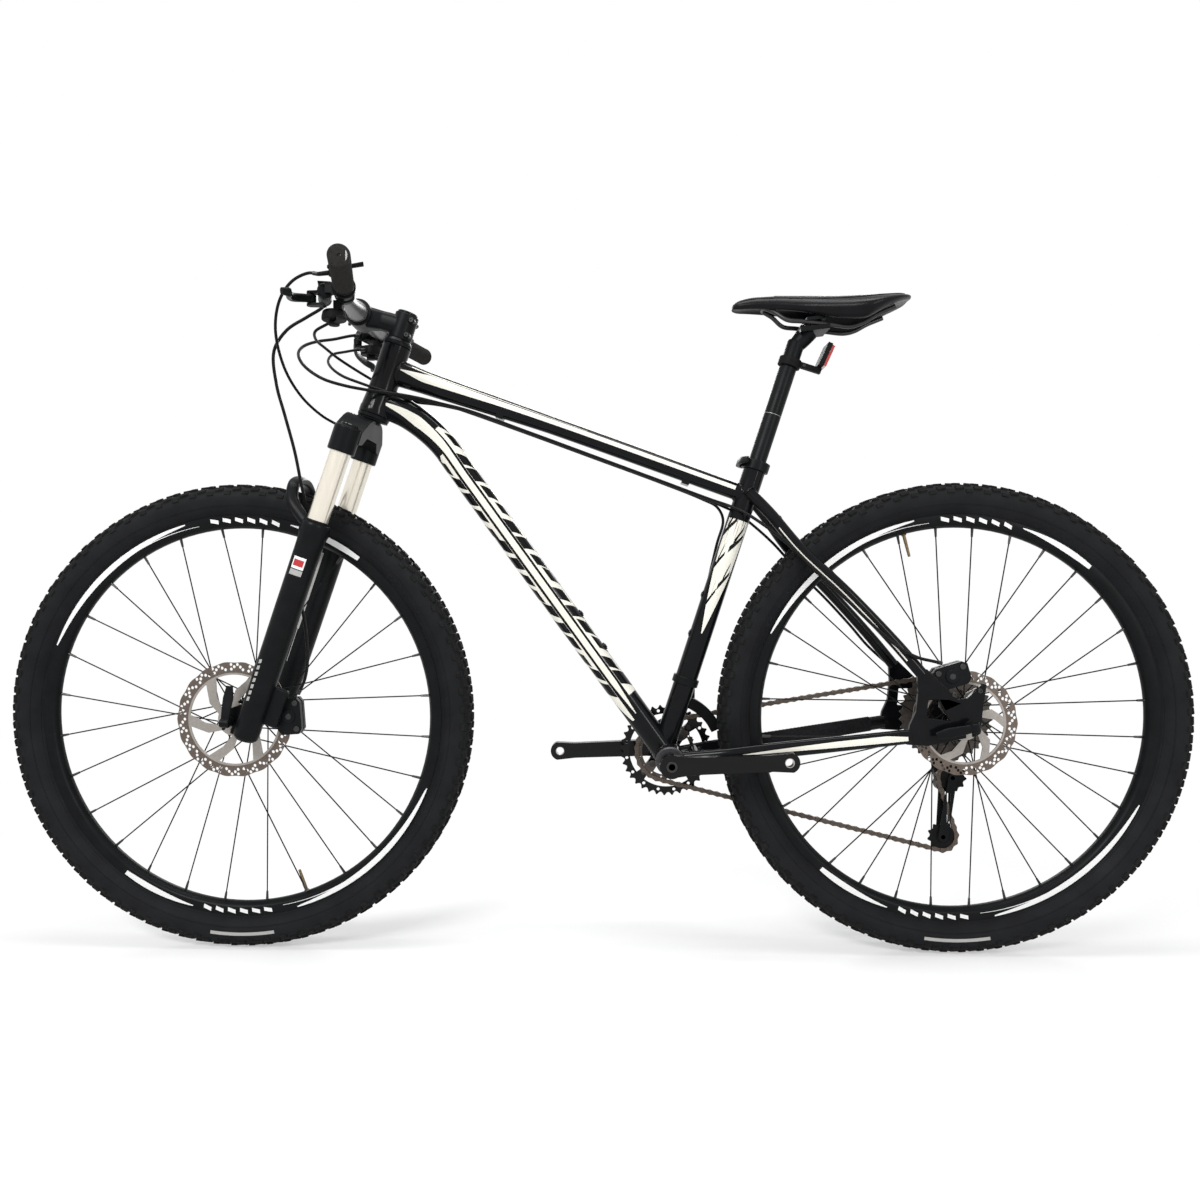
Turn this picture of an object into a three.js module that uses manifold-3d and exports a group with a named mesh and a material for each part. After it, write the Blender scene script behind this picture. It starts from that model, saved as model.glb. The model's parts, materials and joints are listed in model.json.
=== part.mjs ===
// Hardtail mountain bike: 29-inch wheels, telescopic fork, hydraulic disc brakes.
// Millimetres. The rider faces -X, the rider's left is -Y, and +Z is up.
// The origin is where the rear tyre meets the ground.

import * as THREE from 'three';
import { mergeVertices } from 'three/addons/utils/BufferGeometryUtils.js';
import Module from 'manifold-3d';

const wasm = await Module();
wasm.setup();

// ---- driving dimensions ----

const GAP = 0.4; // running and seating clearance between separate pieces

const WHEEL_RADIUS = 368;
const WHEELBASE = 1119.5;
const TYRE_WIDTH = 54;
const RIM_OUTER = 318;
const RIM_INNER = 298;
const RIM_WIDTH = 25;
const SPOKE_DIAMETER = 2.4;
const FRONT_SPOKES = 28;
const REAR_SPOKES = 32;
const FRONT_HUB_WIDTH = 100; // between the fork dropouts
const REAR_HUB_WIDTH = 135.6; // between the frame dropouts
const AXLE_RADIUS = 4.9;
const FRONT_ROTOR_RADIUS = 90;
const REAR_ROTOR_RADIUS = 80;
const FRONT_ROTOR_PLANE = -39.6; // Y of the disc's middle
const REAR_ROTOR_PLANE = -52;
const ROTOR_THICKNESS = 1.8;

const BB_FORWARD = 444; // bottom bracket ahead of the rear axle
const BB_DROP = 62; // bottom bracket below the axles
const BB_SHELL_WIDTH = 73;
const BB_SHELL_RADIUS = 21;
const BB_CUP_RADIUS = 22;
const BB_CUP_WIDTH = 9;
const SPINDLE_RADIUS = 11.5;
const CRANK_LENGTH = 175;
const CRANK_OUTER_FACE = 88; // |Y| of the flat outside of a crank arm
const CRANK_THICKNESS = 13;
const CRANK_REST_ANGLE = 2.3; // degrees of the left arm above the horizontal, pointing rearward
const PEDAL_HOLE_RADIUS = 7.1;

const SEAT_TUBE_ANGLE = 72.1;
const SEAT_TUBE_FORWARD = 11.7; // its axis passes this far ahead of the bottom bracket
const SEAT_TUBE_LENGTH = 488;
const SEAT_TUBE_RADIUS = 17.3;
const SEATPOST_RADIUS = 13.6;
const SEATPOST_LENGTH = 350;
const SEATPOST_EXPOSED = 192; // tube above the seat tube's mouth
const SEATPOST_TRAVEL_DOWN = 120;

const HEAD_ANGLE = 71;
const HEAD_TUBE_LENGTH = 114;
const HEAD_TUBE_RADIUS = 22;
const HEAD_TUBE_LOWER_RADIUS = 25;
const HEAD_BORE_RADIUS = 17.5;
const LOWER_CUP_HEIGHT = 9;
const UPPER_CUP_HEIGHT = 10;
const STEERER_RADIUS = 14.3;

const FORK_RAKE = 44.6;
const FORK_LENGTH = 509.7; // axle to crown race, along the steering axis
const LEG_SPACING = 130;
const LEG_OFFSET = 12; // legs ahead of the steering axis
const LEG_RADIUS = 20.5;
const LEG_TOP = -174; // along the steering axis from the crown race
const STANCHION_RADIUS = 16;
const STANCHION_BOTTOM = -290;
const FORK_TRAVEL = 100;
const CROWN_BOTTOM = -65;

const STEM_LENGTH = 69;
const STEM_HEIGHT = 40;
const STEM_DROP = 4; // bar clamp below the middle of the steerer clamp
const BAR_CLAMP_RADIUS = 15.9;
const BAR_RADIUS = 11.1;
const BAR_HALF_WIDTH = 285;
const BAR_BEND = 90; // |Y| where the backsweep starts
const BAR_SWEEP = 13;
const GRIP_LENGTH = 120;
const GRIP_RADIUS = 15;

const CHAIN_PITCH = 12.7;
const SMALL_RING_TEETH = 24;
const LARGE_RING_TEETH = 36;
const COG_TEETH = [36, 32, 28, 24, 21, 18, 15, 13, 11];
const COG_SPACING = 4.3;
const PULLEY_TEETH = 11;
const SMALL_RING_PLANE = 45; // Y of the chainring's middle
const LARGE_RING_PLANE = 52;
const BIG_COG_PLANE = 26.5;
const CHAIN_COG = 1; // the cog that carries the chain, counted from the largest
const SPROCKET_THICKNESS = 2;
const COG_THICKNESS = 1.6;
const PLATE_HALF_HEIGHT = 4.3; // chain side plates
const CHAIN_HALF_WIDTH = 3.1;
const CHAIN_INNER_HALF_WIDTH = 1.35;
const CHAIN_WEB_HALF = 0.4;
const TOOTH_TIP_DROP = 1.4; // tooth tips under a carried chain, inside its pitch line
const GUIDE_PULLEY = [11.9, -100.3]; // X and Z from the rear axle
const TENSION_PULLEY = [-2.2, -195.5];
const CAGE_PIVOT = [2, -113];
const HANGER_BOLT = [10, -32];
const FRONT_CAGE_TRAVEL = 7;

const SADDLE_CLAMP = [24.7, 25.9]; // X behind and Z above the top of the seatpost tube
const RAIL_RADIUS = 3.5;

const ROUND = 16; // sides of a turned piece
const WHEEL_SIDES = 32;

// ---- finishes ----

const GLOSS_BLACK = { color: 0x0b0b0d, roughness: 0.18, metalness: 0.2 };
const SATIN_BLACK = { color: 0x141416, roughness: 0.45, metalness: 0.2 };
const MATTE_BLACK = { color: 0x18181a, roughness: 0.8, metalness: 0.0 };
const RUBBER = { color: 0x1c1c1d, roughness: 0.9, metalness: 0.0 };
const CHAMPAGNE = { color: 0xb9ad98, roughness: 0.22, metalness: 0.9 };
const STEEL = { color: 0x8d8880, roughness: 0.4, metalness: 0.9 };
const BROWN_STEEL = { color: 0x6a625a, roughness: 0.5, metalness: 0.8 };
const GREY_ALLOY = { color: 0x77777a, roughness: 0.35, metalness: 0.8 };
const VINYL = { color: 0x161617, roughness: 0.6, metalness: 0.0 };
const RED_LENS = { color: 0xa01812, roughness: 0.15, metalness: 0.0 };

// ---- geometry tools ----

const vec = (x, y, z) => new THREE.Vector3(x, y, z);
const UP = vec(0, 0, 1);
const ACROSS = vec(0, 1, 0);

function signedVolume(positions, triangles) {
  const corner = (i) => vec().fromArray(positions, 3 * triangles[i]);
  let total = 0;
  for (let i = 0; i < triangles.length; i += 3) {
    total += corner(i).dot(corner(i + 1).cross(corner(i + 2)));
  }
  return total / 6;
}

// A closed geometry as a solid, with its faces turned outward.
function toSolid(geometry) {
  const bare = geometry.clone();
  bare.deleteAttribute('normal');
  bare.deleteAttribute('uv');
  const merged = mergeVertices(bare, 1e-3);
  const positions = Float32Array.from(merged.attributes.position.array);
  const source = merged.index.array;
  const kept = [];
  for (let i = 0; i < source.length; i += 3) {
    const [a, b, c] = [source[i], source[i + 1], source[i + 2]];
    if (a !== b && b !== c && c !== a) kept.push(a, b, c);
  }
  if (signedVolume(positions, kept) < 0) kept.reverse();
  const triVerts = Uint32Array.from(kept);
  return new wasm.Manifold(new wasm.Mesh({ numProp: 3, vertProperties: positions, triVerts }));
}

const asSolid = (shape) => (shape.isBufferGeometry ? toSolid(shape) : shape);

function join(...shapes) {
  return shapes.map(asSolid).reduce((whole, next) => whole.add(next));
}

function cut(base, ...tools) {
  return tools.map(asSolid).reduce((whole, next) => whole.subtract(next), asSolid(base));
}

function toGeometry(shape) {
  const mesh = asSolid(shape).getMesh();
  const geometry = new THREE.BufferGeometry();
  geometry.setAttribute('position', new THREE.BufferAttribute(Float32Array.from(mesh.vertProperties), 3));
  geometry.setIndex(new THREE.BufferAttribute(Uint32Array.from(mesh.triVerts), 1));
  geometry.computeVertexNormals();
  return geometry;
}

function addPart(parent, name, shape, finish) {
  const mesh = new THREE.Mesh(toGeometry(shape), new THREE.MeshStandardMaterial(finish));
  mesh.name = name;
  parent.add(mesh);
}

function rod(from, to, radius, sides = ROUND, endRadius = radius) {
  const direction = to.clone().sub(from);
  const geometry = new THREE.CylinderGeometry(endRadius, radius, direction.length(), sides);
  geometry.applyQuaternion(new THREE.Quaternion().setFromUnitVectors(ACROSS, direction.normalize()));
  const middle = from.clone().add(to).multiplyScalar(0.5);
  return geometry.translate(middle.x, middle.y, middle.z);
}

// A cylinder along Y, in the plane position [x, z].
function pin([x, z], radius, low, high, sides = ROUND) {
  return rod(vec(x, low, z), vec(x, high, z), radius, sides);
}

// A cylinder along Z.
function post(x, y, radius, low, high, sides = ROUND, topRadius = radius) {
  return rod(vec(x, y, low), vec(x, y, high), radius, sides, topRadius);
}

function block(centre, size, turnY = 0, turnZ = 0) {
  const geometry = new THREE.BoxGeometry(...size);
  return geometry.rotateY(turnY).rotateZ(turnZ).translate(centre.x, centre.y, centre.z);
}

// An outline in X and Z, from Y = low to Y = high.
function plate(outline, low, high, curveSegments = 6) {
  const settings = { depth: high - low, bevelEnabled: false, curveSegments };
  const geometry = new THREE.ExtrudeGeometry(outline, settings);
  return geometry.rotateX(Math.PI / 2).translate(0, high, 0);
}

function polygon(points) {
  return new THREE.Shape(points.map(([x, z]) => new THREE.Vector2(x, z)));
}

// Points of an arc about the origin, from one angle to another.
function arc(radius, from, to, steps) {
  return Array.from({ length: steps + 1 }, (_, i) => {
    const angle = from + ((to - from) * i) / steps;
    return [radius * Math.cos(angle), radius * Math.sin(angle)];
  });
}

// A full circle as an outline or a hole.
const circle = (radius, sides = ROUND) => polygon(arc(radius, 0, 2 * Math.PI * (1 - 1 / sides), sides - 1));

function turned(profile, sides = WHEEL_SIDES) {
  return new THREE.LatheGeometry(profile.map(([r, y]) => new THREE.Vector2(r, y)), sides);
}

// A closed ring section turned about Y.
const turnedRing = (profile, sides) => turned([...profile, profile[0]], sides);

// A skin through rings of the same number of points, with ends capped or joined to each other.
function loft(rings, closed = false) {
  const count = rings[0].length;
  const positions = rings.flat().flatMap((p) => [p.x, p.y, p.z]);
  const triangles = [];
  const bands = closed ? rings.length : rings.length - 1;
  for (let i = 0; i < bands; i += 1) {
    const here = i * count;
    const next = ((i + 1) % rings.length) * count;
    for (let j = 0; j < count; j += 1) {
      const k = (j + 1) % count;
      triangles.push(here + j, here + k, next + k, here + j, next + k, next + j);
    }
  }
  const last = (rings.length - 1) * count;
  for (let j = 1; j < count - 1 && !closed; j += 1) {
    triangles.push(0, j + 1, j, last, last + j, last + j + 1);
  }
  const geometry = new THREE.BufferGeometry();
  geometry.setAttribute('position', new THREE.BufferAttribute(Float32Array.from(positions), 3));
  geometry.setIndex(triangles);
  return geometry;
}

// An oval tube through points. sizes are half sizes: [at right angles to `reference`, along it].
function pipe(points, sizes, reference, sides = 16) {
  const rings = points.map((point, i) => {
    const before = points[Math.max(i - 1, 0)];
    const after = points[Math.min(i + 1, points.length - 1)];
    const tangent = after.clone().sub(before).normalize();
    const side = reference.clone().cross(tangent).normalize();
    const top = tangent.clone().cross(side);
    const s = (i / (points.length - 1)) * (sizes.length - 1);
    const low = sizes[Math.floor(s)];
    const high = sizes[Math.ceil(s)];
    const blend = s - Math.floor(s);
    const a = low[0] + (high[0] - low[0]) * blend;
    const b = low[1] + (high[1] - low[1]) * blend;
    return Array.from({ length: sides }, (_, j) => {
      const angle = (2 * Math.PI * j) / sides;
      const across = side.clone().multiplyScalar(a * Math.cos(angle));
      const along = top.clone().multiplyScalar(b * Math.sin(angle));
      return point.clone().add(across).add(along);
    });
  });
  return loft(rings);
}

function smooth(points, steps) {
  return new THREE.CatmullRomCurve3(points, false, 'centripetal').getPoints(steps);
}

function cable(points, diameter, steps) {
  const section = new THREE.Shape();
  section.absarc(0, 0, diameter / 2, 0, 2 * Math.PI, false);
  const extrudePath = new THREE.CatmullRomCurve3(points.map((p) => vec(...p)), false, 'centripetal');
  return new THREE.ExtrudeGeometry(section, { steps, extrudePath, bevelEnabled: false, curveSegments: 3 });
}

const radians = (degrees) => (degrees * Math.PI) / 180;

// ---- layout ----

const rearAxle = vec(0, 0, WHEEL_RADIUS);
const frontAxle = vec(-WHEELBASE, 0, WHEEL_RADIUS);
const bottomBracket = vec(-BB_FORWARD, 0, WHEEL_RADIUS - BB_DROP);
const steeringTilt = radians(90 - HEAD_ANGLE);
const steeringUp = vec(Math.sin(steeringTilt), 0, Math.cos(steeringTilt));
const steeringBack = vec(Math.cos(steeringTilt), 0, -Math.sin(steeringTilt));
const crownRace = frontAxle.clone()
  .addScaledVector(steeringBack, FORK_RAKE)
  .addScaledVector(steeringUp, FORK_LENGTH);
const seatUp = vec(Math.cos(radians(SEAT_TUBE_ANGLE)), 0, Math.sin(radians(SEAT_TUBE_ANGLE)));
const seatTilt = radians(90 - SEAT_TUBE_ANGLE);

const headPoint = (height) => crownRace.clone().addScaledVector(steeringUp, height);
const seatFoot = bottomBracket.clone().add(vec(-SEAT_TUBE_FORWARD, 0, 0));
const seatPoint = (height) => seatFoot.clone().addScaledVector(seatUp, height);
const fromRearAxle = ([x, z]) => [x, WHEEL_RADIUS + z];

const headTubeBottom = LOWER_CUP_HEIGHT + GAP;
const headTubeTop = headTubeBottom + HEAD_TUBE_LENGTH;
const stemBottom = headTubeTop + UPPER_CUP_HEIGHT + 2 * GAP;
const stemMiddle = stemBottom + STEM_HEIGHT / 2;
const barHeight = stemMiddle - STEM_DROP; // along the steering axis
const barCentre = headPoint(barHeight).addScaledVector(steeringBack, -STEM_LENGTH);
const dropoutInner = REAR_HUB_WIDTH / 2;
const DROPOUT_THICKNESS = 8;
const pitchRadius = (teeth) => CHAIN_PITCH / (2 * Math.sin(Math.PI / teeth));

const bike = new THREE.Group();
const steering = new THREE.Group();
steering.position.copy(crownRace);
steering.rotation.y = steeringTilt;
const seat = new THREE.Group();
seat.position.copy(seatFoot);
seat.rotation.y = seatTilt;
const frontWheel = new THREE.Group();
frontWheel.position.copy(frontAxle);
const rearWheel = new THREE.Group();
rearWheel.position.copy(rearAxle);
const cranks = new THREE.Group();
cranks.position.copy(bottomBracket);
bike.add(steering, seat, frontWheel, rearWheel, cranks);

// ---- frame ----

const DOWN_TUBE_BEND = [[143, -127], [96, -63], [49, -24]]; // X and Z from its joint with the head tube
const TOP_TUBE_HEAD_HEIGHT = 85;
const DOWN_TUBE_HEAD_HEIGHT = 33;
const TOP_TUBE_SEAT_HEIGHT = 432;
const SEATSTAY_HEIGHT = 437;
const STAY_END_PLANE = dropoutInner + DROPOUT_THICKNESS / 2 - 1;
const chainstayEnd = vec(-86, 0, WHEEL_RADIUS - 17);
const seatstayEnd = vec(-70, 0, WHEEL_RADIUS + 76);

function topTube() {
  const start = headPoint(TOP_TUBE_HEAD_HEIGHT);
  const end = seatPoint(TOP_TUBE_SEAT_HEIGHT);
  const shoulder = start.clone().lerp(end, 0.1).add(vec(0, 0, -1));
  const middle = start.clone().lerp(end, 0.45).add(vec(0, 0, 2));
  return pipe([start, shoulder, middle, end], [[22, 17], [18, 17], [13.5, 16], [13.2, 15]], ACROSS, 12);
}

function downTube() {
  const top = headPoint(DOWN_TUBE_HEAD_HEIGHT);
  const bend = DOWN_TUBE_BEND.map(([x, z]) => vec(top.x + x, 0, top.z + z));
  const straight = bottomBracket.clone().lerp(bend[0], 0.6);
  const sizes = [[19, 22], [20.5, 21], [20.5, 20], [21, 19], [22, 19], [24, 18]];
  return pipe([bottomBracket.clone(), straight, ...bend, top], sizes, ACROSS, 12);
}

function seatTube() {
  return rod(seatPoint(0), seatPoint(SEAT_TUBE_LENGTH), SEAT_TUBE_RADIUS);
}

function stayPoint(from, to, share, plane, lift = 0) {
  const point = from.clone().lerp(to, share);
  return vec(point.x, plane, point.z + lift);
}

function chainstay(side) {
  const start = bottomBracket.clone().add(vec(8, 0, -3));
  const stations = [
    [0, 22], [0.2, 40], [0.42, 45], [0.7, 58], [0.9, STAY_END_PLANE - 4], [1, STAY_END_PLANE],
  ];
  const path = stations.map(([share, plane]) => stayPoint(start, chainstayEnd, share, side * plane));
  return pipe(path, [[13, 8], [12.5, 7.2], [11.5, 8], [11, 8]], ACROSS, 8);
}

function seatstay(side) {
  const start = seatPoint(SEATSTAY_HEIGHT);
  const stations = [
    [0, 13, 0], [0.12, 25, 0], [0.3, 42, -7], [0.57, 58, 1], [0.85, 67, 3], [1, STAY_END_PLANE, 0],
  ];
  const path = stations.map(([share, plane, lift]) => {
    return stayPoint(start, seatstayEnd, share, side * plane, lift);
  });
  return pipe(path, [[9, 8], [9, 8], [8.5, 7.5], [9, 7]], ACROSS, 8);
}

// Forged rear dropout with a gusset window and an axle slot that opens downward.
function dropout(side) {
  const slot = AXLE_RADIUS + GAP;
  const outline = polygon([
    [-94, -29], [-89, 0], [-80, 20], [-77, 50], [-79, 84], [-64, 84], [-33, 54], [-18, 39], [-4, 41],
    [8, 53], [18, 63], [24, 61], [19, 26], [16, -12], [slot, -18],
  ]);
  outline.lineTo(slot, 0);
  outline.absarc(0, 0, slot, 0, Math.PI, false);
  outline.lineTo(-slot, -19);
  outline.lineTo(-16, -21);
  outline.lineTo(-62, -31);
  outline.holes.push(polygon([[-62, 38], [-64, 11], [-30, 7], [-46, 38]]));
  const inner = side * dropoutInner;
  const outer = side * (dropoutInner + DROPOUT_THICKNESS);
  return plate(outline, Math.min(inner, outer), Math.max(inner, outer), 4).translate(0, 0, WHEEL_RADIUS);
}

function derailleurHanger() {
  const [x, z] = HANGER_BOLT;
  const outline = polygon([
    [8, 0], [20, 6], [x + 11, z + 2], [x + 9, z - 8], [x, z - 11], [x - 7, z - 8], [7, -18],
  ]);
  return plate(outline, dropoutInner, dropoutInner + DROPOUT_THICKNESS).translate(0, 0, WHEEL_RADIUS);
}

function seatstayBridge() {
  const middle = stayPoint(seatPoint(SEATSTAY_HEIGHT), seatstayEnd, 0.17, 0, 3);
  return rod(vec(middle.x, -30, middle.z), vec(middle.x, 30, middle.z), 7, 12);
}

function chainstayBridge() {
  const middle = stayPoint(bottomBracket, chainstayEnd, 0.12, 0);
  return rod(vec(middle.x, -34, middle.z), vec(middle.x, 34, middle.z), 8, 12);
}

// Raised boss for a bottle cage bolt, along a tube's outer surface.
const BOTTLE_BOSS_SPACING = 64;
const BOTTLE_BOSS_RADIUS = 6;

function bottleBoss(centre, outward, reach) {
  return rod(centre, centre.clone().addScaledVector(outward, reach), BOTTLE_BOSS_RADIUS, 8);
}

const downTubeAxis = headPoint(DOWN_TUBE_HEAD_HEIGHT)
  .add(vec(DOWN_TUBE_BEND[0][0], 0, DOWN_TUBE_BEND[0][1]))
  .sub(bottomBracket)
  .normalize();
const downTubeOut = vec(-downTubeAxis.z, 0, downTubeAxis.x).negate();
const seatTubeOut = vec(-seatUp.z, 0, seatUp.x);

function bottleBosses() {
  const bosses = [];
  for (const height of [200, 200 + BOTTLE_BOSS_SPACING]) {
    bosses.push(bottleBoss(seatPoint(height), seatTubeOut, SEAT_TUBE_RADIUS + 2));
    const onDownTube = bottomBracket.clone().addScaledVector(downTubeAxis, height);
    bosses.push(bottleBoss(onDownTube, downTubeOut, 20.5 + 2));
  }
  return bosses;
}

// Guides welded under the top tube, which hold the hose and the two cables.
const GUIDE_SHARES = [0.2, 0.55, 0.9];

function topTubePoint(share) {
  return headPoint(TOP_TUBE_HEAD_HEIGHT).lerp(seatPoint(TOP_TUBE_SEAT_HEIGHT), share);
}

function cableGuide(share) {
  const centre = topTubePoint(share);
  return block(centre.clone().add(vec(0, 0, -12)), [12, 24, 12], radians(20));
}

function frameSolid() {
  const headFoot = headPoint(headTubeBottom);
  const headTube = rod(headFoot, headPoint(headTubeTop), HEAD_TUBE_LOWER_RADIUS, ROUND, HEAD_TUBE_RADIUS);
  const shellCentre = [bottomBracket.x, bottomBracket.z];
  const shell = pin(shellCentre, BB_SHELL_RADIUS, -BB_SHELL_WIDTH / 2, BB_SHELL_WIDTH / 2);
  const welded = join(
    headTube, topTube(), downTube(), seatTube(), shell,
    seatstayBridge(), chainstayBridge(), derailleurHanger(),
    ...[-1, 1].flatMap((side) => [chainstay(side), seatstay(side), dropout(side)]),
    ...bottleBosses(), ...GUIDE_SHARES.map(cableGuide),
  );
  const headBore = rod(headPoint(headTubeBottom - 40), headPoint(headTubeTop + 40), HEAD_BORE_RADIUS);
  const seatBoreDepth = SEAT_TUBE_LENGTH - SEATPOST_LENGTH + SEATPOST_EXPOSED - SEATPOST_TRAVEL_DOWN - 10;
  const seatBore = rod(seatPoint(seatBoreDepth), seatPoint(SEAT_TUBE_LENGTH + 30), SEATPOST_RADIUS + GAP);
  const shellBore = pin(shellCentre, 17, -BB_SHELL_WIDTH, BB_SHELL_WIDTH);
  const belowHeadTube = rod(headPoint(headTubeBottom - 30), headFoot, HEAD_TUBE_LOWER_RADIUS + 3);
  return cut(welded, headBore, seatBore, shellBore, belowHeadTube);
}

addPart(bike, 'frame', frameSolid(), GLOSS_BLACK);

// ---- headset, in the steering group ----

function headsetCup(low, high, outer, bottomOuter) {
  const bore = post(0, 0, STEERER_RADIUS + GAP, low - 1, high + 1);
  return cut(post(0, 0, bottomOuter, low, high, ROUND, outer), bore);
}

const upperCup = headsetCup(headTubeTop + GAP, headTubeTop + UPPER_CUP_HEIGHT, 19, 22);
addPart(steering, 'headset_lower_cup', headsetCup(1, LOWER_CUP_HEIGHT, 25, 24), SATIN_BLACK);
addPart(steering, 'headset_upper_cup', upperCup, SATIN_BLACK);

// ---- fork: crown, stanchions and lowers, in the steering group ----

function crownSolid() {
  const bridge = polygon([
    [-LEG_SPACING / 2, CROWN_BOTTOM + 18], [-44, -44], [-30, -31], [30, -31], [44, -44],
    [LEG_SPACING / 2, CROWN_BOTTOM + 18], [LEG_SPACING / 2, -27], [34, -4], [22, 0], [-22, 0], [-34, -4],
    [-LEG_SPACING / 2, -27],
  ]);
  const settings = { depth: 44, bevelEnabled: false };
  const arch = new THREE.ExtrudeGeometry(bridge, settings).rotateX(Math.PI / 2).rotateZ(Math.PI / 2);
  arch.translate(-LEG_OFFSET - 22, 0, 0);
  const sockets = [-1, 1].map((side) => post(-LEG_OFFSET, (side * LEG_SPACING) / 2, 21, CROWN_BOTTOM, -24));
  const bores = [-1, 1].map((side) => {
    return post(-LEG_OFFSET, (side * LEG_SPACING) / 2, STANCHION_RADIUS + GAP, CROWN_BOTTOM - 5, -10);
  });
  const steerer = post(0, 0, STEERER_RADIUS, -10, stemBottom + STEM_HEIGHT - GAP);
  const hollow = post(0, 0, STEERER_RADIUS - 3, -40, stemBottom + STEM_HEIGHT - 8);
  return cut(join(arch, ...sockets, steerer), ...bores, hollow);
}

function stanchion(side) {
  const y = (side * LEG_SPACING) / 2;
  const cap = post(-LEG_OFFSET, y, STANCHION_RADIUS - 3, -26, -20, ROUND);
  const hollow = post(-LEG_OFFSET, y, STANCHION_RADIUS - 2.5, STANCHION_BOTTOM - 1, -40);
  return cut(join(post(-LEG_OFFSET, y, STANCHION_RADIUS, STANCHION_BOTTOM, -26), cap), hollow);
}

function forkLeg(side) {
  const y = (side * LEG_SPACING) / 2;
  const bottom = -FORK_LENGTH - 18;
  const leg = post(-LEG_OFFSET, y, LEG_RADIUS - 1, bottom, LEG_TOP, ROUND, LEG_RADIUS);
  const collar = post(-LEG_OFFSET, y, LEG_RADIUS + 2.5, LEG_TOP - 24, LEG_TOP);
  return join(leg, collar, forkDropout(side));
}

function forkBore(side) {
  const depth = STANCHION_BOTTOM - FORK_TRAVEL - 8;
  return post(-LEG_OFFSET, (side * LEG_SPACING) / 2, STANCHION_RADIUS + GAP, depth, LEG_TOP + 5);
}

// Dropout ahead of the leg, with an axle slot that opens downward. Coordinates are from the axle.
function forkDropout(side) {
  const slot = AXLE_RADIUS + GAP;
  const legX = FORK_RAKE - LEG_OFFSET;
  const outline = polygon([
    [legX, -17], [legX, 44], [legX - 12, 40], [-12, 14], [-14, -4], [-8, -17], [-slot, -18],
  ]);
  outline.lineTo(-slot, 0);
  outline.absarc(0, 0, slot, Math.PI, 0, true);
  outline.lineTo(slot, -20);
  outline.lineTo(12, -20);
  const inner = (side * FRONT_HUB_WIDTH) / 2;
  const outer = inner + side * 9;
  const tab = plate(outline, Math.min(inner, outer), Math.max(inner, outer), 3);
  return tab.translate(-FORK_RAKE, 0, -FORK_LENGTH);
}

function forkArch() {
  const foot = [-LEG_OFFSET - 12, LEG_SPACING / 2 - 3, LEG_TOP - 12];
  const half = [foot, [-62, 52, -158], [-73, 38, -136], [-75, 18, -127]];
  const left = half.map(([x, y, z]) => vec(x, -y, z));
  const right = half.map(([x, y, z]) => vec(x, y, z)).reverse();
  return pipe(smooth([...left, ...right], 11), [[7, 9]], vec(1, 0, 0), 8);
}

function caliperPost() {
  return block(vec(14, -LEG_SPACING / 2 + 5, -FORK_LENGTH + 44), [30, 12, 62]);
}

function forkLowers() {
  const body = join(forkLeg(-1), forkLeg(1), forkArch(), caliperPost());
  return cut(body, forkBore(-1), forkBore(1));
}

addPart(steering, 'fork_crown', crownSolid(), SATIN_BLACK);
addPart(steering, 'stanchion_left', stanchion(-1), CHAMPAGNE);
addPart(steering, 'stanchion_right', stanchion(1), CHAMPAGNE);
addPart(steering, 'fork_lowers', forkLowers(), SATIN_BLACK);

// ---- stem and cap, in the steering group ----

function stemSolid() {
  const top = stemBottom + STEM_HEIGHT;
  const clamp = post(0, 0, 18.5, stemBottom, top);
  const middle = vec(-STEM_LENGTH / 2, 0, stemMiddle - 1);
  const path = [vec(-8, 0, stemMiddle), middle, vec(-STEM_LENGTH + 14, 0, barHeight)];
  const reach = pipe(path, [[16, 16], [14, 15], [20, 17]], UP, 12);
  const barEye = pin([-STEM_LENGTH, barHeight], 21, -23, 23);
  const steererBore = post(0, 0, STEERER_RADIUS + GAP, stemBottom - 1, top + 1);
  const barBore = pin([-STEM_LENGTH, barHeight], BAR_CLAMP_RADIUS + GAP, -30, 30);
  return cut(join(clamp, reach, barEye), steererBore, barBore);
}

const stemTop = stemBottom + STEM_HEIGHT;
addPart(steering, 'stem', stemSolid(), SATIN_BLACK);
addPart(steering, 'top_cap', post(0, 0, 16, stemTop + GAP, stemTop + 4), SATIN_BLACK);

// ---- handlebar, grips and controls ----

const barSweep = Math.tan(radians(BAR_SWEEP));

function barPoint(y) {
  const swept = Math.max(Math.abs(y) - BAR_BEND, 0) * barSweep;
  return barCentre.clone().add(vec(swept, y, 0));
}

function handlebar() {
  const planes = [BAR_HALF_WIDTH - 2, 200, 120, BAR_BEND, 60, 26, 22];
  const leftHalf = planes.map((y) => barPoint(-y));
  const path = [...leftHalf, ...planes.reverse().map(barPoint)];
  const narrow = [BAR_RADIUS, BAR_RADIUS];
  const wide = [BAR_CLAMP_RADIUS, BAR_CLAMP_RADIUS];
  const sizes = [narrow, narrow, narrow, narrow, narrow, wide, wide];
  return pipe(path, [...sizes, ...sizes.reverse()], UP, 12);
}

function barRing(from, to, side, radius, bore = BAR_RADIUS + GAP) {
  const start = barPoint(side * from);
  const end = barPoint(side * to);
  const reach = end.clone().sub(start).normalize();
  const hole = rod(start.clone().sub(reach), end.clone().add(reach), bore, 12);
  return cut(rod(start, end, radius, 12), hole);
}

function grip(side) {
  const start = barPoint(side * (BAR_HALF_WIDTH - GRIP_LENGTH));
  const end = barPoint(side * BAR_HALF_WIDTH);
  const outer = rod(start, end.clone().lerp(start, -0.02), GRIP_RADIUS);
  return cut(outer, rod(start.clone().lerp(end, -0.05), end, BAR_RADIUS + GAP));
}

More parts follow.
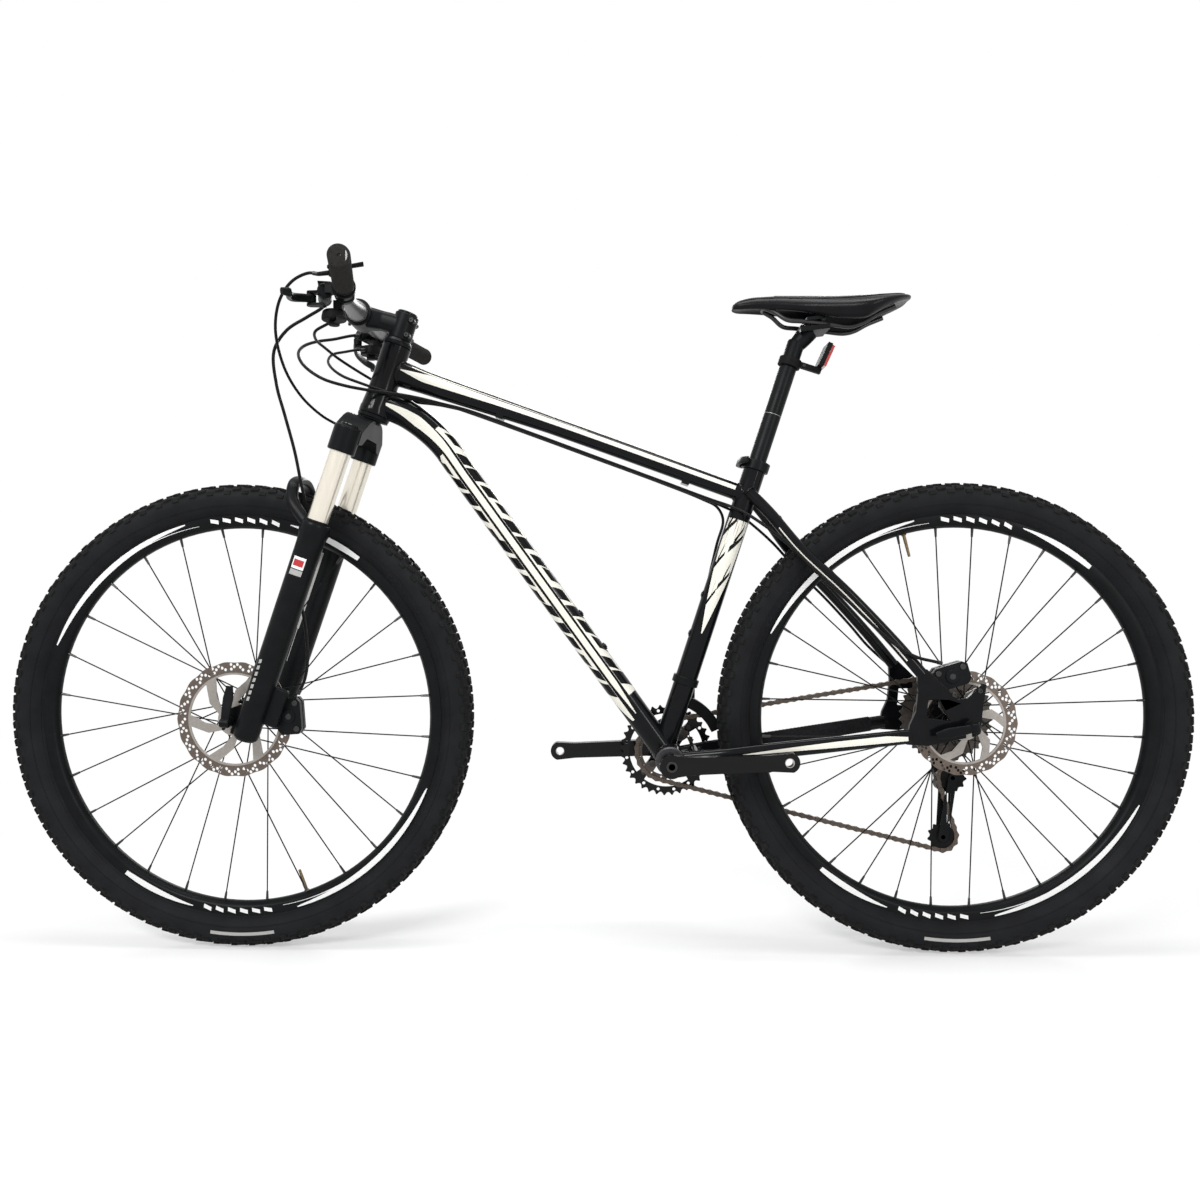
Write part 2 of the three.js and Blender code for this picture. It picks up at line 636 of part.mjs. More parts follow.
const PERCH_PLANE = 146;
const SHIFTER_PLANE = 118;
const leverPivot = (side) => barPoint(side * 128).add(vec(-48, 0, -10));

function brakePerch(side) {
  const ring = barRing(PERCH_PLANE - 7, PERCH_PLANE + 7, side, BAR_RADIUS + 6);
  const cylinderStart = barPoint(side * 98).add(vec(-30, 0, -4));
  const cylinderEnd = barPoint(side * PERCH_PLANE).add(vec(-27, 0, -3));
  const master = rod(cylinderStart, cylinderEnd, 9, 12, 11);
  const neck = block(barPoint(side * PERCH_PLANE).add(vec(-20, 0, -1)), [12, 16, 16]);
  const pivot = leverPivot(side);
  const ear = (z) => block(vec(pivot.x + 9, pivot.y, z), [24, 16, 3.5]);
  const hinge = rod(pivot.clone().add(vec(0, 0, -10.5)), pivot.clone().add(vec(0, 0, 10.5)), 2.6, 8);
  const body = join(ring, master, neck, ear(pivot.z - 8.8), ear(pivot.z + 8.8), hinge);
  const start = barPoint(side * (BAR_BEND + 2));
  return cut(body, rod(start, barPoint(side * (PERCH_PLANE + 30)), BAR_RADIUS + GAP, 12));
}

function brakeBlade(side) {
  const pivot = leverPivot(side);
  const at = (x, y, z) => pivot.clone().add(vec(x, side * y, z));
  const eye = rod(at(0, 0, -6), at(0, 0, 6), 7, 12);
  const path = [
    at(0, 3, 0), at(-8, 16, -3), at(-13, 40, -9), at(-8, 75, -16), at(2, 104, -21), at(-4, 114, -22),
  ];
  const blade = pipe(smooth(path, 8), [[4.5, 5.5], [3.5, 5.5], [3.5, 6], [4, 6]], UP, 8);
  return cut(join(eye, blade), rod(at(0, 0, -12), at(0, 0, 12), 3.2, 8));
}

function shifterPod(side) {
  const ring = barRing(SHIFTER_PLANE - 6, SHIFTER_PLANE + 6, side, BAR_RADIUS + 4);
  const centre = barPoint(side * SHIFTER_PLANE).add(vec(-18, side * -8, -29.5));
  const pod = rod(centre.clone().add(vec(0, 0, -7.5)), centre.clone().add(vec(0, 0, 7.5)), 18, 12, 16);
  const neck = block(barPoint(side * SHIFTER_PLANE).add(vec(-9, 0, -18)), [14, 12, 15]);
  const clearedFrom = barPoint(side * (BAR_BEND + 2));
  const cleared = rod(clearedFrom, barPoint(side * (SHIFTER_PLANE + 20)), BAR_RADIUS + GAP, 12);
  return cut(join(ring, neck, pod), cleared);
}

const paddlePivot = (side) => barPoint(side * SHIFTER_PLANE).add(vec(-18, side * -8, -41));

function shiftPaddle(side) {
  const pivot = paddlePivot(side);
  const at = (x, y, z) => pivot.clone().add(vec(x, side * y, z));
  const hub = rod(at(0, 0, -3), at(0, 0, 3), 8, 16);
  const path = [at(0, 0, 0), at(12, 14, 0), at(20, 34, -1), at(21, 44, -1)];
  const arm = pipe(path, [[5, 2], [7, 2.4]], UP, 10);
  return join(hub, arm);
}

const LOCKOUT_PLANE = 161;
const lockoutPivot = barPoint(-LOCKOUT_PLANE).add(vec(-14, -2, 18));

function lockoutRemote() {
  const ring = barRing(LOCKOUT_PLANE - 3.5, LOCKOUT_PLANE + 3, -1, BAR_RADIUS + 4);
  const pod = rod(lockoutPivot.clone().add(vec(0, 0, -7)), lockoutPivot.clone().add(vec(0, 0, 3)), 6, 16);
  const hole = rod(barPoint(-LOCKOUT_PLANE + 30), barPoint(-LOCKOUT_PLANE - 30), BAR_RADIUS + GAP, 12);
  return cut(join(ring, pod), hole);
}

function lockoutLever() {
  const at = (x, y, z) => lockoutPivot.clone().add(vec(x, y, z));
  const hub = rod(at(0, 0, 3.5), at(0, 0, 8), 8, 16);
  return join(hub, pipe([at(0, 0, 6), at(16, 6, 8), at(40, 12, 14)], [[4.5, 2], [6.5, 2.5]], UP, 10));
}

addPart(bike, 'handlebar', handlebar(), GREY_ALLOY);
for (const [side, word] of [[-1, 'left'], [1, 'right']]) {
  addPart(bike, `grip_${word}`, grip(side), RUBBER);
  addPart(bike, `brake_perch_${word}`, brakePerch(side), SATIN_BLACK);
  addPart(bike, `brake_lever_${word}`, brakeBlade(side), SATIN_BLACK);
  addPart(bike, `shifter_${word}`, shifterPod(side), MATTE_BLACK);
  addPart(bike, `shift_lever_${word}`, shiftPaddle(side), SATIN_BLACK);
}
addPart(bike, 'lockout_remote', lockoutRemote(), MATTE_BLACK);
addPart(bike, 'lockout_lever', lockoutLever(), MATTE_BLACK);

// ---- wheels ----

function tyre() {
  const bead = RIM_WIDTH / 2 - 2.2;
  const half = TYRE_WIDTH / 2;
  const crown = WHEEL_RADIUS;
  const outside = [
    [RIM_OUTER - 7, bead], [RIM_OUTER + 1, bead], [RIM_OUTER + 18, half - 1], [crown - 12, half - 3],
    [crown, 7],
  ];
  const inside = [[crown - 6, 5], [crown - 24, half - 5], [RIM_OUTER - 7, bead - 3]];
  const mirrored = (points) => points.map(([r, y]) => [r, -y]).reverse();
  return turnedRing([...outside, ...mirrored(outside), ...mirrored(inside), ...inside]);
}

function rim() {
  const half = RIM_WIDTH / 2;
  const outside = [[RIM_OUTER, half], [RIM_OUTER - 12, half], [RIM_INNER, 4]];
  const inside = [[RIM_OUTER - 11, half - 1.8], [RIM_OUTER, half - 1.8]];
  const mirrored = (points) => points.map(([r, y]) => [r, -y]).reverse();
  return turnedRing([...outside, ...mirrored(outside), ...mirrored(inside), ...inside]);
}

// Straight spokes laced three times crossed, from both flanges to the rim's bed.
function spokes(count, leftFlange, rightFlange, flangeRadius) {
  const perSide = count / 2;
  const crossing = (2 * Math.PI * 3) / perSide;
  const reach = RIM_INNER * Math.cos(Math.PI / WHEEL_SIDES) - GAP;
  const rods = [];
  for (let i = 0; i < count; i += 1) {
    const flange = i % 2 === 0 ? leftFlange : rightFlange;
    const leading = Math.floor(i / 2) % 2 === 0 ? 1 : -1;
    const rimAngle = (2 * Math.PI * (i + 0.5)) / count;
    const hubAngle = rimAngle + leading * crossing;
    const hubPlane = flange + leading * 1.6;
    const from = vec(flangeRadius * Math.cos(hubAngle), hubPlane, flangeRadius * Math.sin(hubAngle));
    const to = vec(reach * Math.cos(rimAngle), Math.sign(flange) * 2, reach * Math.sin(rimAngle));
    rods.push(rod(from, to, SPOKE_DIAMETER / 2, 3));
  }
  return rods;
}

function hubShell(profile, count, leftFlange, rightFlange, flangeRadius) {
  const bore = AXLE_RADIUS + GAP;
  const [first, last] = [profile[0][1], profile[profile.length - 1][1]];
  const shell = turnedRing([[bore, first], ...profile, [bore, last]], 12);
  return join(shell, ...spokes(count, leftFlange, rightFlange, flangeRadius));
}

const FRONT_FLANGES = [-26, 35];
const REAR_FLANGES = [-36, 19];
const FLANGE_RADIUS = 28;
const LOCKNUT_LENGTH = 5;

function flange(plane) {
  return [[17, plane - 3], [FLANGE_RADIUS, plane - 3], [FLANGE_RADIUS, plane + 3], [17, plane + 3]];
}

function frontHub() {
  const end = FRONT_HUB_WIDTH / 2 - LOCKNUT_LENGTH - GAP;
  const seatPlane = FRONT_ROTOR_PLANE + ROTOR_THICKNESS / 2 + GAP;
  const profile = [
    [11, -end], [11, seatPlane], [22, seatPlane], [22, -32],
    ...flange(FRONT_FLANGES[0]), ...flange(FRONT_FLANGES[1]), [11, 41], [11, end],
  ];
  return hubShell(profile, FRONT_SPOKES, ...FRONT_FLANGES, FLANGE_RADIUS - 3);
}

function rearHub() {
  const leftEnd = dropoutInner - LOCKNUT_LENGTH - GAP;
  const seatPlane = REAR_ROTOR_PLANE + ROTOR_THICKNESS / 2 + GAP;
  const profile = [
    [11, -leftEnd], [11, seatPlane], [22, seatPlane], [22, -42],
    ...flange(REAR_FLANGES[0]), ...flange(REAR_FLANGES[1]),
  ];
  return hubShell(profile, REAR_SPOKES, ...REAR_FLANGES, FLANGE_RADIUS - 3);
}

// Disc rotor: braking band and six arms to a hub ring, with windows between the arms.
function rotor(radius, plane) {
  const outline = circle(radius, 32);
  outline.holes.push(circle(11.6, 16));
  for (let i = 0; i < 6; i += 1) {
    const start = (i * Math.PI) / 3 + 0.1;
    const end = ((i + 1) * Math.PI) / 3 - 0.1;
    const window = [...arc(radius - 15, start, end, 3), ...arc(26, end - 0.12, start + 0.12, 2)];
    outline.holes.push(polygon(window));
  }
  return plate(outline, plane - ROTOR_THICKNESS / 2, plane + ROTOR_THICKNESS / 2);
}

addPart(frontWheel, 'front_tyre', tyre(), RUBBER);
addPart(frontWheel, 'front_rim', rim(), GLOSS_BLACK);
addPart(frontWheel, 'front_hub', frontHub(), GLOSS_BLACK);
addPart(frontWheel, 'front_rotor', rotor(FRONT_ROTOR_RADIUS, FRONT_ROTOR_PLANE), STEEL);
addPart(rearWheel, 'rear_tyre', tyre(), RUBBER);
addPart(rearWheel, 'rear_rim', rim(), GLOSS_BLACK);
addPart(rearWheel, 'rear_hub', rearHub(), GLOSS_BLACK);
addPart(rearWheel, 'rear_rotor', rotor(REAR_ROTOR_RADIUS, REAR_ROTOR_PLANE), STEEL);

// ---- axles and quick releases, in the wheel groups ----

const QR_CAP_LENGTH = 12;

// Axle with locknuts, a skewer through it, the nut on the right and the cam housing on the left.
function axle(hubWidth, dropoutThickness) {
  const half = hubWidth / 2;
  const outside = half + dropoutThickness + GAP;
  const locknut = (side) => {
    const near = side * (half - GAP);
    const far = side * (half - LOCKNUT_LENGTH);
    return pin([0, 0], 9, Math.min(near, far), Math.max(near, far), 12);
  };
  return join(
    pin([0, 0], AXLE_RADIUS, -half - dropoutThickness + 2, half + dropoutThickness - 2, 12),
    pin([0, 0], 2.5, -outside - 1, outside + 1, 8),
    locknut(-1), locknut(1),
    pin([0, 0], 8, outside, outside + QR_CAP_LENGTH, 12),
    pin([0, 0], 8, -outside - QR_CAP_LENGTH, -outside, 12),
  );
}

// Cam lever whose eye sits outside the cam housing; it points along `reach` when closed.
function qrLever(hubWidth, dropoutThickness, reach) {
  const plane = -(hubWidth / 2 + dropoutThickness + QR_CAP_LENGTH + 2 * GAP + 7);
  const across = reach.clone().cross(ACROSS).normalize();
  const centre = vec(0, plane, 0);
  const eyeEnd = (distance) => centre.clone().addScaledVector(across, distance);
  const eye = rod(eyeEnd(-7), eyeEnd(7), 7, 16);
  const at = (distance, inward) => centre.clone().addScaledVector(reach, distance).add(vec(0, inward, 0));
  const sizes = [[6, 4], [7, 2.5], [8, 2.5], [5, 2]];
  const arm = pipe([at(0, 0), at(18, 1), at(38, 5), at(56, 7)], sizes, ACROSS, 10);
  return join(eye, arm);
}

const FORK_DROPOUT_THICKNESS = 9;
const frontLeverReach = vec(0.1, 0, 0.995).normalize();
const rearLeverReach = vec(-0.97, 0, -0.24).normalize();
const frontLever = qrLever(FRONT_HUB_WIDTH, FORK_DROPOUT_THICKNESS, frontLeverReach);
const rearLever = qrLever(REAR_HUB_WIDTH, DROPOUT_THICKNESS, rearLeverReach);
addPart(frontWheel, 'front_axle', axle(FRONT_HUB_WIDTH, FORK_DROPOUT_THICKNESS), SATIN_BLACK);
addPart(frontWheel, 'front_qr_lever', frontLever, SATIN_BLACK);
addPart(rearWheel, 'rear_axle', axle(REAR_HUB_WIDTH, DROPOUT_THICKNESS), SATIN_BLACK);
addPart(rearWheel, 'rear_qr_lever', rearLever, SATIN_BLACK);

// ---- brake calipers ----

// Caliper body that straddles the rotor, centred `radius` out at `angle` in the wheel's plane.
function caliper(plane, radius, angle, size) {
  const [x, z] = [radius * Math.cos(angle), radius * Math.sin(angle)];
  const body = block(vec(x, plane, z), size, -angle);
  const bulge = rod(vec(x, plane - size[1] / 2 - 2, z), vec(x, plane + size[1] / 2 + 2, z), 11, 16);
  const depth = radius - size[0] / 4;
  const [slotX, slotZ] = [(depth - 20) * Math.cos(angle), (depth - 20) * Math.sin(angle)];
  const slotSize = [size[0] + 40, ROTOR_THICKNESS + 2.4, size[2] + 30];
  const slot = block(vec(slotX, plane, slotZ), slotSize, -angle);
  return cut(join(body, bulge), slot);
}

const frontCaliper = caliper(FRONT_ROTOR_PLANE, 88, radians(4), [40, 22, 58]);
const rearCaliper = caliper(REAR_ROTOR_PLANE, 75, radians(107), [38, 20, 56]);
addPart(frontWheel, 'front_caliper', frontCaliper, SATIN_BLACK);
addPart(rearWheel, 'rear_caliper', rearCaliper, SATIN_BLACK);

// ---- drivetrain ----

// Toothed outline with three points to a tooth.
function toothed(teeth, tip, root) {
  const points = [];
  const step = (2 * Math.PI) / teeth;
  for (let i = 0; i < teeth; i += 1) {
    for (const [share, radius] of [[0, root], [0.36, tip], [0.64, tip]]) {
      const angle = step * (i + share);
      points.push([radius * Math.cos(angle), radius * Math.sin(angle)]);
    }
  }
  return polygon(points);
}

const cogPlane = (index) => BIG_COG_PLANE + COG_SPACING * index;

// Teeth stay just inside the chain's web, so they turn freely between its side plates.
function sprocket(teeth, plane, bore) {
  const pitch = pitchRadius(teeth);
  const outline = toothed(teeth, pitch - TOOTH_TIP_DROP, pitch - PLATE_HALF_HEIGHT - GAP);
  outline.holes.push(circle(bore));
  return plate(outline, plane - SPROCKET_THICKNESS / 2, plane + SPROCKET_THICKNESS / 2);
}

function cassette() {
  const bore = AXLE_RADIUS + GAP;
  const low = REAR_FLANGES[1] + 3 + GAP;
  const high = dropoutInner - LOCKNUT_LENGTH - GAP;
  const body = [[bore, low], [16.5, low]];
  COG_TEETH.slice(CHAIN_COG + 1).forEach((teeth, i) => {
    const plane = cogPlane(CHAIN_COG + 1 + i);
    const radius = pitchRadius(teeth) + 1.5;
    body.push([16.5, plane - COG_SPACING / 2]);
    body.push([radius, plane - COG_THICKNESS / 2], [radius, plane + COG_THICKNESS / 2]);
  });
  body.push([12, high], [bore, high]);
  const largest = toothed(COG_TEETH[0], pitchRadius(COG_TEETH[0]) + 2, pitchRadius(COG_TEETH[0]) - 3);
  largest.holes.push(circle(10));
  return join(
    turnedRing(body, 12),
    plate(largest, BIG_COG_PLANE - COG_THICKNESS / 2, BIG_COG_PLANE + COG_THICKNESS / 2),
    sprocket(COG_TEETH[CHAIN_COG], cogPlane(CHAIN_COG), 10),
  );
}

// Chainring with four bolt tabs inside the toothed band.
function chainring(teeth, plane, tip, root, bandInner, tabInner) {
  const outline = toothed(teeth, tip, root);
  const corners = [
    [-0.34, bandInner], [-0.16, tabInner], [0.16, tabInner], [0.34, bandInner], [0.785, bandInner],
  ];
  const points = [];
  for (let i = 0; i < 4; i += 1) {
    for (const [turn, radius] of corners) {
      const angle = Math.PI / 4 + (i * Math.PI) / 2 + turn;
      points.push([radius * Math.cos(angle), radius * Math.sin(angle)]);
    }
  }
  outline.holes.push(polygon(points));
  return plate(outline, plane - SPROCKET_THICKNESS / 2, plane + SPROCKET_THICKNESS / 2);
}

const SMALL_RING_BOLT_RADIUS = 32;
const LARGE_RING_BOLT_RADIUS = 52;
const SPIDER_BACK = LARGE_RING_PLANE + SPROCKET_THICKNESS / 2 + GAP;
const smallPitch = pitchRadius(SMALL_RING_TEETH);
const largePitch = pitchRadius(LARGE_RING_TEETH);

// One crank arm: a boss at the spindle and a flat-faced blade to the pedal hole.
function crankArm(side, angle, bossInner) {
  const outline = new THREE.Shape();
  outline.absarc(0, 0, 18, Math.PI / 2, (3 * Math.PI) / 2, false);
  outline.lineTo(60, -13);
  outline.lineTo(CRANK_LENGTH - 30, -12.5);
  outline.absarc(CRANK_LENGTH, 0, 15.5, -Math.PI / 2, Math.PI / 2, false);
  outline.lineTo(CRANK_LENGTH - 30, 12.5);
  outline.lineTo(60, 13);
  const outer = side * CRANK_OUTER_FACE;
  const inner = side * (CRANK_OUTER_FACE - CRANK_THICKNESS);
  const blade = plate(outline, Math.min(inner, outer), Math.max(inner, outer), 3).rotateY(-angle);
  const boss = pin([0, 0], 18, Math.min(side * bossInner, outer), Math.max(side * bossInner, outer));
  const hole = pin([CRANK_LENGTH, 0], PEDAL_HOLE_RADIUS, -100, 100, 16).rotateY(-angle);
  return cut(join(blade, boss), hole);
}

const crankAngle = radians(CRANK_REST_ANGLE);
const LEFT_BOSS_INNER = BB_SHELL_WIDTH / 2 + BB_CUP_WIDTH + GAP + 2;

function crankLeft() {
  const arm = crankArm(-1, crankAngle, LEFT_BOSS_INNER);
  return cut(arm, pin([0, 0], SPINDLE_RADIUS + GAP, -CRANK_OUTER_FACE + 6, 0));
}

function crankRight() {
  const arm = crankArm(1, crankAngle + Math.PI, SPIDER_BACK);
  const spindle = pin([0, 0], SPINDLE_RADIUS, -CRANK_OUTER_FACE + 6 + GAP, SPIDER_BACK + 2);
  const boltEnd = SMALL_RING_PLANE + SPROCKET_THICKNESS / 2 + GAP;
  const spider = [];
  for (let i = 0; i < 4; i += 1) {
    const angle = Math.PI / 4 + (i * Math.PI) / 2;
    const [c, s] = [Math.cos(angle), Math.sin(angle)];
    const reach = LARGE_RING_BOLT_RADIUS + 5;
    spider.push(block(vec((c * reach) / 2, SPIDER_BACK + 4, (s * reach) / 2), [reach, 8, 15], -angle));
    const bolt = [c * SMALL_RING_BOLT_RADIUS, s * SMALL_RING_BOLT_RADIUS];
    spider.push(pin(bolt, 4.5, boltEnd, SPIDER_BACK + 2, 8));
  }
  return join(arm, spindle, pin([0, 0], 24, SPIDER_BACK, SPIDER_BACK + 8), ...spider);
}

function bottomBracketUnit() {
  const shell = BB_SHELL_WIDTH / 2;
  const sleeve = pin([0, 0], 17 - GAP, -shell - 1, shell + 1);
  const cups = [-1, 1].map((side) => {
    const near = side * (shell + GAP);
    const far = side * (shell + BB_CUP_WIDTH);
    return pin([0, 0], BB_CUP_RADIUS, Math.min(near, far), Math.max(near, far));
  });
  return cut(join(sleeve, ...cups), pin([0, 0], SPINDLE_RADIUS + GAP, -60, 60));
}

function smallRing() {
  const [tip, root] = [smallPitch - TOOTH_TIP_DROP, smallPitch - PLATE_HALF_HEIGHT - GAP];
  return chainring(SMALL_RING_TEETH, SMALL_RING_PLANE, tip, root, 38, 27);
}

function largeRing() {
  return chainring(LARGE_RING_TEETH, LARGE_RING_PLANE, largePitch + 2.8, largePitch - 3.8, 60, 46);
}

addPart(rearWheel, 'cassette', cassette(), BROWN_STEEL);
addPart(cranks, 'bottom_bracket', bottomBracketUnit(), GREY_ALLOY);
addPart(cranks, 'crank_left', crankLeft(), GLOSS_BLACK);
addPart(cranks, 'crank_right', crankRight(), GLOSS_BLACK);
addPart(cranks, 'chainring_small', smallRing(), STEEL);
addPart(cranks, 'chainring_large', largeRing(), SATIN_BLACK);

// ---- chain ----

// Wheels that the chain runs on, in order; sense is +1 where its inner side touches the wheel.
const chainPlane = cogPlane(CHAIN_COG);
const chainWheel = (centre, teeth, plane, sense) => ({ centre, radius: pitchRadius(teeth), plane, sense });
const bbCentre = [bottomBracket.x, bottomBracket.z];
const small = chainWheel(bbCentre, SMALL_RING_TEETH, SMALL_RING_PLANE, 1);
const tension = chainWheel(fromRearAxle(TENSION_PULLEY), PULLEY_TEETH, chainPlane, 1);
const guide = chainWheel(fromRearAxle(GUIDE_PULLEY), PULLEY_TEETH, chainPlane, -1);
const cog = chainWheel([0, WHEEL_RADIUS], COG_TEETH[CHAIN_COG], chainPlane, 1);
const chainWheels = [small, tension, guide, cog];
const STRAIGHT_BEFORE_SLANT = 26;

// Heading of the straight run that leaves one wheel and reaches the next.
function runHeading(from, to) {
  const dx = to.centre[0] - from.centre[0];
  const dz = to.centre[1] - from.centre[1];
  const lift = from.sense * from.radius - to.sense * to.radius;
  return Math.atan2(dz, dx) + Math.asin(lift / Math.hypot(dx, dz));
}

const chainPoint = (wheel, heading) => ({
  x: wheel.centre[0] + wheel.sense * wheel.radius * Math.sin(heading),
  z: wheel.centre[1] - wheel.sense * wheel.radius * Math.cos(heading),
  y: wheel.plane,
  heading,
});

// Stations round one wheel, and the two points where the following run starts and ends its slant.
function chainStations(wheel, previous, next) {
  const arrive = runHeading(previous, wheel);
  const leave = runHeading(wheel, next);
  const fullTurn = 2 * Math.PI;
  const swept = ((wheel.sense * (leave - arrive)) % fullTurn) + fullTurn;
  const turn = wheel.sense * (swept % fullTurn);
  const steps = Math.ceil(Math.abs(turn) / radians(wheel.radius > 30 ? 15 : 20));
  const stations = [];
  for (let i = 0; i <= steps; i += 1) {
    stations.push(chainPoint(wheel, arrive + (turn * i) / steps));
  }
  if (wheel.plane !== next.plane) {
    const [start, end] = [chainPoint(wheel, leave), chainPoint(next, leave)];
    for (const [base, distance] of [[start, STRAIGHT_BEFORE_SLANT], [end, -STRAIGHT_BEFORE_SLANT]]) {
      const [dx, dz] = [Math.cos(leave) * distance, Math.sin(leave) * distance];
      stations.push({ ...base, x: base.x + dx, z: base.z + dz });
    }
  }
  return stations;
}

function chainSolid() {
  const [outer, inner, web] = [CHAIN_HALF_WIDTH, CHAIN_INNER_HALF_WIDTH, CHAIN_WEB_HALF];
  const tall = PLATE_HALF_HEIGHT;
  const quarter = [[outer, tall], [inner, tall], [inner, web]];
  const section = [
    ...quarter,
    ...quarter.map(([y, n]) => [-y, n]).reverse(),
    ...quarter.map(([y, n]) => [-y, -n]),
    ...quarter.map(([y, n]) => [y, -n]).reverse(),
  ];
  const count = chainWheels.length;
  const stations = chainWheels.flatMap((wheel, i) => {
    return chainStations(wheel, chainWheels[(i + count - 1) % count], chainWheels[(i + 1) % count]);
  });
  const rings = stations.map(({ x, y, z, heading }) => section.map(([across, out]) => {
    return vec(x + out * Math.sin(heading), y + across, z - out * Math.cos(heading));
  }));
  return loft(rings, true);
}

addPart(bike, 'chain', chainSolid(), BROWN_STEEL);

// ---- rear derailleur ----

const pulleyBore = 2.8;
const CAGE_INNER_GAP = CHAIN_HALF_WIDTH + 1;
const pivotPoint = fromRearAxle(CAGE_PIVOT);

function cagePlate(low, high) {
  const [g, t, p] = [guide.centre, tension.centre, pivotPoint];
  return join(
    pin(g, 7, low, high, 12), pin(t, 8, low, high, 12), pin(p, 9, low, high, 12),
    block(vec((g[0] + t[0]) / 2, (low + high) / 2, (g[1] + t[1]) / 2),
      [11, high - low, Math.hypot(g[0] - t[0], g[1] - t[1])], Math.atan2(g[0] - t[0], g[1] - t[1])),
  );
}

function derailleurCage() {
  const outer = cogPlane(CHAIN_COG) + CAGE_INNER_GAP;
  const inner = cogPlane(CHAIN_COG) - CAGE_INNER_GAP;
  const boltRadius = pulleyBore - GAP;
  return join(
    cagePlate(outer, outer + 1.8), cagePlate(inner - 1.6, inner),
    pin(guide.centre, boltRadius, inner - 1, outer + 1, 8),
    pin(tension.centre, boltRadius, inner - 1, outer + 1, 8),
  );
}

function pulley(wheel) {
  const [tip, root] = [wheel.radius - TOOTH_TIP_DROP, wheel.radius - PLATE_HALF_HEIGHT - GAP];
  const outline = toothed(PULLEY_TEETH, tip, root);
  outline.holes.push(circle(pulleyBore, 12));
  const half = SPROCKET_THICKNESS / 2;
  const [x, z] = wheel.centre;
  return plate(outline, chainPlane - half, chainPlane + half).translate(x, 0, z);
}

function derailleurBody() {
  const cageFace = cogPlane(CHAIN_COG) + CAGE_INNER_GAP + 1.8 + GAP;
  const hanger = fromRearAxle(HANGER_BOLT);
  const outside = dropoutInner + DROPOUT_THICKNESS + GAP;
  const knuckle = pin(pivotPoint, 12, cageFace, cageFace + 20, 16);
  const [knuckleX, knuckleZ] = pivotPoint;
  const link = pipe(
    [vec(knuckleX, cageFace + 12, knuckleZ + 4), vec(knuckleX + 2, cageFace + 36, knuckleZ + 30),
      vec(hanger[0] - 4, outside + 9, hanger[1] - 31), vec(hanger[0], outside + 9, hanger[1] - 6)],
    [[7, 11], [7, 10], [6.5, 9]], vec(1, 0, 0), 10,
  );
  const mount = pin(hanger, 10, outside, outside + 14, 16);
  return join(knuckle, link, mount);
}

addPart(bike, 'derailleur_body', derailleurBody(), SATIN_BLACK);
addPart(bike, 'derailleur_cage', derailleurCage(), SATIN_BLACK);
addPart(bike, 'upper_pulley', pulley(guide), MATTE_BLACK);
addPart(bike, 'lower_pulley', pulley(tension), MATTE_BLACK);

// ---- front derailleur ----

const FRONT_CLAMP_HEIGHT = 126; // up the seat tube
const FRONT_CAGE_INNER_RADIUS = largePitch + 6;
const FRONT_CAGE_OUTER_RADIUS = largePitch + 24;
const FRONT_CAGE_OUTER_FACE = SMALL_RING_PLANE + CHAIN_HALF_WIDTH + 0.8;
const FRONT_CAGE_INNER_FACE = FRONT_CAGE_OUTER_FACE - 2 * CHAIN_HALF_WIDTH - FRONT_CAGE_TRAVEL - 1.2;

function arcBand(inner, outer, from, to) {
  const [start, end] = [radians(from), radians(to)];
  return polygon([...arc(outer, start, end, 8), ...arc(inner, end, start, 8)]);
}

function frontDerailleurCage() {
  const side = arcBand(FRONT_CAGE_INNER_RADIUS, FRONT_CAGE_OUTER_RADIUS, 24, 80);
  const roof = arcBand(FRONT_CAGE_OUTER_RADIUS - 2, FRONT_CAGE_OUTER_RADIUS, 50, 80);
  const tailRadius = FRONT_CAGE_INNER_RADIUS + 1.8;
  const tail = [tailRadius * Math.cos(radians(27)), tailRadius * Math.sin(radians(27))];
  const [inner, outer] = [FRONT_CAGE_INNER_FACE, FRONT_CAGE_OUTER_FACE];
  return join(
    plate(side, outer, outer + 1.6), plate(side, inner - 1.6, inner), plate(roof, inner - 0.5, outer + 0.5),
    pin(tail, 1.6, inner - 1, outer + 1, 10),
  );
}

function frontDerailleurBody() {
  const centre = seatPoint(FRONT_CLAMP_HEIGHT).sub(bottomBracket);
  const half = seatUp.clone().multiplyScalar(6);
  const ring = rod(centre.clone().sub(half), centre.clone().add(half), SEAT_TUBE_RADIUS + 3.5);
  const reach = FRONT_CAGE_INNER_FACE - 1.6 - GAP;
  const near = SEAT_TUBE_RADIUS + 1;
  const body = block(vec(centre.x + 4, (near + reach) / 2, centre.z - 14), [26, reach - near, 34]);
  const [low, high] = [50, FRONT_CLAMP_HEIGHT + 50].map((height) => seatPoint(height).sub(bottomBracket));
  const tube = rod(low, high, SEAT_TUBE_RADIUS + GAP);
  return cut(join(ring, body), tube);
}

addPart(cranks, 'front_derailleur_cage', frontDerailleurCage(), GREY_ALLOY);
addPart(cranks, 'front_derailleur_body', frontDerailleurBody(), SATIN_BLACK);

// ---- seat collar, seatpost, saddle and reflector: in the seat group, +Z along the seat tube ----

const COLLAR_HEIGHT = 15;
const collarMiddle = SEAT_TUBE_LENGTH - COLLAR_HEIGHT / 2 - 1;
const collarPin = [-21, SEAT_TUBE_RADIUS + 10]; // X and Y of the lever's pin

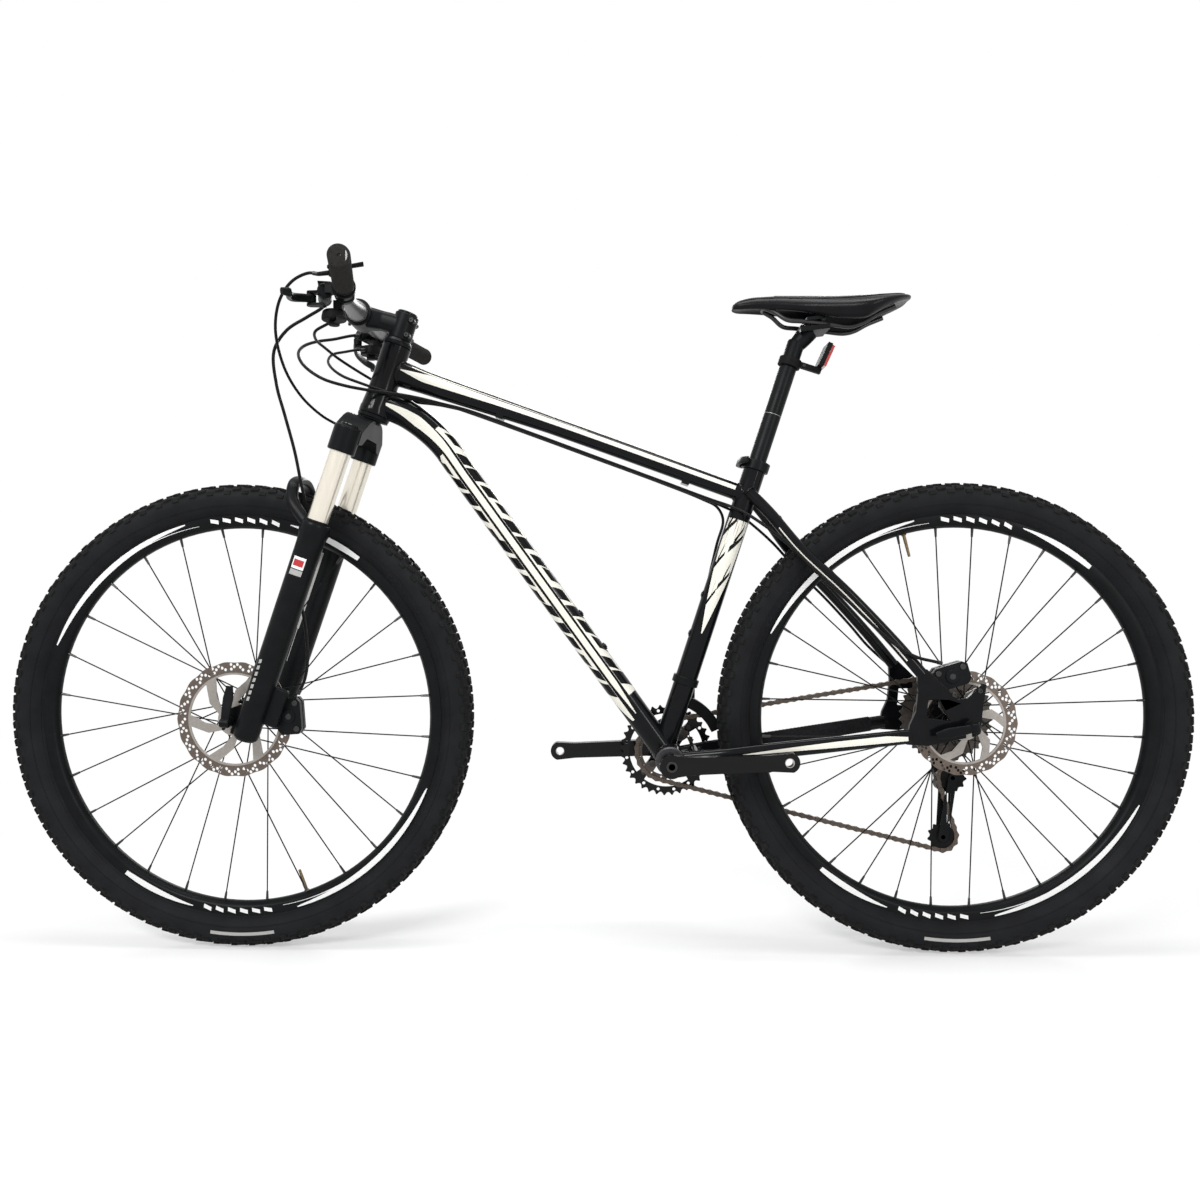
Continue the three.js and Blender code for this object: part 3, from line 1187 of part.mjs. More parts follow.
function seatCollar() {
  const low = collarMiddle - COLLAR_HEIGHT / 2;
  const ring = post(0, 0, SEAT_TUBE_RADIUS + 4, low, low + COLLAR_HEIGHT);
  const ears = block(vec(0, SEAT_TUBE_RADIUS + 8, collarMiddle), [18, 14, COLLAR_HEIGHT - 2]);
  const bolt = rod(vec(-13, collarPin[1], collarMiddle), vec(14, collarPin[1], collarMiddle), 4, 12);
  return cut(join(ring, ears, bolt), post(0, 0, SEAT_TUBE_RADIUS + GAP, low - 1, low + COLLAR_HEIGHT + 1));
}

function collarLever() {
  const [x, y] = collarPin;
  const eye = post(x, y, 6.5, collarMiddle - 5.5, collarMiddle + 5.5, 12);
  const at = (dx, dy, dz) => vec(x + dx, y + dy, collarMiddle + dz);
  const path = [at(0, 0, 0), at(-5, -16, 0), at(-4, -36, 1), at(3, -52, 3)];
  const arm = pipe(path, [[3, 5.5], [2.2, 6.5], [2.2, 5]], UP, 10);
  return join(eye, arm);
}

const postTop = SEAT_TUBE_LENGTH + SEATPOST_EXPOSED;

// Seat group coordinates of a point given in X and Z from the top of the seatpost tube, bike axes.
function seatLocal(x, y, z) {
  const back = vec(Math.cos(seatTilt), 0, Math.sin(seatTilt));
  const upward = vec(-Math.sin(seatTilt), 0, Math.cos(seatTilt));
  return vec(0, y, postTop).addScaledVector(back, x).addScaledVector(upward, z);
}

const RAIL_SLOPE = radians(6.6); // nose up
const RAIL_HALF_SPACING = 22;
const [clampX, clampZ] = SADDLE_CLAMP;

function seatpostSolid() {
  const tube = post(0, 0, SEATPOST_RADIUS, postTop - SEATPOST_LENGTH + 20, postTop);
  const neck = pipe([seatLocal(-1, 0, -4), seatLocal(8, 0, 5), seatLocal(clampX - 6, 0, clampZ - 8)],
    [[SEATPOST_RADIUS - 1, SEATPOST_RADIUS - 1], [14, 14], [16, 16]], ACROSS, 12);
  const turn = RAIL_SLOPE - seatTilt;
  const below = RAIL_RADIUS + GAP + 4;
  const cradle = block(seatLocal(clampX, 0, clampZ - below), [46, 54, 8], turn);
  const lid = block(seatLocal(clampX + 1, 0, clampZ + below - 1), [30, 54, 6], turn);
  const bolts = [-9, 11].map((x) => {
    return rod(seatLocal(clampX + x, 0, clampZ - 8), seatLocal(clampX + x + 1, 0, clampZ + 8), 4, 8);
  });
  return join(tube, neck, cradle, lid, ...bolts);
}

// Twin rails bent from one wire: X, half spacing and Z from the clamp.
const RAIL_PATH = [
  [-76, 8, 26], [-60, 14, 18], [-42, RAIL_HALF_SPACING - 2, 5], [-20, RAIL_HALF_SPACING, 2.3],
  [26, RAIL_HALF_SPACING, -3], [54, RAIL_HALF_SPACING, -5.8], [72, 27, -1], [92, 31, 10], [118, 34, 21],
];

function railWire(radius, tail) {
  const place = (side) => {
    const points = RAIL_PATH.map(([x, y, z]) => seatLocal(clampX + x, side * y, clampZ + z));
    const end = points[points.length - 1];
    const along = end.clone().sub(points[points.length - 2]).normalize();
    points[points.length - 1] = end.clone().addScaledVector(along, tail);
    return points;
  };
  return pipe(smooth([...place(-1).reverse(), ...place(1)], 26), [[radius, radius]], vec(0.02, 0.3, 1), 6);
}

// Saddle stations from the clamp: X, half width, then the heights of the top, the widest line, the
// lower edge and the hollow.
const SADDLE_STATIONS = [
  [-125, 8, 32, 28, 25, 26], [-116, 16, 39, 29, 23, 25], [-96, 20, 44, 30, 23, 27],
  [-58, 24, 46, 29, 21, 27], [-18, 31, 45, 24, 16, 28], [22, 46, 43, 20, 5, 28],
  [52, 60, 42, 17, -1, 28], [72, 66, 42, 18, -1, 28], [94, 64, 42, 24, 12, 29],
  [122, 52, 43, 32, 26, 31], [140, 36, 43, 37, 33, 35], [148, 20, 42, 39, 36, 37],
];

function saddleSolid() {
  const rings = SADDLE_STATIONS.map(([x, width, top, wide, edge, hollow]) => {
    const half = [
      [0, top], [0.45 * width, top - 1.5], [0.8 * width, top * 0.55 + wide * 0.45], [width, wide],
      [0.74 * width, edge], [0.64 * width, edge + 1], [0.5 * width, (edge + 2 * hollow) / 3], [0, hollow],
    ];
    const other = half.slice(1, -1).reverse().map(([y, z]) => [-y, z]);
    return [...half, ...other].map(([y, z]) => seatLocal(clampX + x, y, clampZ + z));
  });
  return cut(loft(rings), railWire(RAIL_RADIUS + GAP, 2));
}

const REFLECTOR_HEIGHT = 648; // up the seat tube's line from the bottom bracket

function reflectorSolid() {
  const ring = post(0, 0, SEATPOST_RADIUS + 4, REFLECTOR_HEIGHT - 7, REFLECTOR_HEIGHT + 7);
  const arm = block(vec(33, 0, REFLECTOR_HEIGHT + 2), [38, 10, 9]);
  const body = block(vec(49, 0, REFLECTOR_HEIGHT + 25), [12, 40, 38], radians(-6));
  const bore = post(0, 0, SEATPOST_RADIUS + GAP, REFLECTOR_HEIGHT - 20, REFLECTOR_HEIGHT + 20);
  return cut(join(ring, arm, body), bore);
}

addPart(seat, 'seat_collar', seatCollar(), SATIN_BLACK);
addPart(seat, 'seat_collar_lever', collarLever(), SATIN_BLACK);
addPart(seat, 'seatpost', seatpostSolid(), SATIN_BLACK);
addPart(seat, 'saddle', saddleSolid(), VINYL);
addPart(seat, 'saddle_rails', railWire(RAIL_RADIUS, 0), STEEL);
addPart(seat, 'rear_reflector', reflectorSolid(), RED_LENS);

// ---- hoses and cables: routes chosen by hand, in bike axes ----

const HOSE_DIAMETER = 5;
const CABLE_DIAMETER = 4.5;

const LOCKOUT_CABLE = [
  [-946, -164, 1014], [-960, -162, 1016], [-988, -150, 1008], [-1013, -130, 986], [-1029, -100, 950],
  [-1028, -66, 905], [-1016, -30, 871], [-998, 15, 848], [-982, 45, 838], [-972, 59, 834],
  [-958, 62, 825],
];
const FRONT_HOSE = [
  [-956, -94, 993], [-965, -86, 988], [-990, -80, 976], [-1020, -78, 958], [-1040, -76, 928],
  [-1038, -72, 878], [-1028, -66, 834], [-1016, -58, 780], [-1010, -48, 733], [-1006, -40, 700],
  [-1004, -35, 660], [-1012, -35, 610], [-1016, -36, 560], [-1008, -38, 510], [-1004, -42, 460],
  [-1008, -45, 430], [-1018, -46, 408],
];
const REAR_HOSE = [
  [-956, 94, 993], [-966, 84, 990], [-990, 66, 980], [-1010, 40, 970], [-1022, 8, 955],
  [-1022, -18, 938], [-1011, -38, 919], [-995, -46, 904], [-973, -48, 891], [-942, -44, 882],
  [-912, -38, 877], [-884, -31, 874], [-858, -26, 871], [-832, -18, 867], [-800, -10, 860],
  [-760, -8, 850], [-660, -8, 814], [-560, -8, 777], [-460, -8, 740], [-380, -9, 710], [-352, -13, 700],
  [-332, -27, 690], [-306, -38, 672], [-270, -52, 642], [-230, -64, 600], [-180, -74, 552],
  [-140, -81, 512], [-104, -83, 482], [-80, -80, 470], [-56, -70, 464], [-38, -60, 460],
];
const REAR_SHIFT = [
  [-945, 90, 968], [-958, 83, 966], [-974, 70, 960], [-986, 44, 950], [-986, 18, 934], [-972, -10, 916],
  [-950, -27, 900], [-920, -30, 888], [-890, -28, 878], [-860, -18, 869], [-832, -6, 865],
  [-800, 1, 859], [-760, 1, 849.5], [-660, 1, 813.5], [-560, 1, 776.5], [-460, 1, 739.5],
  [-380, 4, 709], [-354, 12, 699], [-332, 27, 690], [-306, 38, 672], [-270, 52, 642], [-230, 64, 600],
  [-180, 74, 552], [-140, 80, 510], [-104, 84, 470], [-40, 88, 420], [20, 90, 396], [44, 88, 360],
  [40, 84, 330], [26, 78, 312],
];
const FRONT_SHIFT = [
  [-946, -90, 968], [-960, -86, 963], [-976, -80, 956], [-984, -50, 950], [-978, -20, 944],
  [-968, 8, 936], [-952, 26, 926], [-932, 34, 914], [-905, 34, 898], [-876, 30, 878], [-846, 20, 868],
  [-815, 12, 863], [-780, 9.5, 856], [-760, 9.5, 849.5], [-660, 9.5, 813.5], [-560, 9.5, 776.5],
  [-460, 9.5, 739.5], [-390, 13, 712], [-366, 20, 700], [-356, 24, 680], [-366, 25, 640],
  [-384, 25, 560], [-396, 25, 500], [-402, 25, 460], [-406, 26, 440],
];

addPart(bike, 'lockout_cable', cable(LOCKOUT_CABLE, CABLE_DIAMETER, 18), MATTE_BLACK);
addPart(bike, 'front_brake_hose', cable(FRONT_HOSE, HOSE_DIAMETER, 24), MATTE_BLACK);
addPart(bike, 'rear_brake_hose', cable(REAR_HOSE, HOSE_DIAMETER, 32), MATTE_BLACK);
addPart(bike, 'rear_shift_cable', cable(REAR_SHIFT, CABLE_DIAMETER, 32), MATTE_BLACK);
addPart(bike, 'front_shift_cable', cable(FRONT_SHIFT, CABLE_DIAMETER, 30), MATTE_BLACK);

export default bike;
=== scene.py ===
import json
import math

import bmesh
import bpy
from mathutils import Matrix, Vector
from mathutils.geometry import tessellate_polygon

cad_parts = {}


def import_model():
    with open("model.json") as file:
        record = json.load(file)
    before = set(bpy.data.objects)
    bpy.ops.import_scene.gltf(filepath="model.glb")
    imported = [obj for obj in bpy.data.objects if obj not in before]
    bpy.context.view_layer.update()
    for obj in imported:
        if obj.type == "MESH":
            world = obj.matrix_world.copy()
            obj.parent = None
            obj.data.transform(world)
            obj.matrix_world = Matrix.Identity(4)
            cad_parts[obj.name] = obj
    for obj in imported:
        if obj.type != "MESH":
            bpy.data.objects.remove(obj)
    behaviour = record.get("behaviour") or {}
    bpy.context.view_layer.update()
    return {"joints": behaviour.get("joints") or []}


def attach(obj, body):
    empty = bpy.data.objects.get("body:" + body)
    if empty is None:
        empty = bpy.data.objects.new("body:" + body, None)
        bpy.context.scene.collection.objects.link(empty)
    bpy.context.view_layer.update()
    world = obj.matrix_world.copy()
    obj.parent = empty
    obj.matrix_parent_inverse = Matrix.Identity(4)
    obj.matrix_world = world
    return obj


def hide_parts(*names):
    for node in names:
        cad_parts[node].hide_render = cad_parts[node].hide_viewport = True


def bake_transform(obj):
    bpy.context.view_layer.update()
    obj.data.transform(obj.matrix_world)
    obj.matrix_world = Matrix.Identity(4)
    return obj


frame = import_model()

# Lengths below are millimetres in the part's own frame; MM turns them into Blender's metres.
MM = 0.001
ACROSS = Vector((0, 1, 0))
FULL = 2 * math.pi
SIDES = ((-1, "left"), (1, "right"))
WHEEL_RADIUS = 368

joints = {joint["name"]: joint for joint in frame["joints"]}


def joint_place(name):
    return Vector(joints[name]["pos_m"]) / MM


def joint_axis(name):
    return Vector(joints[name]["axis"]).normalized()


REAR = joint_place("rear_wheel_spin")
FRONT = joint_place("front_wheel_spin")
BB = joint_place("crank_spin")
CROWN = joint_place("steering_turn")
STEER_UP = joint_axis("steering_turn")
SEAT_UP = joint_axis("seatpost_slide")
SEAT_FOOT = BB + Vector((-11.7, 0, 0))
GUIDE = joint_place("guide_pulley_spin")
TENSION = joint_place("tension_pulley_spin")
CAGE_PIVOT = joint_place("derailleur_cage_swing")


def group(origin, up):
    """Axes of a tilted group: X rearward, Y across, Z along up."""
    back = Vector((up.z, 0, -up.x))
    place = Matrix((back, ACROSS, up)).transposed().to_4x4()
    place.translation = origin
    return place


STEER = group(CROWN, STEER_UP)
SEAT = group(SEAT_FOOT, SEAT_UP)
AT_REAR = Matrix.Translation(REAR)
AT_FRONT = Matrix.Translation(FRONT)
AT_BB = Matrix.Translation(BB)


def head(height):
    return CROWN + STEER_UP * height


def seat(height):
    return SEAT_FOOT + SEAT_UP * height


def vec(*values):
    return Vector(values)


# ---- camera ----

camera_data = bpy.data.cameras.new("camera")
camera_data.sensor_width = 36
camera_data.lens = 28.4
camera_data.shift_x = 0.0135
camera_data.clip_end = 100
camera = bpy.data.objects.new("camera", camera_data)
camera.location = (-0.542, -1.493, 0.594)
camera.rotation_euler = (math.radians(90 - 1.58), 0, math.radians(1.36))
bpy.context.scene.collection.objects.link(camera)
bpy.context.scene.camera = camera

# ---- materials ----


def node(tree, kind, inputs=(), **settings):
    """Adds a shader node. inputs are (socket, value) pairs, where a value may be another node's output."""
    result = tree.nodes.new("ShaderNode" + kind)
    for name, value in settings.items():
        setattr(result, name, value)
    for socket, value in inputs:
        if isinstance(value, bpy.types.NodeSocket):
            tree.links.new(value, result.inputs[socket])
        else:
            result.inputs[socket].default_value = value
    return result


def object_place(tree):
    return node(tree, "TexCoord").outputs["Object"]


def noise(tree, scale, detail=2.0, stretch=(1, 1, 1)):
    place = node(tree, "Mapping", [("Vector", object_place(tree)), ("Scale", stretch)]).outputs[0]
    return node(tree, "TexNoise", [("Vector", place), ("Scale", scale), ("Detail", detail)]).outputs[0]


def ramp(tree, value, colours):
    """Two colours that meet over the middle of a value's range."""
    result = node(tree, "ValToRGB", [(0, value)])
    for element, place, colour in zip(result.color_ramp.elements, (0.3, 0.7), colours):
        element.position = place
        element.color = (*colour, 1)
    return result.outputs[0]


def spread(tree, value, start, end, low, high):
    """Carries the range from start to end onto the range from low to high."""
    return node(tree, "MapRange", [("Value", value), ("From Min", start), ("From Max", end), ("To Min", low),
                                   ("To Max", high)])


def finish(name, colour, rough, metallic=0.0, tint=0.18, grain=45, bump=0.0, bump_scale=900,
           rough_spread=0.05, coat=0.0, specular=0.5, stretch=(1, 1, 1)):
    """A surface whose colour and roughness are clouded by noise, with fine relief."""
    material = bpy.data.materials.new(name)
    material.use_nodes = True
    tree = material.node_tree
    shader = tree.nodes["Principled BSDF"]
    for socket, value in (("Metallic", metallic), ("Coat Weight", coat), ("Coat Roughness", 0.06),
                          ("Specular IOR Level", specular)):
        shader.inputs[socket].default_value = value
    darker = tuple(c * (1 - tint) for c in colour)
    lighter = tuple(min(c * (1 + tint), 1) for c in colour)
    base = ramp(tree, noise(tree, grain, 4, stretch), (darker, lighter))
    cloudy = noise(tree, grain * 0.4, 3, stretch)
    roughness = spread(tree, cloudy, 0.3, 0.7, rough - rough_spread, rough + rough_spread).outputs[0]
    tree.links.new(base, shader.inputs["Base Color"])
    tree.links.new(roughness, shader.inputs["Roughness"])
    if bump:
        relief(tree, noise(tree, bump_scale, 2, stretch), bump, 0.0004)
    return material


def relief(tree, height, strength, distance):
    bump = node(tree, "Bump", [("Height", height), ("Strength", strength), ("Distance", distance)])
    tree.links.new(bump.outputs[0], tree.nodes["Principled BSDF"].inputs["Normal"])


PAINT = finish("gloss_black_paint", (0.004, 0.0043, 0.005), 0.16, coat=0.07, specular=0.09, bump=0.012,
               bump_scale=300)
CREAM = finish("cream_paint", (0.76, 0.74, 0.66), 0.32, tint=0.02, coat=0.1, specular=0.3, bump=0.01,
               bump_scale=300)
SATIN = finish("satin_black_alloy", (0.0055, 0.006, 0.0065), 0.36, specular=0.08, bump=0.05, bump_scale=1500)
GLOSS = finish("gloss_black_alloy", (0.004, 0.004, 0.0045), 0.2, coat=0.08, specular=0.14, bump=0.02,
               stretch=(0.15, 1, 1))
LABEL_GREY = finish("grey_print", (0.36, 0.355, 0.34), 0.45, tint=0.05)
LABEL_WHITE = finish("white_print", (0.78, 0.78, 0.77), 0.4, tint=0.02)
LABEL_RED = finish("red_print", (0.42, 0.02, 0.025), 0.4, tint=0.08)
STANCHION = finish("polished_champagne", (0.80, 0.75, 0.65), 0.2, 0.7, tint=0.03, rough_spread=0.03,
                   stretch=(1, 1, 0.06), grain=160)
BAR_METAL = finish("satin_grey_alloy", (0.20, 0.20, 0.205), 0.38, 0.6, tint=0.06, bump=0.06,
                   stretch=(1, 0.05, 1))
ROTOR_BAND = finish("brushed_steel_band", (0.125, 0.10, 0.083), 0.38, 0.75, tint=0.15, grain=320, bump=0.1)
ROTOR_ARMS = finish("bare_steel_arms", (0.31, 0.285, 0.26), 0.38, 0.65, tint=0.08, grain=220, bump=0.05)
CHAIN_METAL = finish("chain_steel", (0.085, 0.066, 0.052), 0.42, 0.6, tint=0.35, grain=400, bump=0.1)
COG_METAL = finish("cog_steel", (0.06, 0.05, 0.043), 0.42, 0.6, tint=0.3, grain=200, bump=0.08)
BOLT = finish("dark_bolt_steel", (0.03, 0.03, 0.03), 0.35, 0.6, tint=0.15, grain=300)
CUP_METAL = finish("cup_alloy", (0.045, 0.045, 0.047), 0.35, 0.4, tint=0.15, grain=200)
BRIGHT = finish("bright_steel", (0.42, 0.40, 0.38), 0.28, 0.8, tint=0.08, grain=300)
SPOKE = finish("black_spoke", (0.005, 0.005, 0.005), 0.35, tint=0.2, grain=300, specular=0.09)
BRASS = finish("worn_brass", (0.16, 0.115, 0.06), 0.4, 0.7, tint=0.2, grain=400)
TREAD = finish("tread_rubber", (0.0125, 0.0122, 0.0118), 0.75, tint=0.35, grain=90, bump=0.35,
               bump_scale=1800, rough_spread=0.08, specular=0.05)
SIDEWALL = finish("sidewall_rubber", (0.0105, 0.011, 0.012), 0.6, tint=0.2, grain=25, bump=0.18,
                  bump_scale=2600, specular=0.07)
GRIP = finish("grip_rubber", (0.022, 0.021, 0.020), 0.75, tint=0.2, grain=200, bump=0.5, bump_scale=1500,
              specular=0.06)
PLASTIC = finish("matte_black_plastic", (0.0065, 0.0065, 0.007), 0.58, tint=0.2, grain=120, bump=0.12,
                 bump_scale=2200, specular=0.07)
HOSE = finish("hose_jacket", (0.006, 0.006, 0.0065), 0.36, tint=0.15, grain=150, bump=0.05, bump_scale=1200,
              specular=0.09)
PROTECTOR = finish("stay_protector", (0.010, 0.010, 0.011), 0.7, tint=0.3, grain=220, bump=0.8,
                   bump_scale=700, specular=0.06)
VINYL = finish("saddle_vinyl", (0.006, 0.006, 0.007), 0.3, tint=0.2, grain=60, bump=0.3, bump_scale=1600,
               rough_spread=0.06, specular=0.10)


def lens_finish():
    """Red plastic with the small cells of a reflector."""
    material = finish("red_reflector_lens", (0.36, 0.012, 0.01), 0.12, tint=0.2, grain=60, coat=1.0)
    tree = material.node_tree
    cells = node(tree, "TexVoronoi", [("Vector", object_place(tree)), ("Scale", 420)])
    relief(tree, cells.outputs["Distance"], 0.6, 0.0006)
    return material


LENS = lens_finish()

# ---- geometry tools: a shape is (vertices, faces) ----


def loft(rings, closed=False):
    """A skin through rings of points, capped at both ends or joined end to end."""
    count = len(rings[0])
    verts = [point for ring in rings for point in ring]
    faces = []
    for i in range(len(rings) if closed else len(rings) - 1):
        here, after = i * count, ((i + 1) % len(rings)) * count
        for j in range(count):
            k = (j + 1) % count
            faces.append((here + j, after + j, after + k, here + k))
    if not closed:
        last = (len(rings) - 1) * count
        faces.append(tuple(range(count)))
        faces.append(tuple(reversed(range(last, last + count))))
    return verts, faces


def moved(shape, place):
    return [place @ point for point in shape[0]], shape[1]


def placed(parts, place):
    """Moves every shape of a list of (shape, material) pairs."""
    return [(moved(shape, place), material) for shape, material in parts]


def mirrored(shape):
    """The same shape on the other side of the bike's middle plane."""
    verts = [vec(p.x, -p.y, p.z) for p in shape[0]]
    return verts, [tuple(reversed(face)) for face in shape[1]]


def sample(values, share):
    """A tuple part of the way through a list of tuples."""
    if len(values) == 1:
        return values[0]
    spot = share * (len(values) - 1)
    low = min(int(spot), len(values) - 2)
    blend = spot - low
    return tuple(a + (b - a) * blend for a, b in zip(values[low], values[low + 1]))


def curve(points, per=8):
    """Centripetal curve through points, with per samples to each span."""
    points = [Vector(p) for p in points]
    padded = [points[0] * 2 - points[1], *points, points[-1] * 2 - points[-2]]
    result = []
    for i in range(1, len(padded) - 2):
        p0, p1, p2, p3 = padded[i - 1:i + 3]
        t0 = 0.0
        t1 = t0 + math.sqrt((p1 - p0).length)
        t2 = t1 + math.sqrt((p2 - p1).length)
        t3 = t2 + math.sqrt((p3 - p2).length)
        for step in range(per):
            t = t1 + (t2 - t1) * step / per
            a1 = p0.lerp(p1, (t - t0) / (t1 - t0))
            a2 = p1.lerp(p2, (t - t1) / (t2 - t1))
            a3 = p2.lerp(p3, (t - t2) / (t3 - t2))
            b1 = a1.lerp(a2, (t - t0) / (t2 - t0))
            b2 = a2.lerp(a3, (t - t1) / (t3 - t1))
            result.append(b1.lerp(b2, (t - t1) / (t2 - t1)))
    result.append(points[-1].copy())
    return result


def tangent_at(points, i):
    return (points[min(i + 1, len(points) - 1)] - points[max(i - 1, 0)]).normalized()


class Tube:
    """An oval tube along a path. sizes are half sizes: at right angles to reference, then along it."""

    def __init__(self, points, sizes, reference=ACROSS, square=2.0):
        self.points = points
        self.square = square
        self.frames = []
        for i, point in enumerate(points):
            tangent = tangent_at(points, i)
            side = reference.cross(tangent).normalized()
            size = sample(sizes, i / (len(points) - 1))
            self.frames.append((point, side, tangent.cross(side), size))
        self.lengths = [0.0]
        for a, b in zip(points, points[1:]):
            self.lengths.append(self.lengths[-1] + (b - a).length)

    def share(self, fraction):
        """The share of the path's points that lies at a fraction of its length."""
        want = max(0, min(1, fraction)) * self.lengths[-1]
        spot = 0
        while spot < len(self.lengths) - 2 and self.lengths[spot + 1] < want:
            spot += 1
        part = (want - self.lengths[spot]) / (self.lengths[spot + 1] - self.lengths[spot])
        return (spot + part) / (len(self.points) - 1)

    def point(self, share, angle, lift=0.0):
        """The surface at a share of the path and an angle in degrees."""
        spot = share * (len(self.frames) - 1)
        low = max(0, min(int(spot), len(self.frames) - 2))
        a, b = self.frames[low], self.frames[low + 1]
        blend = spot - low
        centre, side, top = (a[k].lerp(b[k], blend) for k in range(3))
        size = [a[3][k] + (b[3][k] - a[3][k]) * blend + lift for k in range(2)]
        c, s = math.cos(math.radians(angle)), math.sin(math.radians(angle))
        power = 2 / self.square
        across = math.copysign(abs(c) ** power, c) * size[0]
        along = math.copysign(abs(s) ** power, s) * size[1]
        return centre + side * across + top * along

    def shape(self, sides=32):
        last = len(self.frames) - 1
        return loft([[self.point(i / last, 360 * j / sides) for j in range(sides)] for i in range(last + 1)])

    def patch(self, corners, cells=(12, 6), lift=0.12):
        """A thin painted patch between four (fraction of the length, angle) corners."""
        (a, b, c, d), (rows, columns) = corners, cells
        layers = []
        for height in (lift, -0.5):
            grid = []
            for i in range(rows + 1):
                low = [a[k] + (b[k] - a[k]) * i / rows for k in range(2)]
                high = [d[k] + (c[k] - d[k]) * i / rows for k in range(2)]
                for j in range(columns + 1):
                    spot = [low[k] + (high[k] - low[k]) * j / columns for k in range(2)]
                    grid.append(self.point(self.share(spot[0]), spot[1], height))
            layers.append(grid)
        return sheet(*layers, rows, columns)


def sheet(front, back, rows, columns):
    """A thin closed skin between two grids of points."""
    wide = columns + 1
    size = wide * (rows + 1)
    faces = []
    for i in range(rows):
        for j in range(columns):
            p = i * wide + j
            quad = (p, p + 1, p + wide + 1, p + wide)
            faces += [quad, tuple(size + q for q in reversed(quad))]
    edge = list(range(wide)) + [i * wide + columns for i in range(1, rows + 1)]
    edge += [rows * wide + j for j in range(columns - 1, -1, -1)]
    edge += [i * wide for i in range(rows - 1, 0, -1)]
    for p, q in zip(edge, edge[1:] + edge[:1]):
        faces.append((p, q, size + q, size + p))
    return front + back, faces


def wire(points, radius, sides=12, rounded=False):
    """A round wire along points, without twist."""
    tangents = [tangent_at(points, i) for i in range(len(points))]
    side = tangents[0].orthogonal().normalized()
    rings = []
    for point, tangent in zip(points, tangents):
        side = (side - tangent * side.dot(tangent)).normalized()
        top = tangent.cross(side)
        rings.append([point + (side * math.cos(FULL * j / sides) + top * math.sin(FULL * j / sides)) * radius
                      for j in range(sides)])
    if rounded:
        for end, out in ((0, -1), (-1, 1)):
            centre, tangent = points[end], tangents[end]
            tip = [centre + tangent * out * radius * 0.6 + (p - centre) * 0.55 for p in rings[end]]
            rings = [tip, *rings] if end == 0 else [*rings, tip]
    return loft(rings)


def aim(origin, axis):
    """Turns local Y towards axis and moves to origin."""
    turn = Vector(axis).to_track_quat("Y", "Z").to_matrix().to_4x4()
    return Matrix.Translation(origin) @ turn


def spun(radius, height, sides):
    """A ring of points round Y."""
    return [vec(radius * math.cos(FULL * j / sides), height, radius * math.sin(FULL * j / sides))
            for j in range(sides)]


def turned(profile, sides=48, origin=(0, 0, 0), axis=(0, 1, 0), bored=False):
    """A turned piece: profile is (radius, distance along axis), closed into a ring section if bored."""
    place = Matrix.Translation(origin) if tuple(axis) == (0, 1, 0) else aim(origin, axis)
    rings = [[place @ point for point in spun(radius, height, sides)] for radius, height in profile]
    return loft(rings, closed=bored)


def standing(profile, place, sides=48, origin=(0, 0, 0), bored=False):
    """A piece turned round the Z of a tilted group."""
    return moved(turned(profile, sides, origin, (0, 0, 1), bored), place)


def rod(start, end, radius, end_radius=None, sides=24, chamfer=0.8):
    """A cylinder or cone with small chamfers."""
    start, end = Vector(start), Vector(end)
    length = (end - start).length
    other = radius if end_radius is None else end_radius
    c = min(chamfer, radius * 0.4, length * 0.3)
    profile = [(radius - c, 0), (radius, c), (other, length - c), (other - c, length)]
    return turned(profile, sides, start, (end - start).normalized())


def pin(centre, radius, low, high, sides=32, chamfer=0.8):
    """A chamfered cylinder along Y at (x, z)."""
    return rod((centre[0], low, centre[1]), (centre[0], high, centre[1]), radius, sides=sides,
               chamfer=chamfer)


def prism(outline, low, high, holes=()):
    """A flat plate in X and Z with holes, from Y = low to Y = high."""
    loops = [list(outline), *[list(hole) for hole in holes]]
    flat = [point for loop in loops for point in loop]
    triangles = tessellate_polygon([[vec(x, z, 0) for x, z in loop] for loop in loops])
    count = len(flat)
    verts = [vec(x, low, z) for x, z in flat] + [vec(x, high, z) for x, z in flat]
    faces = [tuple(t) for t in triangles] + [tuple(count + i for i in reversed(t)) for t in triangles]
    start = 0
    for loop in loops:
        for i in range(len(loop)):
            a, b = start + i, start + (i + 1) % len(loop)
            faces.append((a, b, count + b, count + a))
        start += len(loop)
    return verts, faces


def box(centre, size, turn=Matrix.Identity(4)):
    corners = [vec(x, y, z) for x in (-0.5, 0.5) for y in (-0.5, 0.5) for z in (-0.5, 0.5)]
    place = Matrix.Translation(centre) @ turn
    verts = [place @ vec(c.x * size[0], c.y * size[1], c.z * size[2]) for c in corners]
    faces = [(0, 1, 3, 2), (4, 6, 7, 5), (0, 4, 5, 1), (2, 3, 7, 6), (0, 2, 6, 4), (1, 5, 7, 3)]
    return verts, faces


def arc(radius, start, end, steps, centre=(0, 0)):
    """Points of an arc in X and Z, in radians."""
    return [(centre[0] + radius * math.cos(start + (end - start) * i / steps),
             centre[1] + radius * math.sin(start + (end - start) * i / steps)) for i in range(steps + 1)]


def polar(radius, angle):
    return (radius * math.cos(angle), radius * math.sin(angle))


def circle(radius, sides=24, centre=(0, 0)):
    return arc(radius, 0, FULL * (1 - 1 / sides), sides - 1, centre)


def about_y(degrees):
    """A turn about Y that carries X towards Z."""
    return Matrix.Rotation(-math.radians(degrees), 4, "Y")


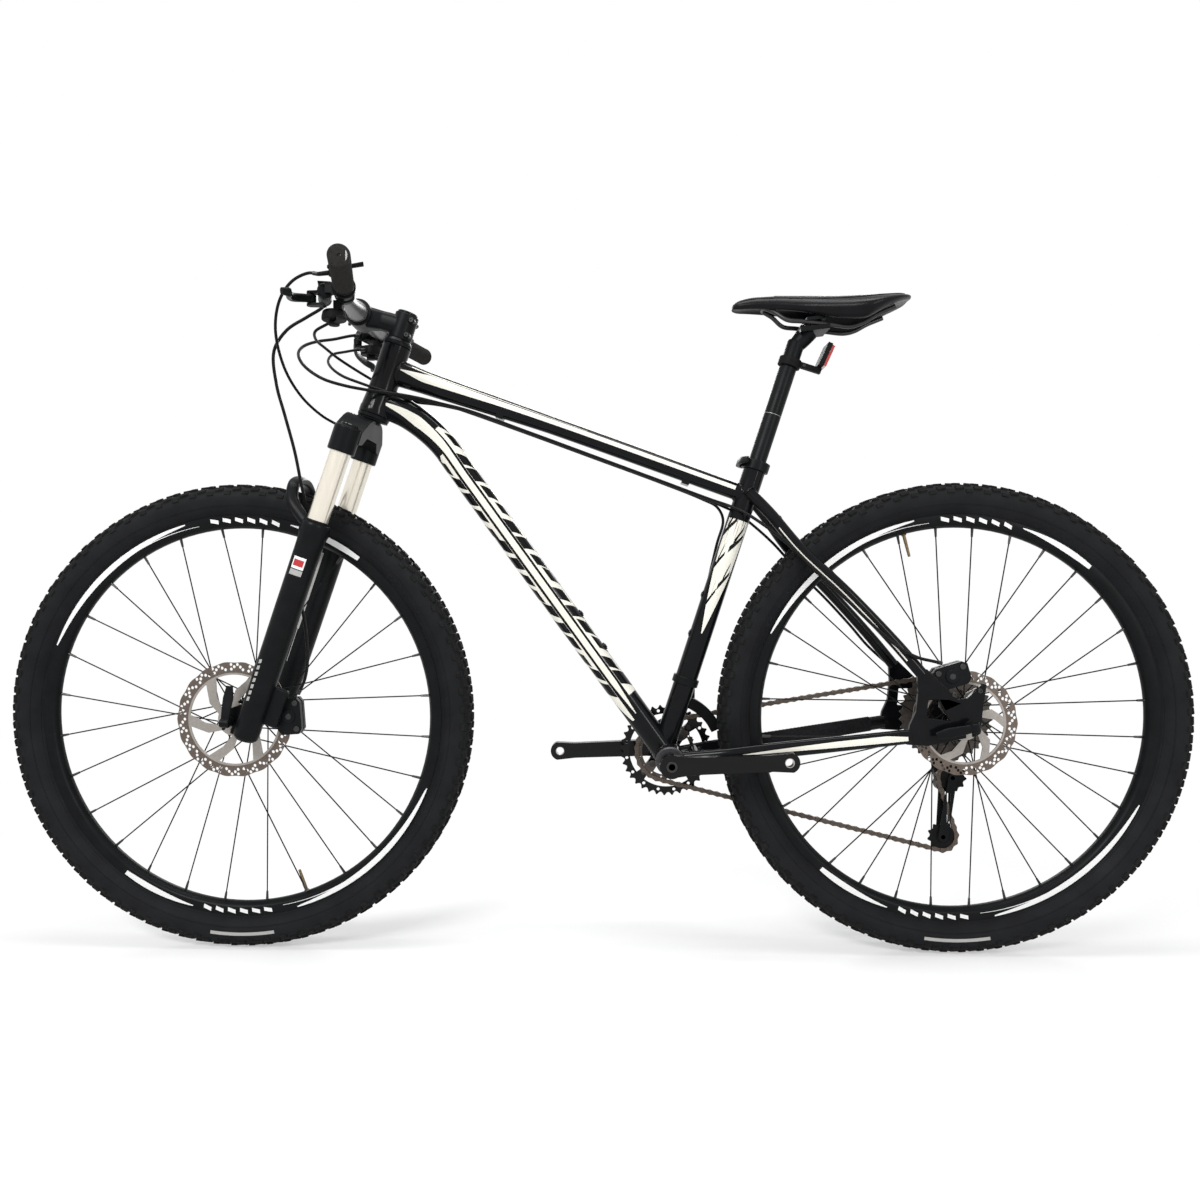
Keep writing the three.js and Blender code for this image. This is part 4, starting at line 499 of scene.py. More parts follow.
def bolt_head(centre, out, radius, height=3.0):
    """A cap screw's head with a round socket recess."""
    socket = radius * 0.5
    profile = [(radius * 0.96, 0), (radius, 0.4), (radius, height - 0.5), (radius * 0.9, height),
               (socket, height), (socket, height * 0.4), (0.01, height * 0.4)]
    return turned(profile, 24, centre, out)


def piece(name, parts, body, slot, *nodes, bevel=0.0, angle=32, subdivide=0):
    """One Blender object from (shape, material) pairs, which rides on a body and stands for CAD nodes."""
    verts, faces, slots, materials = [], [], [], []
    for shape, material in parts:
        if material not in materials:
            materials.append(material)
        base = len(verts)
        verts.extend(tuple(c * MM for c in point) for point in shape[0])
        faces.extend(tuple(base + i for i in face) for face in shape[1])
        slots.extend([materials.index(material)] * len(shape[1]))
    mesh = bpy.data.meshes.new(name)
    mesh.from_pydata(verts, [], faces)
    mesh.polygons.foreach_set("material_index", slots)
    for material in materials:
        mesh.materials.append(material)
    work = bmesh.new()
    work.from_mesh(mesh)
    bmesh.ops.remove_doubles(work, verts=work.verts, dist=2e-6)
    bmesh.ops.dissolve_degenerate(work, dist=1e-6, edges=work.edges)
    bmesh.ops.recalc_face_normals(work, faces=work.faces)
    work.to_mesh(mesh)
    work.free()
    mesh.shade_smooth()
    obj = bpy.data.objects.new(name, mesh)
    bpy.context.scene.collection.objects.link(obj)
    if subdivide:
        modifier = obj.modifiers.new("subdivide", "SUBSURF")
        modifier.levels = subdivide
        modifier.render_levels = subdivide
    elif bevel:
        modifier = obj.modifiers.new("bevel", "BEVEL")
        modifier.width = bevel * MM
        modifier.segments = 2
        modifier.limit_method = "ANGLE"
        modifier.angle_limit = math.radians(angle)
        modifier.harden_normals = True
    else:
        mesh.set_sharp_from_angle(angle=math.radians(angle))
    if body:
        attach(obj, body)
    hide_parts(*nodes)
    return obj

# ---- frame ----


def weld(tube, low, high, inside, sides=40, bead=1.5):
    """A weld bead where a tube meets another: inside says if a point lies in the other tube."""
    loop = []
    for j in range(sides):
        angle = 360 * j / sides
        a, b = low, high
        for _ in range(18):
            middle = (a + b) / 2
            if inside(tube.point(middle, angle)):
                a = middle
            else:
                b = middle
        loop.append(tube.point(a, angle))
    rings = []
    for i, point in enumerate(loop):
        before, after = loop[i - 1], loop[(i + 1) % sides]
        tangent = (after - before).normalized()
        side = tangent.cross(point - sum(loop, vec(0, 0, 0)) / sides).normalized()
        top = tangent.cross(side)
        wide = bead * (1.0 + 0.12 * (i % 2))
        rings.append([point + (side * math.cos(FULL * k / 8) * 1.9 + top * math.sin(FULL * k / 8)) * wide
                      for k in range(8)])
    return loft(rings, closed=True)


def near_axis(origin, axis, radius):
    """Tells whether a point lies within a radius of an axis."""
    def test(point):
        offset = point - origin
        return (offset - axis * offset.dot(axis)).length < radius
    return test


TOP_START, TOP_END = head(85), seat(432)
top_tube = Tube(
    curve([TOP_START, TOP_START.lerp(TOP_END, 0.1) + vec(0, 0, -1),
           TOP_START.lerp(TOP_END, 0.45) + vec(0, 0, 2), TOP_END], 14),
    [(22, 17), (18, 17), (13.5, 16), (13.2, 15)], square=2.3)
DOWN_TOP = head(33)
DOWN_BENDS = [DOWN_TOP + vec(x, 0, z) for x, z in ((143, -127), (96, -63), (49, -24))]
down_tube = Tube(
    curve([BB, BB.lerp(DOWN_BENDS[0], 0.6), *DOWN_BENDS, DOWN_TOP], 12),
    [(19, 22), (20.5, 21), (20.5, 20), (21, 19), (22, 19), (24, 18)], square=2.3)
seat_tube = Tube([seat(8 * i) for i in range(62)], [(17.3, 17.3)])


def stay(start, end, plan, sizes, side):
    """A chainstay or seatstay through stations of (share, |Y|, lift)."""
    points = []
    for share, plane, lift in plan:
        point = start.lerp(end, share)
        points.append(vec(point.x, side * plane, point.z + lift))
    return Tube(curve(points, 8), sizes)


CHAINSTAY_PLAN = [(0, 22, 0), (0.2, 40, 0), (0.42, 45, 0), (0.7, 58, 0), (0.9, 66.8, 0), (1, 70.8, 0)]
SEATSTAY_PLAN = [(0, 13, 0), (0.12, 25, 0), (0.3, 42, -7), (0.57, 58, 1), (0.85, 67, 3), (1, 70.8, 0)]
CHAINSTAY_START, CHAINSTAY_END = BB + vec(8, 0, -3), REAR + vec(-86, 0, -17)
SEATSTAY_START, SEATSTAY_END = seat(437), REAR + vec(-70, 0, 76)
chainstays = {side: stay(CHAINSTAY_START, CHAINSTAY_END, CHAINSTAY_PLAN,
                         [(13, 8), (12.5, 7.2), (11.5, 8), (11, 8)], side) for side in (-1, 1)}
seatstays = {side: stay(SEATSTAY_START, SEATSTAY_END, SEATSTAY_PLAN,
                        [(9, 8), (9, 8), (8.5, 7.5), (9, 7)], side) for side in (-1, 1)}


def head_tube():
    profile = [(17.5, 9.4), (24, 9.4), (25, 10.4), (25, 19), (24.2, 21), (22.6, 40), (21.6, 66), (21.6, 92),
               (22, 110), (22, 122.4), (21, 123.4), (17.5, 123.4)]
    return standing(profile, STEER, 56, bored=True)


def dropout(side):
    """The plate that holds an end of the rear axle, with a window in its brace."""
    outline = [(-94, -29), (-89, 0), (-80, 20), (-77, 50), (-79, 84), (-64, 84), (-33, 54), (-18, 39),
               (-4, 41), (8, 53), (18, 63), (24, 61), (19, 26), (16, -12), (5.3, -18),
               *arc(5.3, 0, math.pi, 10), (-5.3, -19), (-16, -21), (-62, -31)]
    window = [(-62, 38), (-64, 11), (-30, 7), (-46, 38)]
    low, high = sorted((side * 67.8, side * 75.8))
    return moved(prism(outline, low, high, [window]), AT_REAR)


def seat_tube_bored():
    """The seat tube, open at the top so the seatpost slides in it."""
    profile = [(0.01, 0), (17.3, 0), (17.3, 488), (14, 488), (14, 340), (0.01, 340)]
    return turned(profile, 56, seat(0), SEAT_UP)


def frame_metal():
    """Every tube of the frame, its shell and bridges, and the weld beads between them."""
    shapes = [top_tube.shape(40), down_tube.shape(48), seat_tube_bored(), head_tube()]
    for side in (-1, 1):
        shapes += [chainstays[side].shape(28), seatstays[side].shape(28)]
    shapes.append(rod(BB + vec(0, -36.5, 0), BB + vec(0, 36.5, 0), 21, sides=48, chamfer=1.2))
    bridge = SEATSTAY_START.lerp(SEATSTAY_END, 0.17) + vec(0, 0, 3)
    shapes.append(rod(bridge - ACROSS * 30, bridge + ACROSS * 30, 7))
    bridge = BB.lerp(CHAINSTAY_END, 0.12)
    shapes.append(rod(bridge - ACROSS * 34, bridge + ACROSS * 34, 8))
    in_head = near_axis(head(0), STEER_UP, 23)
    in_seat = near_axis(seat(0), SEAT_UP, 17)
    in_shell = near_axis(BB, ACROSS, 20.7)
    shapes.append(weld(top_tube, 0, 0.12, in_head))
    shapes.append(weld(down_tube, 1, 0.84, in_head))
    shapes.append(weld(top_tube, 1, 0.9, in_seat))
    shapes.append(weld(down_tube, 0, 0.1, in_shell))
    shapes.append(weld(seat_tube, 0.02, 0.12, in_shell))
    for side in (-1, 1):
        shapes.append(weld(chainstays[side], 0, 0.12, in_shell, 24, 1.1))
        shapes.append(weld(seatstays[side], 0, 0.12, in_seat, 24, 1.1))
    return shapes


def cable_guide(share):
    centre = top_tube.point(share, 0).lerp(top_tube.point(share, 180), 0.5) + vec(0, 0, -12)
    return box(centre, (12, 24, 12), about_y(-20))


def frame_trim():
    """Bottle bosses with their bolts, and the guides under the top tube."""
    parts = []
    down_axis = (DOWN_BENDS[0] - BB).normalized()
    down_out = vec(down_axis.z, 0, -down_axis.x)
    seat_out = vec(-SEAT_UP.z, 0, SEAT_UP.x)
    for origin, along, out, reach in ((BB, down_axis, down_out, 21.3), (SEAT_FOOT, SEAT_UP, seat_out, 16.8)):
        for height in (200, 264):
            foot = origin + along * height + out * (reach - 4)
            tip = origin + along * height + out * (reach + 1.2)
            parts.append((rod(foot, tip, 6, chamfer=0.4), PAINT))
            parts.append((bolt_head(tip - out * 1.5, out, 3.6, 2.6), BOLT))
    for share in (0.2, 0.55, 0.9):
        parts.append((cable_guide(share), PAINT))
    return parts


def on_side(angle, side):
    """Angles round a tube are written for the left side; the right side mirrors them."""
    return angle if side < 0 else -angle


def edge_angle(stations, share):
    """The angle of a band's edge, which straight lines join through (fraction of the length, angle)."""
    for (s0, a0), (s1, a1) in zip(stations, stations[1:]):
        if s0 <= share <= s1:
            return a0 + (a1 - a0) * (share - s0) / (s1 - s0)
    return stations[0][1] if share < stations[0][0] else stations[-1][1]


def band(tube, side, lower, upper, cells):
    """A cream band along a tube, between two edges."""
    rows, columns = cells
    start, end = lower[0][0], lower[-1][0]
    edges = [[(share, on_side(angle, side)) for share, angle in edge] for edge in (lower, upper)]
    front, back = [], []
    for i in range(rows + 1):
        share = start + (end - start) * i / rows
        low, high = (edge_angle(edge, share) for edge in edges)
        for j in range(columns + 1):
            angle = low + (high - low) * j / columns
            front.append(tube.point(tube.share(share), angle, 0.14))
            back.append(tube.point(tube.share(share), angle, -0.5))
    return sheet(front, back, rows, columns), CREAM


def block_mark(tube, side, shares, low, high, cells):
    """A black block over the bands: shares are the four corners' fractions of the length."""
    angles = (low, low, high, high)
    corners = [(share, on_side(angle, side)) for share, angle in zip(shares, angles)]
    return tube.patch(corners, cells, 0.3), PAINT


def down_tube_marks(side):
    """Two rows of blocks of uneven length and height."""
    parts = []
    blocks = 15
    for inner, outer, start, end in ((-69, -9, 0.19, 0.855), (-113, -171, 0.17, 0.80)):
        pitch = (end - start) / blocks
        slant = -0.02 if inner > -90 else 0.02
        reach = outer - inner
        for i in range(blocks):
            share = start + pitch * i
            low = inner + reach * (0.0, 0.0, 0.3, 0.12)[i % 4]
            high = outer - reach * (0.0, 0.3, 0.0, 0.16)[i % 4]
            long = pitch * (0.8, 0.66, 0.74)[i % 3]
            shares = (share, share + long, share + long + slant, share + slant)
            parts.append(block_mark(down_tube, side, shares, low, high, (8, 8)))
    return parts


def seat_tube_marks(side):
    """Pairs of slanted dashes."""
    parts = []
    for share, low, high in ((0.735, -154, -100), (0.69, -96, -36), (0.62, -150, -108), (0.565, -92, -48),
                             (0.50, -124, -94)):
        for offset, shrink in ((0, 0), (0.026, 14)):
            shares = [share + offset + slant for slant in (0, 0.022, 0.072, 0.058)]
            parts.append(block_mark(seat_tube, side, shares, low + shrink, high - shrink, (6, 8)))
    return parts


def paint_graphics_and_highlight():
    """Cream bands and black marks, on both sides of the bike; the thin cream line on each seatstay is a
    painted highlight.
    """
    parts = []
    for side in (-1, 1):
        parts.append(band(top_tube, side, [(0.035, -97), (0.1, -84), (0.3, -90), (0.965, -91)],
                          [(0.035, -100), (0.12, -128), (0.3, -119), (0.965, -117)], (90, 5)))
        parts.append(band(top_tube, side, [(0.06, -132), (0.55, -123)], [(0.06, -139), (0.55, -125)],
                          (60, 2)))
        parts.append(band(down_tube, side, [(0.12, -92), (0.2, -101), (0.8, -101), (0.9, -110), (0.985, -94)],
                          [(0.12, -90), (0.2, -80), (0.8, -80), (0.9, -72), (0.985, -90)], (120, 6)))
        parts.append(band(down_tube, side, [(0.16, -70), (0.86, -70)],
                          [(0.16, -12), (0.83, -12), (0.86, -50)], (120, 6)))
        parts.append(band(down_tube, side, [(0.11, -124), (0.17, -168), (0.78, -168), (0.81, -130)],
                          [(0.11, -112), (0.81, -112)], (120, 6)))
        parts += down_tube_marks(side)
        parts.append(band(seat_tube, side, [(0.42, -96), (0.52, -120), (0.62, -140), (0.70, -152),
                                            (0.80, -150)],
                          [(0.42, -91), (0.52, -66), (0.62, -42), (0.80, -26)], (80, 8)))
        parts += seat_tube_marks(side)
        # The thin cream line along the lower outer edge of each seatstay is a painted highlight, not part of
        # the paint scheme.
        parts.append(band(seatstays[side], side, [(0.2, -66), (0.92, -62)], [(0.2, -54), (0.92, -48)],
                          (60, 3)))
        parts.append(band(chainstays[side], side, [(0.25, -88), (0.7, -70), (0.985, -62)],
                          [(0.25, -92), (0.7, -116), (0.9, -118), (0.985, -96)], (60, 4)))
    return parts


def stay_protector():
    """The ribbed guard round the right chainstay."""
    tube = chainstays[1]
    low, high, ribs = 0.3, 0.86, 46
    rings = []
    for i in range(ribs * 2 + 1):
        share = low + (high - low) * i / (ribs * 2)
        lift = 0.5 + 0.45 * (i % 2)
        rings.append([tube.point(share, 360 * j / 28, lift) for j in range(28)])
    return loft(rings)


piece("frame_tubes", [(shape, PAINT) for shape in frame_metal()] + frame_trim(), "frame", "frame_paint",
      "frame", angle=40)
piece("frame_dropouts", [(dropout(-1), PAINT)], "frame", "frame_paint", bevel=1.4)
HANGER = [(8, 0), (20, 6), (21, -30), (19, -40), (10, -43), (3, -40), (7, -18)]
piece("frame_dropout_right", [(dropout(1), PAINT), (moved(prism(HANGER, 67.9, 75.7), AT_REAR), SATIN)],
      "frame", "frame_paint", bevel=1.4)
piece("frame_graphics_and_highlight", paint_graphics_and_highlight(), "frame", "frame_paint", angle=50)
piece("chainstay_protector", [(stay_protector(), PROTECTOR)], "frame", "grip_rubber", angle=25)


def dropout_bolts():
    parts = []
    for side in (-1, 1):
        for x, z in ((-24, 46), (14, 52)):
            centre = REAR + vec(x, side * 75.4, z)
            parts.append((bolt_head(centre, ACROSS * side, 3.6, 2.2), BOLT))
    return parts


piece("dropout_bolts", dropout_bolts(), "frame", "rotor_steel", angle=35)

# ---- headset, fork, stem ----


def cup(profile):
    return standing(profile, STEER, 56, bored=True)


LOWER_CUP = [(15.4, 1), (24, 1), (24.3, 2.6), (23.6, 3.2), (24.8, 4.4), (25, 8.4), (24.6, 9), (15.4, 9)]
UPPER_CUP = [(15.4, 123.8), (22, 123.8), (22, 127.6), (21.3, 128.2), (21.3, 128.8), (21.6, 129.4),
             (19.6, 132.4), (19, 133.4), (15.4, 133.4)]
piece("lower_cup", [(cup(LOWER_CUP), SATIN)], "frame", "black_alloy", "headset_lower_cup", angle=25)
piece("upper_cup", [(cup(UPPER_CUP), SATIN)], "frame", "black_alloy", "headset_upper_cup", angle=25)

LEG_X = -12
LEG_Y = 65


def leg_axis(side):
    return vec(LEG_X, side * LEG_Y, 0)


def crown():
    """The bridge over the fork legs, their sockets and the steerer."""
    half = [(0, -31), (28, -31), (36, -37), (44, -44), (LEG_Y, -47)]
    top = [(LEG_Y, -27), (52, -16), (40, -7), (30, -2), (22, 0), (0, 0)]
    right = half + top
    outline = right + [(-y, z) for y, z in reversed(right[1:-1])]
    plate = prism(outline, -22, 22)
    # The plate's outline lies across the bike, so turn its depth from Y to X.
    verts = [vec(LEG_X + p.y, p.x, p.z) for p in plate[0]]
    parts = [moved((verts, plate[1]), STEER)]
    for side in (-1, 1):
        profile = [(0.01, -65), (19.6, -65), (21, -63.6), (21, -27), (19.5, -24.8), (16, -24), (0.01, -24)]
        parts.append(standing(profile, STEER, 44, leg_axis(side)))
    parts.append(standing([(14.3, -4), (14.3, 134)], STEER, 32))
    return parts


piece("fork_crown_body", [(shape, SATIN) for shape in crown()], "steering", "black_alloy", "fork_crown",
      bevel=2.2, angle=30)


def leg_caps():
    parts = []
    for side in (-1, 1):
        cap = [(0.01, -24.6), (12.6, -24.6), (13, -23.8), (13, -21.4), (12, -20.2), (0.01, -20.2)]
        parts.append((standing(cap, STEER, 32, leg_axis(side)), GLOSS))
    return parts


piece("leg_caps", leg_caps(), "steering", "gloss_black_alloy", angle=25)
for side, word in SIDES:
    profile = [(15.2, -289.6), (16, -288.6), (16, -27), (15.2, -26)]
    leg = standing(profile, STEER, 56, leg_axis(side))
    piece("stanchion_tube_" + word, [(leg, STANCHION)], "steering", "stanchion", "stanchion_" + word,
          angle=30)

AXLE_LOCAL = vec(-44.6, 0, -509.7)


def lower_leg(side):
    """A fork leg, bored deep enough for the stanchion at full travel."""
    profile = [(16.5, -176), (17.4, -175.4), (19.4, -175.6), (19.6, -178), (22, -179), (22.8, -181),
               (23, -184), (23, -194), (22, -198), (20.9, -203), (20.5, -212), (20.2, -330), (19.6, -470),
               (19.3, -500), (19.5, -512), (18.4, -523), (14, -527.5), (0.01, -527.7), (0.01, -398),
               (16.5, -398)]
    return standing(profile, STEER, 56, leg_axis(side))


def lower_seal(side):
    profile = [(16.05, -176.4), (18.6, -176.4), (18.8, -175), (17.6, -174.4), (16.6, -174.1), (16.05, -174.1)]
    return standing(profile, STEER, 48, leg_axis(side), bored=True)


def fork_dropout(side):
    outline = [(32.6, -17), (32.6, 44), (20.6, 40), (4, 27), (-12, 14), (-14, 5), (-14, -4), (-8, -17),
               (-5.3, -18), *arc(5.2, math.pi, 0, 10), (5.3, -18)]
    low, high = sorted((side * 50, side * 59))
    return moved(prism(outline, low, high), STEER @ Matrix.Translation(AXLE_LOCAL))


ARCH = [vec(-24, 62, -186), vec(-62, 52, -158), vec(-73, 38, -136), vec(-75, 18, -127)]


def arch():
    points = [vec(p.x, -p.y, p.z) for p in ARCH] + ARCH[::-1]
    path = [STEER @ p for p in curve(points, 10)]
    return Tube(path, [(8.2, 9), (7, 9.2), (6.2, 9), (6.2, 9), (7, 9.2), (8.2, 9)],
                STEER.to_3x3() @ vec(1, 0, 0), 2.6)


def lowers_parts():
    parts = []
    for side in (-1, 1):
        parts += [(lower_leg(side), SATIN), (lower_seal(side), PLASTIC)]
        foot = STEER @ vec(LEG_X, side * LEG_Y, -527.4)
        parts.append((bolt_head(foot, -STEER_UP, 9, 0.2), BOLT))
    parts.append((arch().shape(28), SATIN))
    return parts


piece("fork_lower_legs", lowers_parts(), "fork_lower", "black_alloy", "fork_lowers", angle=38)
piece("fork_dropout_tabs", [(fork_dropout(side), SATIN) for side in (-1, 1)], "fork_lower", "black_alloy",
      bevel=1.6)


def caliper_post():
    return moved(box(vec(14, -60, -465.7), (28, 12, 60)), STEER)


piece("fork_caliper_post", [(caliper_post(), SATIN)], "fork_lower", "black_alloy", bevel=3)


def leg_tube(side):
    points = [STEER @ vec(LEG_X, side * LEG_Y, z) for z in range(-500, -205, 15)]
    return Tube(points, [(19.4, 19.4), (20.2, 20.2), (20.5, 20.5)])


def fork_marks():
    """Blank label blocks, dashes and a stripe on each leg."""
    parts = []

    def block(side, low, high, start, end, material, lift=0.16, slant=0.0):
        start, end = on_side(start, side), on_side(end, side)
        corners = [(low, start), (high, start), (high + slant, end), (low + slant, end)]
        parts.append((leg_tube(side).patch(corners, (4, 8), lift), material))

    for side in (-1, 1):
        block(side, 0.87, 0.935, -122, -66, LABEL_WHITE)
        block(side, 0.885, 0.92, -116, -72, LABEL_RED, 0.24)
        block(side, 0.835, 0.865, -122, -66, LABEL_GREY)
        block(side, 0.5, 0.96, 112, 126, LABEL_GREY)
        block(side, 0.3, 0.5, 118, 122, LABEL_GREY)
        for k in range(7):
            block(side, 0.12 + 0.035 * k, 0.142 + 0.035 * k, -128, -112, LABEL_GREY, slant=0.006)
    return parts


piece("fork_marks", fork_marks(), "fork_lower", "black_alloy", angle=50)

# Stem, top cap and handlebar.


def stem_parts():
    """The steerer clamp, the body, the bar clamp and their bolts."""
    clamp = [(14.5, 134.2), (17.7, 134.2), (18.5, 135), (18.5, 173.4), (17.7, 174.2), (14.5, 174.2)]
    parts = [(standing(clamp, STEER, 56, bored=True), SATIN)]
    path = [STEER @ p for p in curve([vec(-8, 0, 154.2), vec(-34.5, 0, 153.2), vec(-55, 0, 150.2)], 10)]
    parts.append((Tube(path, [(16, 16), (14, 15), (20, 17)], vec(0, 0, 1), 3.0).shape(40), SATIN))
    eye = STEER @ vec(-69, 0, 150.2)
    outer = [(16.1, -23), (20.2, -23), (21, -22), (21, 22), (20.2, 23), (16.1, 23)]
    parts.append((turned(outer, 56, eye, bored=True), SATIN))
    for y in (-15, 15):
        for z in (-15.5, 15.5):
            head_place = STEER @ vec(-69 - 17, y, 150.2 + z * 0.93)
            parts.append((bolt_head(head_place, -(STEER.to_3x3() @ vec(1, 0, 0)), 3.8, 3.2), BOLT))
    for z in (142, 166):
        parts.append((bolt_head(STEER @ vec(13, -17.4, z), -ACROSS, 3.6, 3), BOLT))
        parts.append((rod(STEER @ vec(13, -17.8, z), STEER @ vec(13, 17.8, z), 5), SATIN))
    return parts


piece("stem_body", stem_parts(), "steering", "black_alloy", "stem", angle=36)
cap_profile = [(0.01, 174.6), (15.2, 174.6), (16, 175.4), (16, 177.2), (15, 178.1), (4.6, 178.1),
               (4.6, 176.4), (0.01, 176.4)]
piece("top_cap_disc", [(standing(cap_profile, STEER), GLOSS),
                       (bolt_head(STEER @ vec(0, 0, 175.6), STEER_UP, 4, 2.2), BOLT)],
      "steering", "black_alloy", "top_cap", angle=30)
BAR_CENTRE = STEER @ vec(-69, 0, 150.2)
SWEEP = math.tan(math.radians(13))


def bar(y):
    return BAR_CENTRE + vec(max(abs(y) - 90, 0) * SWEEP, y, 0)


def bar_shape():
    planes = [-283, -240, -200, -160, -120, -104, -96, -90, -84, -76, -60, -40, -34, -28, -22, 0]
    planes += [-y for y in reversed(planes[:-1])]
    rings = []
    for y in planes:
        radius = min(11.1 + 4.8 * max(0, min(1, (62 - abs(y)) / 34)), 15.8)
        rings.append([bar(y) + point for point in spun(radius, 0, 36)])
    return loft(rings)


piece("handlebar_tube", [(bar_shape(), BAR_METAL)], "steering", "grey_alloy", "handlebar", angle=40)


def grip_shape(side):
    """A rubber grip with fine ribs, a flange at its inner end and a hole in its outer end."""
    rings = []
    start, end = 165.4, 284
    rows, sides = 96, 40
    turn = Matrix.Rotation(math.atan(SWEEP) * -side, 3, "Z")
    for i in range(rows + 1):
        centre = bar(side * (start + (end - start) * i / rows))
        radius = 14.5 + (0.5 if i % 2 else 0)
        if i < 5:
            radius = (13.6, 15, 15, 15, 14)[i]
        if i > rows - 5:
            radius = (14, 15, 15, 15, 14.6)[i - rows + 4]
        ring = []
        for j in range(sides):
            wave = 0.25 if 6 < i < rows - 5 and (j // 2) % 2 else 0
            ring.append(centre + turn @ spun(radius - wave, 0, sides)[j])
        rings.append(ring)
    axis = (bar(side * 280) - bar(side * 170)).normalized()
    for radius, depth in ((12.4, 0.9), (2.4, 0.9), (2.2, -0.6)):
        rings.append([bar(side * end) + axis * depth + turn @ point for point in spun(radius, 0, sides)])
    return loft(rings)


for side, word in SIDES:
    piece("grip_rubber_" + word, [(grip_shape(side), GRIP)], "steering", "grip_rubber", "grip_" + word,
          angle=30)


def bar_ring(side, low, high, radius):
    middle = (low + high) / 2
    axis = (bar(side * high) - bar(side * low)).normalized()
    half = (high - low) / 2
    profile = [(11.3, -half), (radius - 0.8, -half), (radius, 0.8 - half), (radius, half - 0.8),
               (radius - 0.8, half), (11.3, half)]
    return turned(profile, 40, bar(side * middle), axis, bored=True)


def lever_pivot(side):
    return bar(side * 128) + vec(-48, 0, -10)


def perch_parts(side):
    """A brake clamp with its cylinder, lid and lever ears."""
    ring = bar_ring(side, 139.2, 152.8, 17)
    start, end = bar(side * 98) + vec(-30, 0, -4), bar(side * 146) + vec(-27, 0, -3)
    parts = [(ring, SATIN), (rod(start, end, 9, 11, 32, 2), SATIN)]
    axis = (end - start).normalized()
    parts.append((rod(start + axis * 3, start + axis * 9, 9.8, sides=32), SATIN))
    parts.append((rod(start - axis * 4, start + axis * 2, 4.4, sides=6, chamfer=0.5), BOLT))
    parts.append((box(bar(side * 146) + vec(-19, 0, -1), (13, 13.5, 15)), SATIN))
    middle = start.lerp(end, 0.5)
    sweep = Matrix.Rotation(math.atan(SWEEP) * -side, 4, "Z")
    parts.append((box(middle + vec(0, 0, 9.5), (17, 32, 9), sweep), SATIN))
    parts.append((box(middle + vec(0, 0, 14.6), (18.6, 34, 2.2), sweep), PLASTIC))
    for offset in (-13.5, 13.5):
        parts.append((bolt_head(middle + vec(0, offset, 15.2), vec(0, 0, 1), 1.7, 1.2), BOLT))
    pivot = lever_pivot(side)
    for z in (-8.8, 8.8):
        parts.append((moved(lever_ear(), Matrix.Translation(pivot + vec(0, 0, z))), SATIN))
    parts.append((rod(pivot - vec(0, 0, 10.5), pivot + vec(0, 0, 10.5), 2.6), BOLT))
    parts.append((bolt_head(bar(side * 146) + vec(0, 0, 16.4), vec(0, 0, 1), 3.2, 1.6), BOLT))
    return parts


def lever_ear():
    """A rounded lug in the plan view, which thickens from the lever's pin to the cylinder."""
    outline = arc(6.5, math.radians(100), math.radians(260), 10) + [(20, -8), (20, 8)]
    flat = prism(outline, -1.7, 1.7)
    return [vec(p.x, p.z, p.y) for p in flat[0]], flat[1]


def blade_parts(side):
    pivot = lever_pivot(side)
    route = [(0, 3, 0), (-8, 16, -3), (-13, 40, -9), (-8, 75, -16), (2, 104, -21), (-4, 114, -22)]
    points = curve([pivot + vec(x, side * y, z) for x, y, z in route], 10)
    sizes = [(4.5, 5.5), (4, 6), (3.2, 6.2), (3, 6.4), (3.2, 6.2), (4, 6), (3.2, 4.5)]
    blade = Tube(points, sizes, vec(0, 0, 1), 2.6)
    return [(blade.shape(24), SATIN), (rod(pivot - vec(0, 0, 6), pivot + vec(0, 0, 6), 7, chamfer=1.2),
                                       SATIN)]


def shifter_parts(side):
    """A shifter's clamp, drum and cable port."""
    parts = [(bar_ring(side, 112.2, 123.8, 15), SATIN)]
    centre = bar(side * 118) + vec(-18, -8 * side, -29.5)
    profile = [(0.01, -7.5), (16.6, -7.5), (18, -6), (18, -2), (17, 3), (16, 6), (14, 7.5), (0.01, 7.5)]
    parts.append((turned(profile, 44, centre, (0, 0, 1)), PLASTIC))
    parts.append((rod(centre + vec(0, 0, 7), centre + vec(0, 0, 8.4), 8.5, 8), SATIN))
    parts.append((box(centre + vec(-9, side * -12, 0), (12, 14, 9)), PLASTIC))
    parts.append((rod(centre + vec(-7, side * -18, -1), centre + vec(-7, side * -8, -1), 3.6), PLASTIC))
    parts.append((box(bar(side * 118) + vec(-9, 0, -17), (13, 11, 13)), PLASTIC))
    return parts


def paddle_parts(side):
    pivot = bar(side * 118) + vec(-18, -8 * side, -41)
    route = [(0, 0, 0), (12, 14, 0), (20, 34, -1), (21, 44, -1)]
    points = curve([pivot + vec(x, side * y, z) for x, y, z in route], 10)
    arm = Tube(points, [(5, 2), (6, 2.2), (7, 2.4), (5.5, 2)], vec(0, 0, 1), 2.6)
    return [(arm.shape(20), PLASTIC), (rod(pivot - vec(0, 0, 3), pivot + vec(0, 0, 3), 8), PLASTIC)]


for side, word in SIDES:
    piece("brake_master_" + word, perch_parts(side), "steering", "black_alloy", "brake_perch_" + word,
          bevel=0.7, angle=35)
    piece("brake_blade_" + word, blade_parts(side), word + "_brake_lever", "black_alloy",
          "brake_lever_" + word, angle=40)
    piece("shifter_body_" + word, shifter_parts(side), "steering", "black_plastic", "shifter_" + word,
          bevel=0.8)
    piece("shift_paddle_" + word, paddle_parts(side), word + "_shift_lever", "black_plastic",
          "shift_lever_" + word, angle=40)

LOCKOUT = bar(-161) + vec(-14, -2, 18)


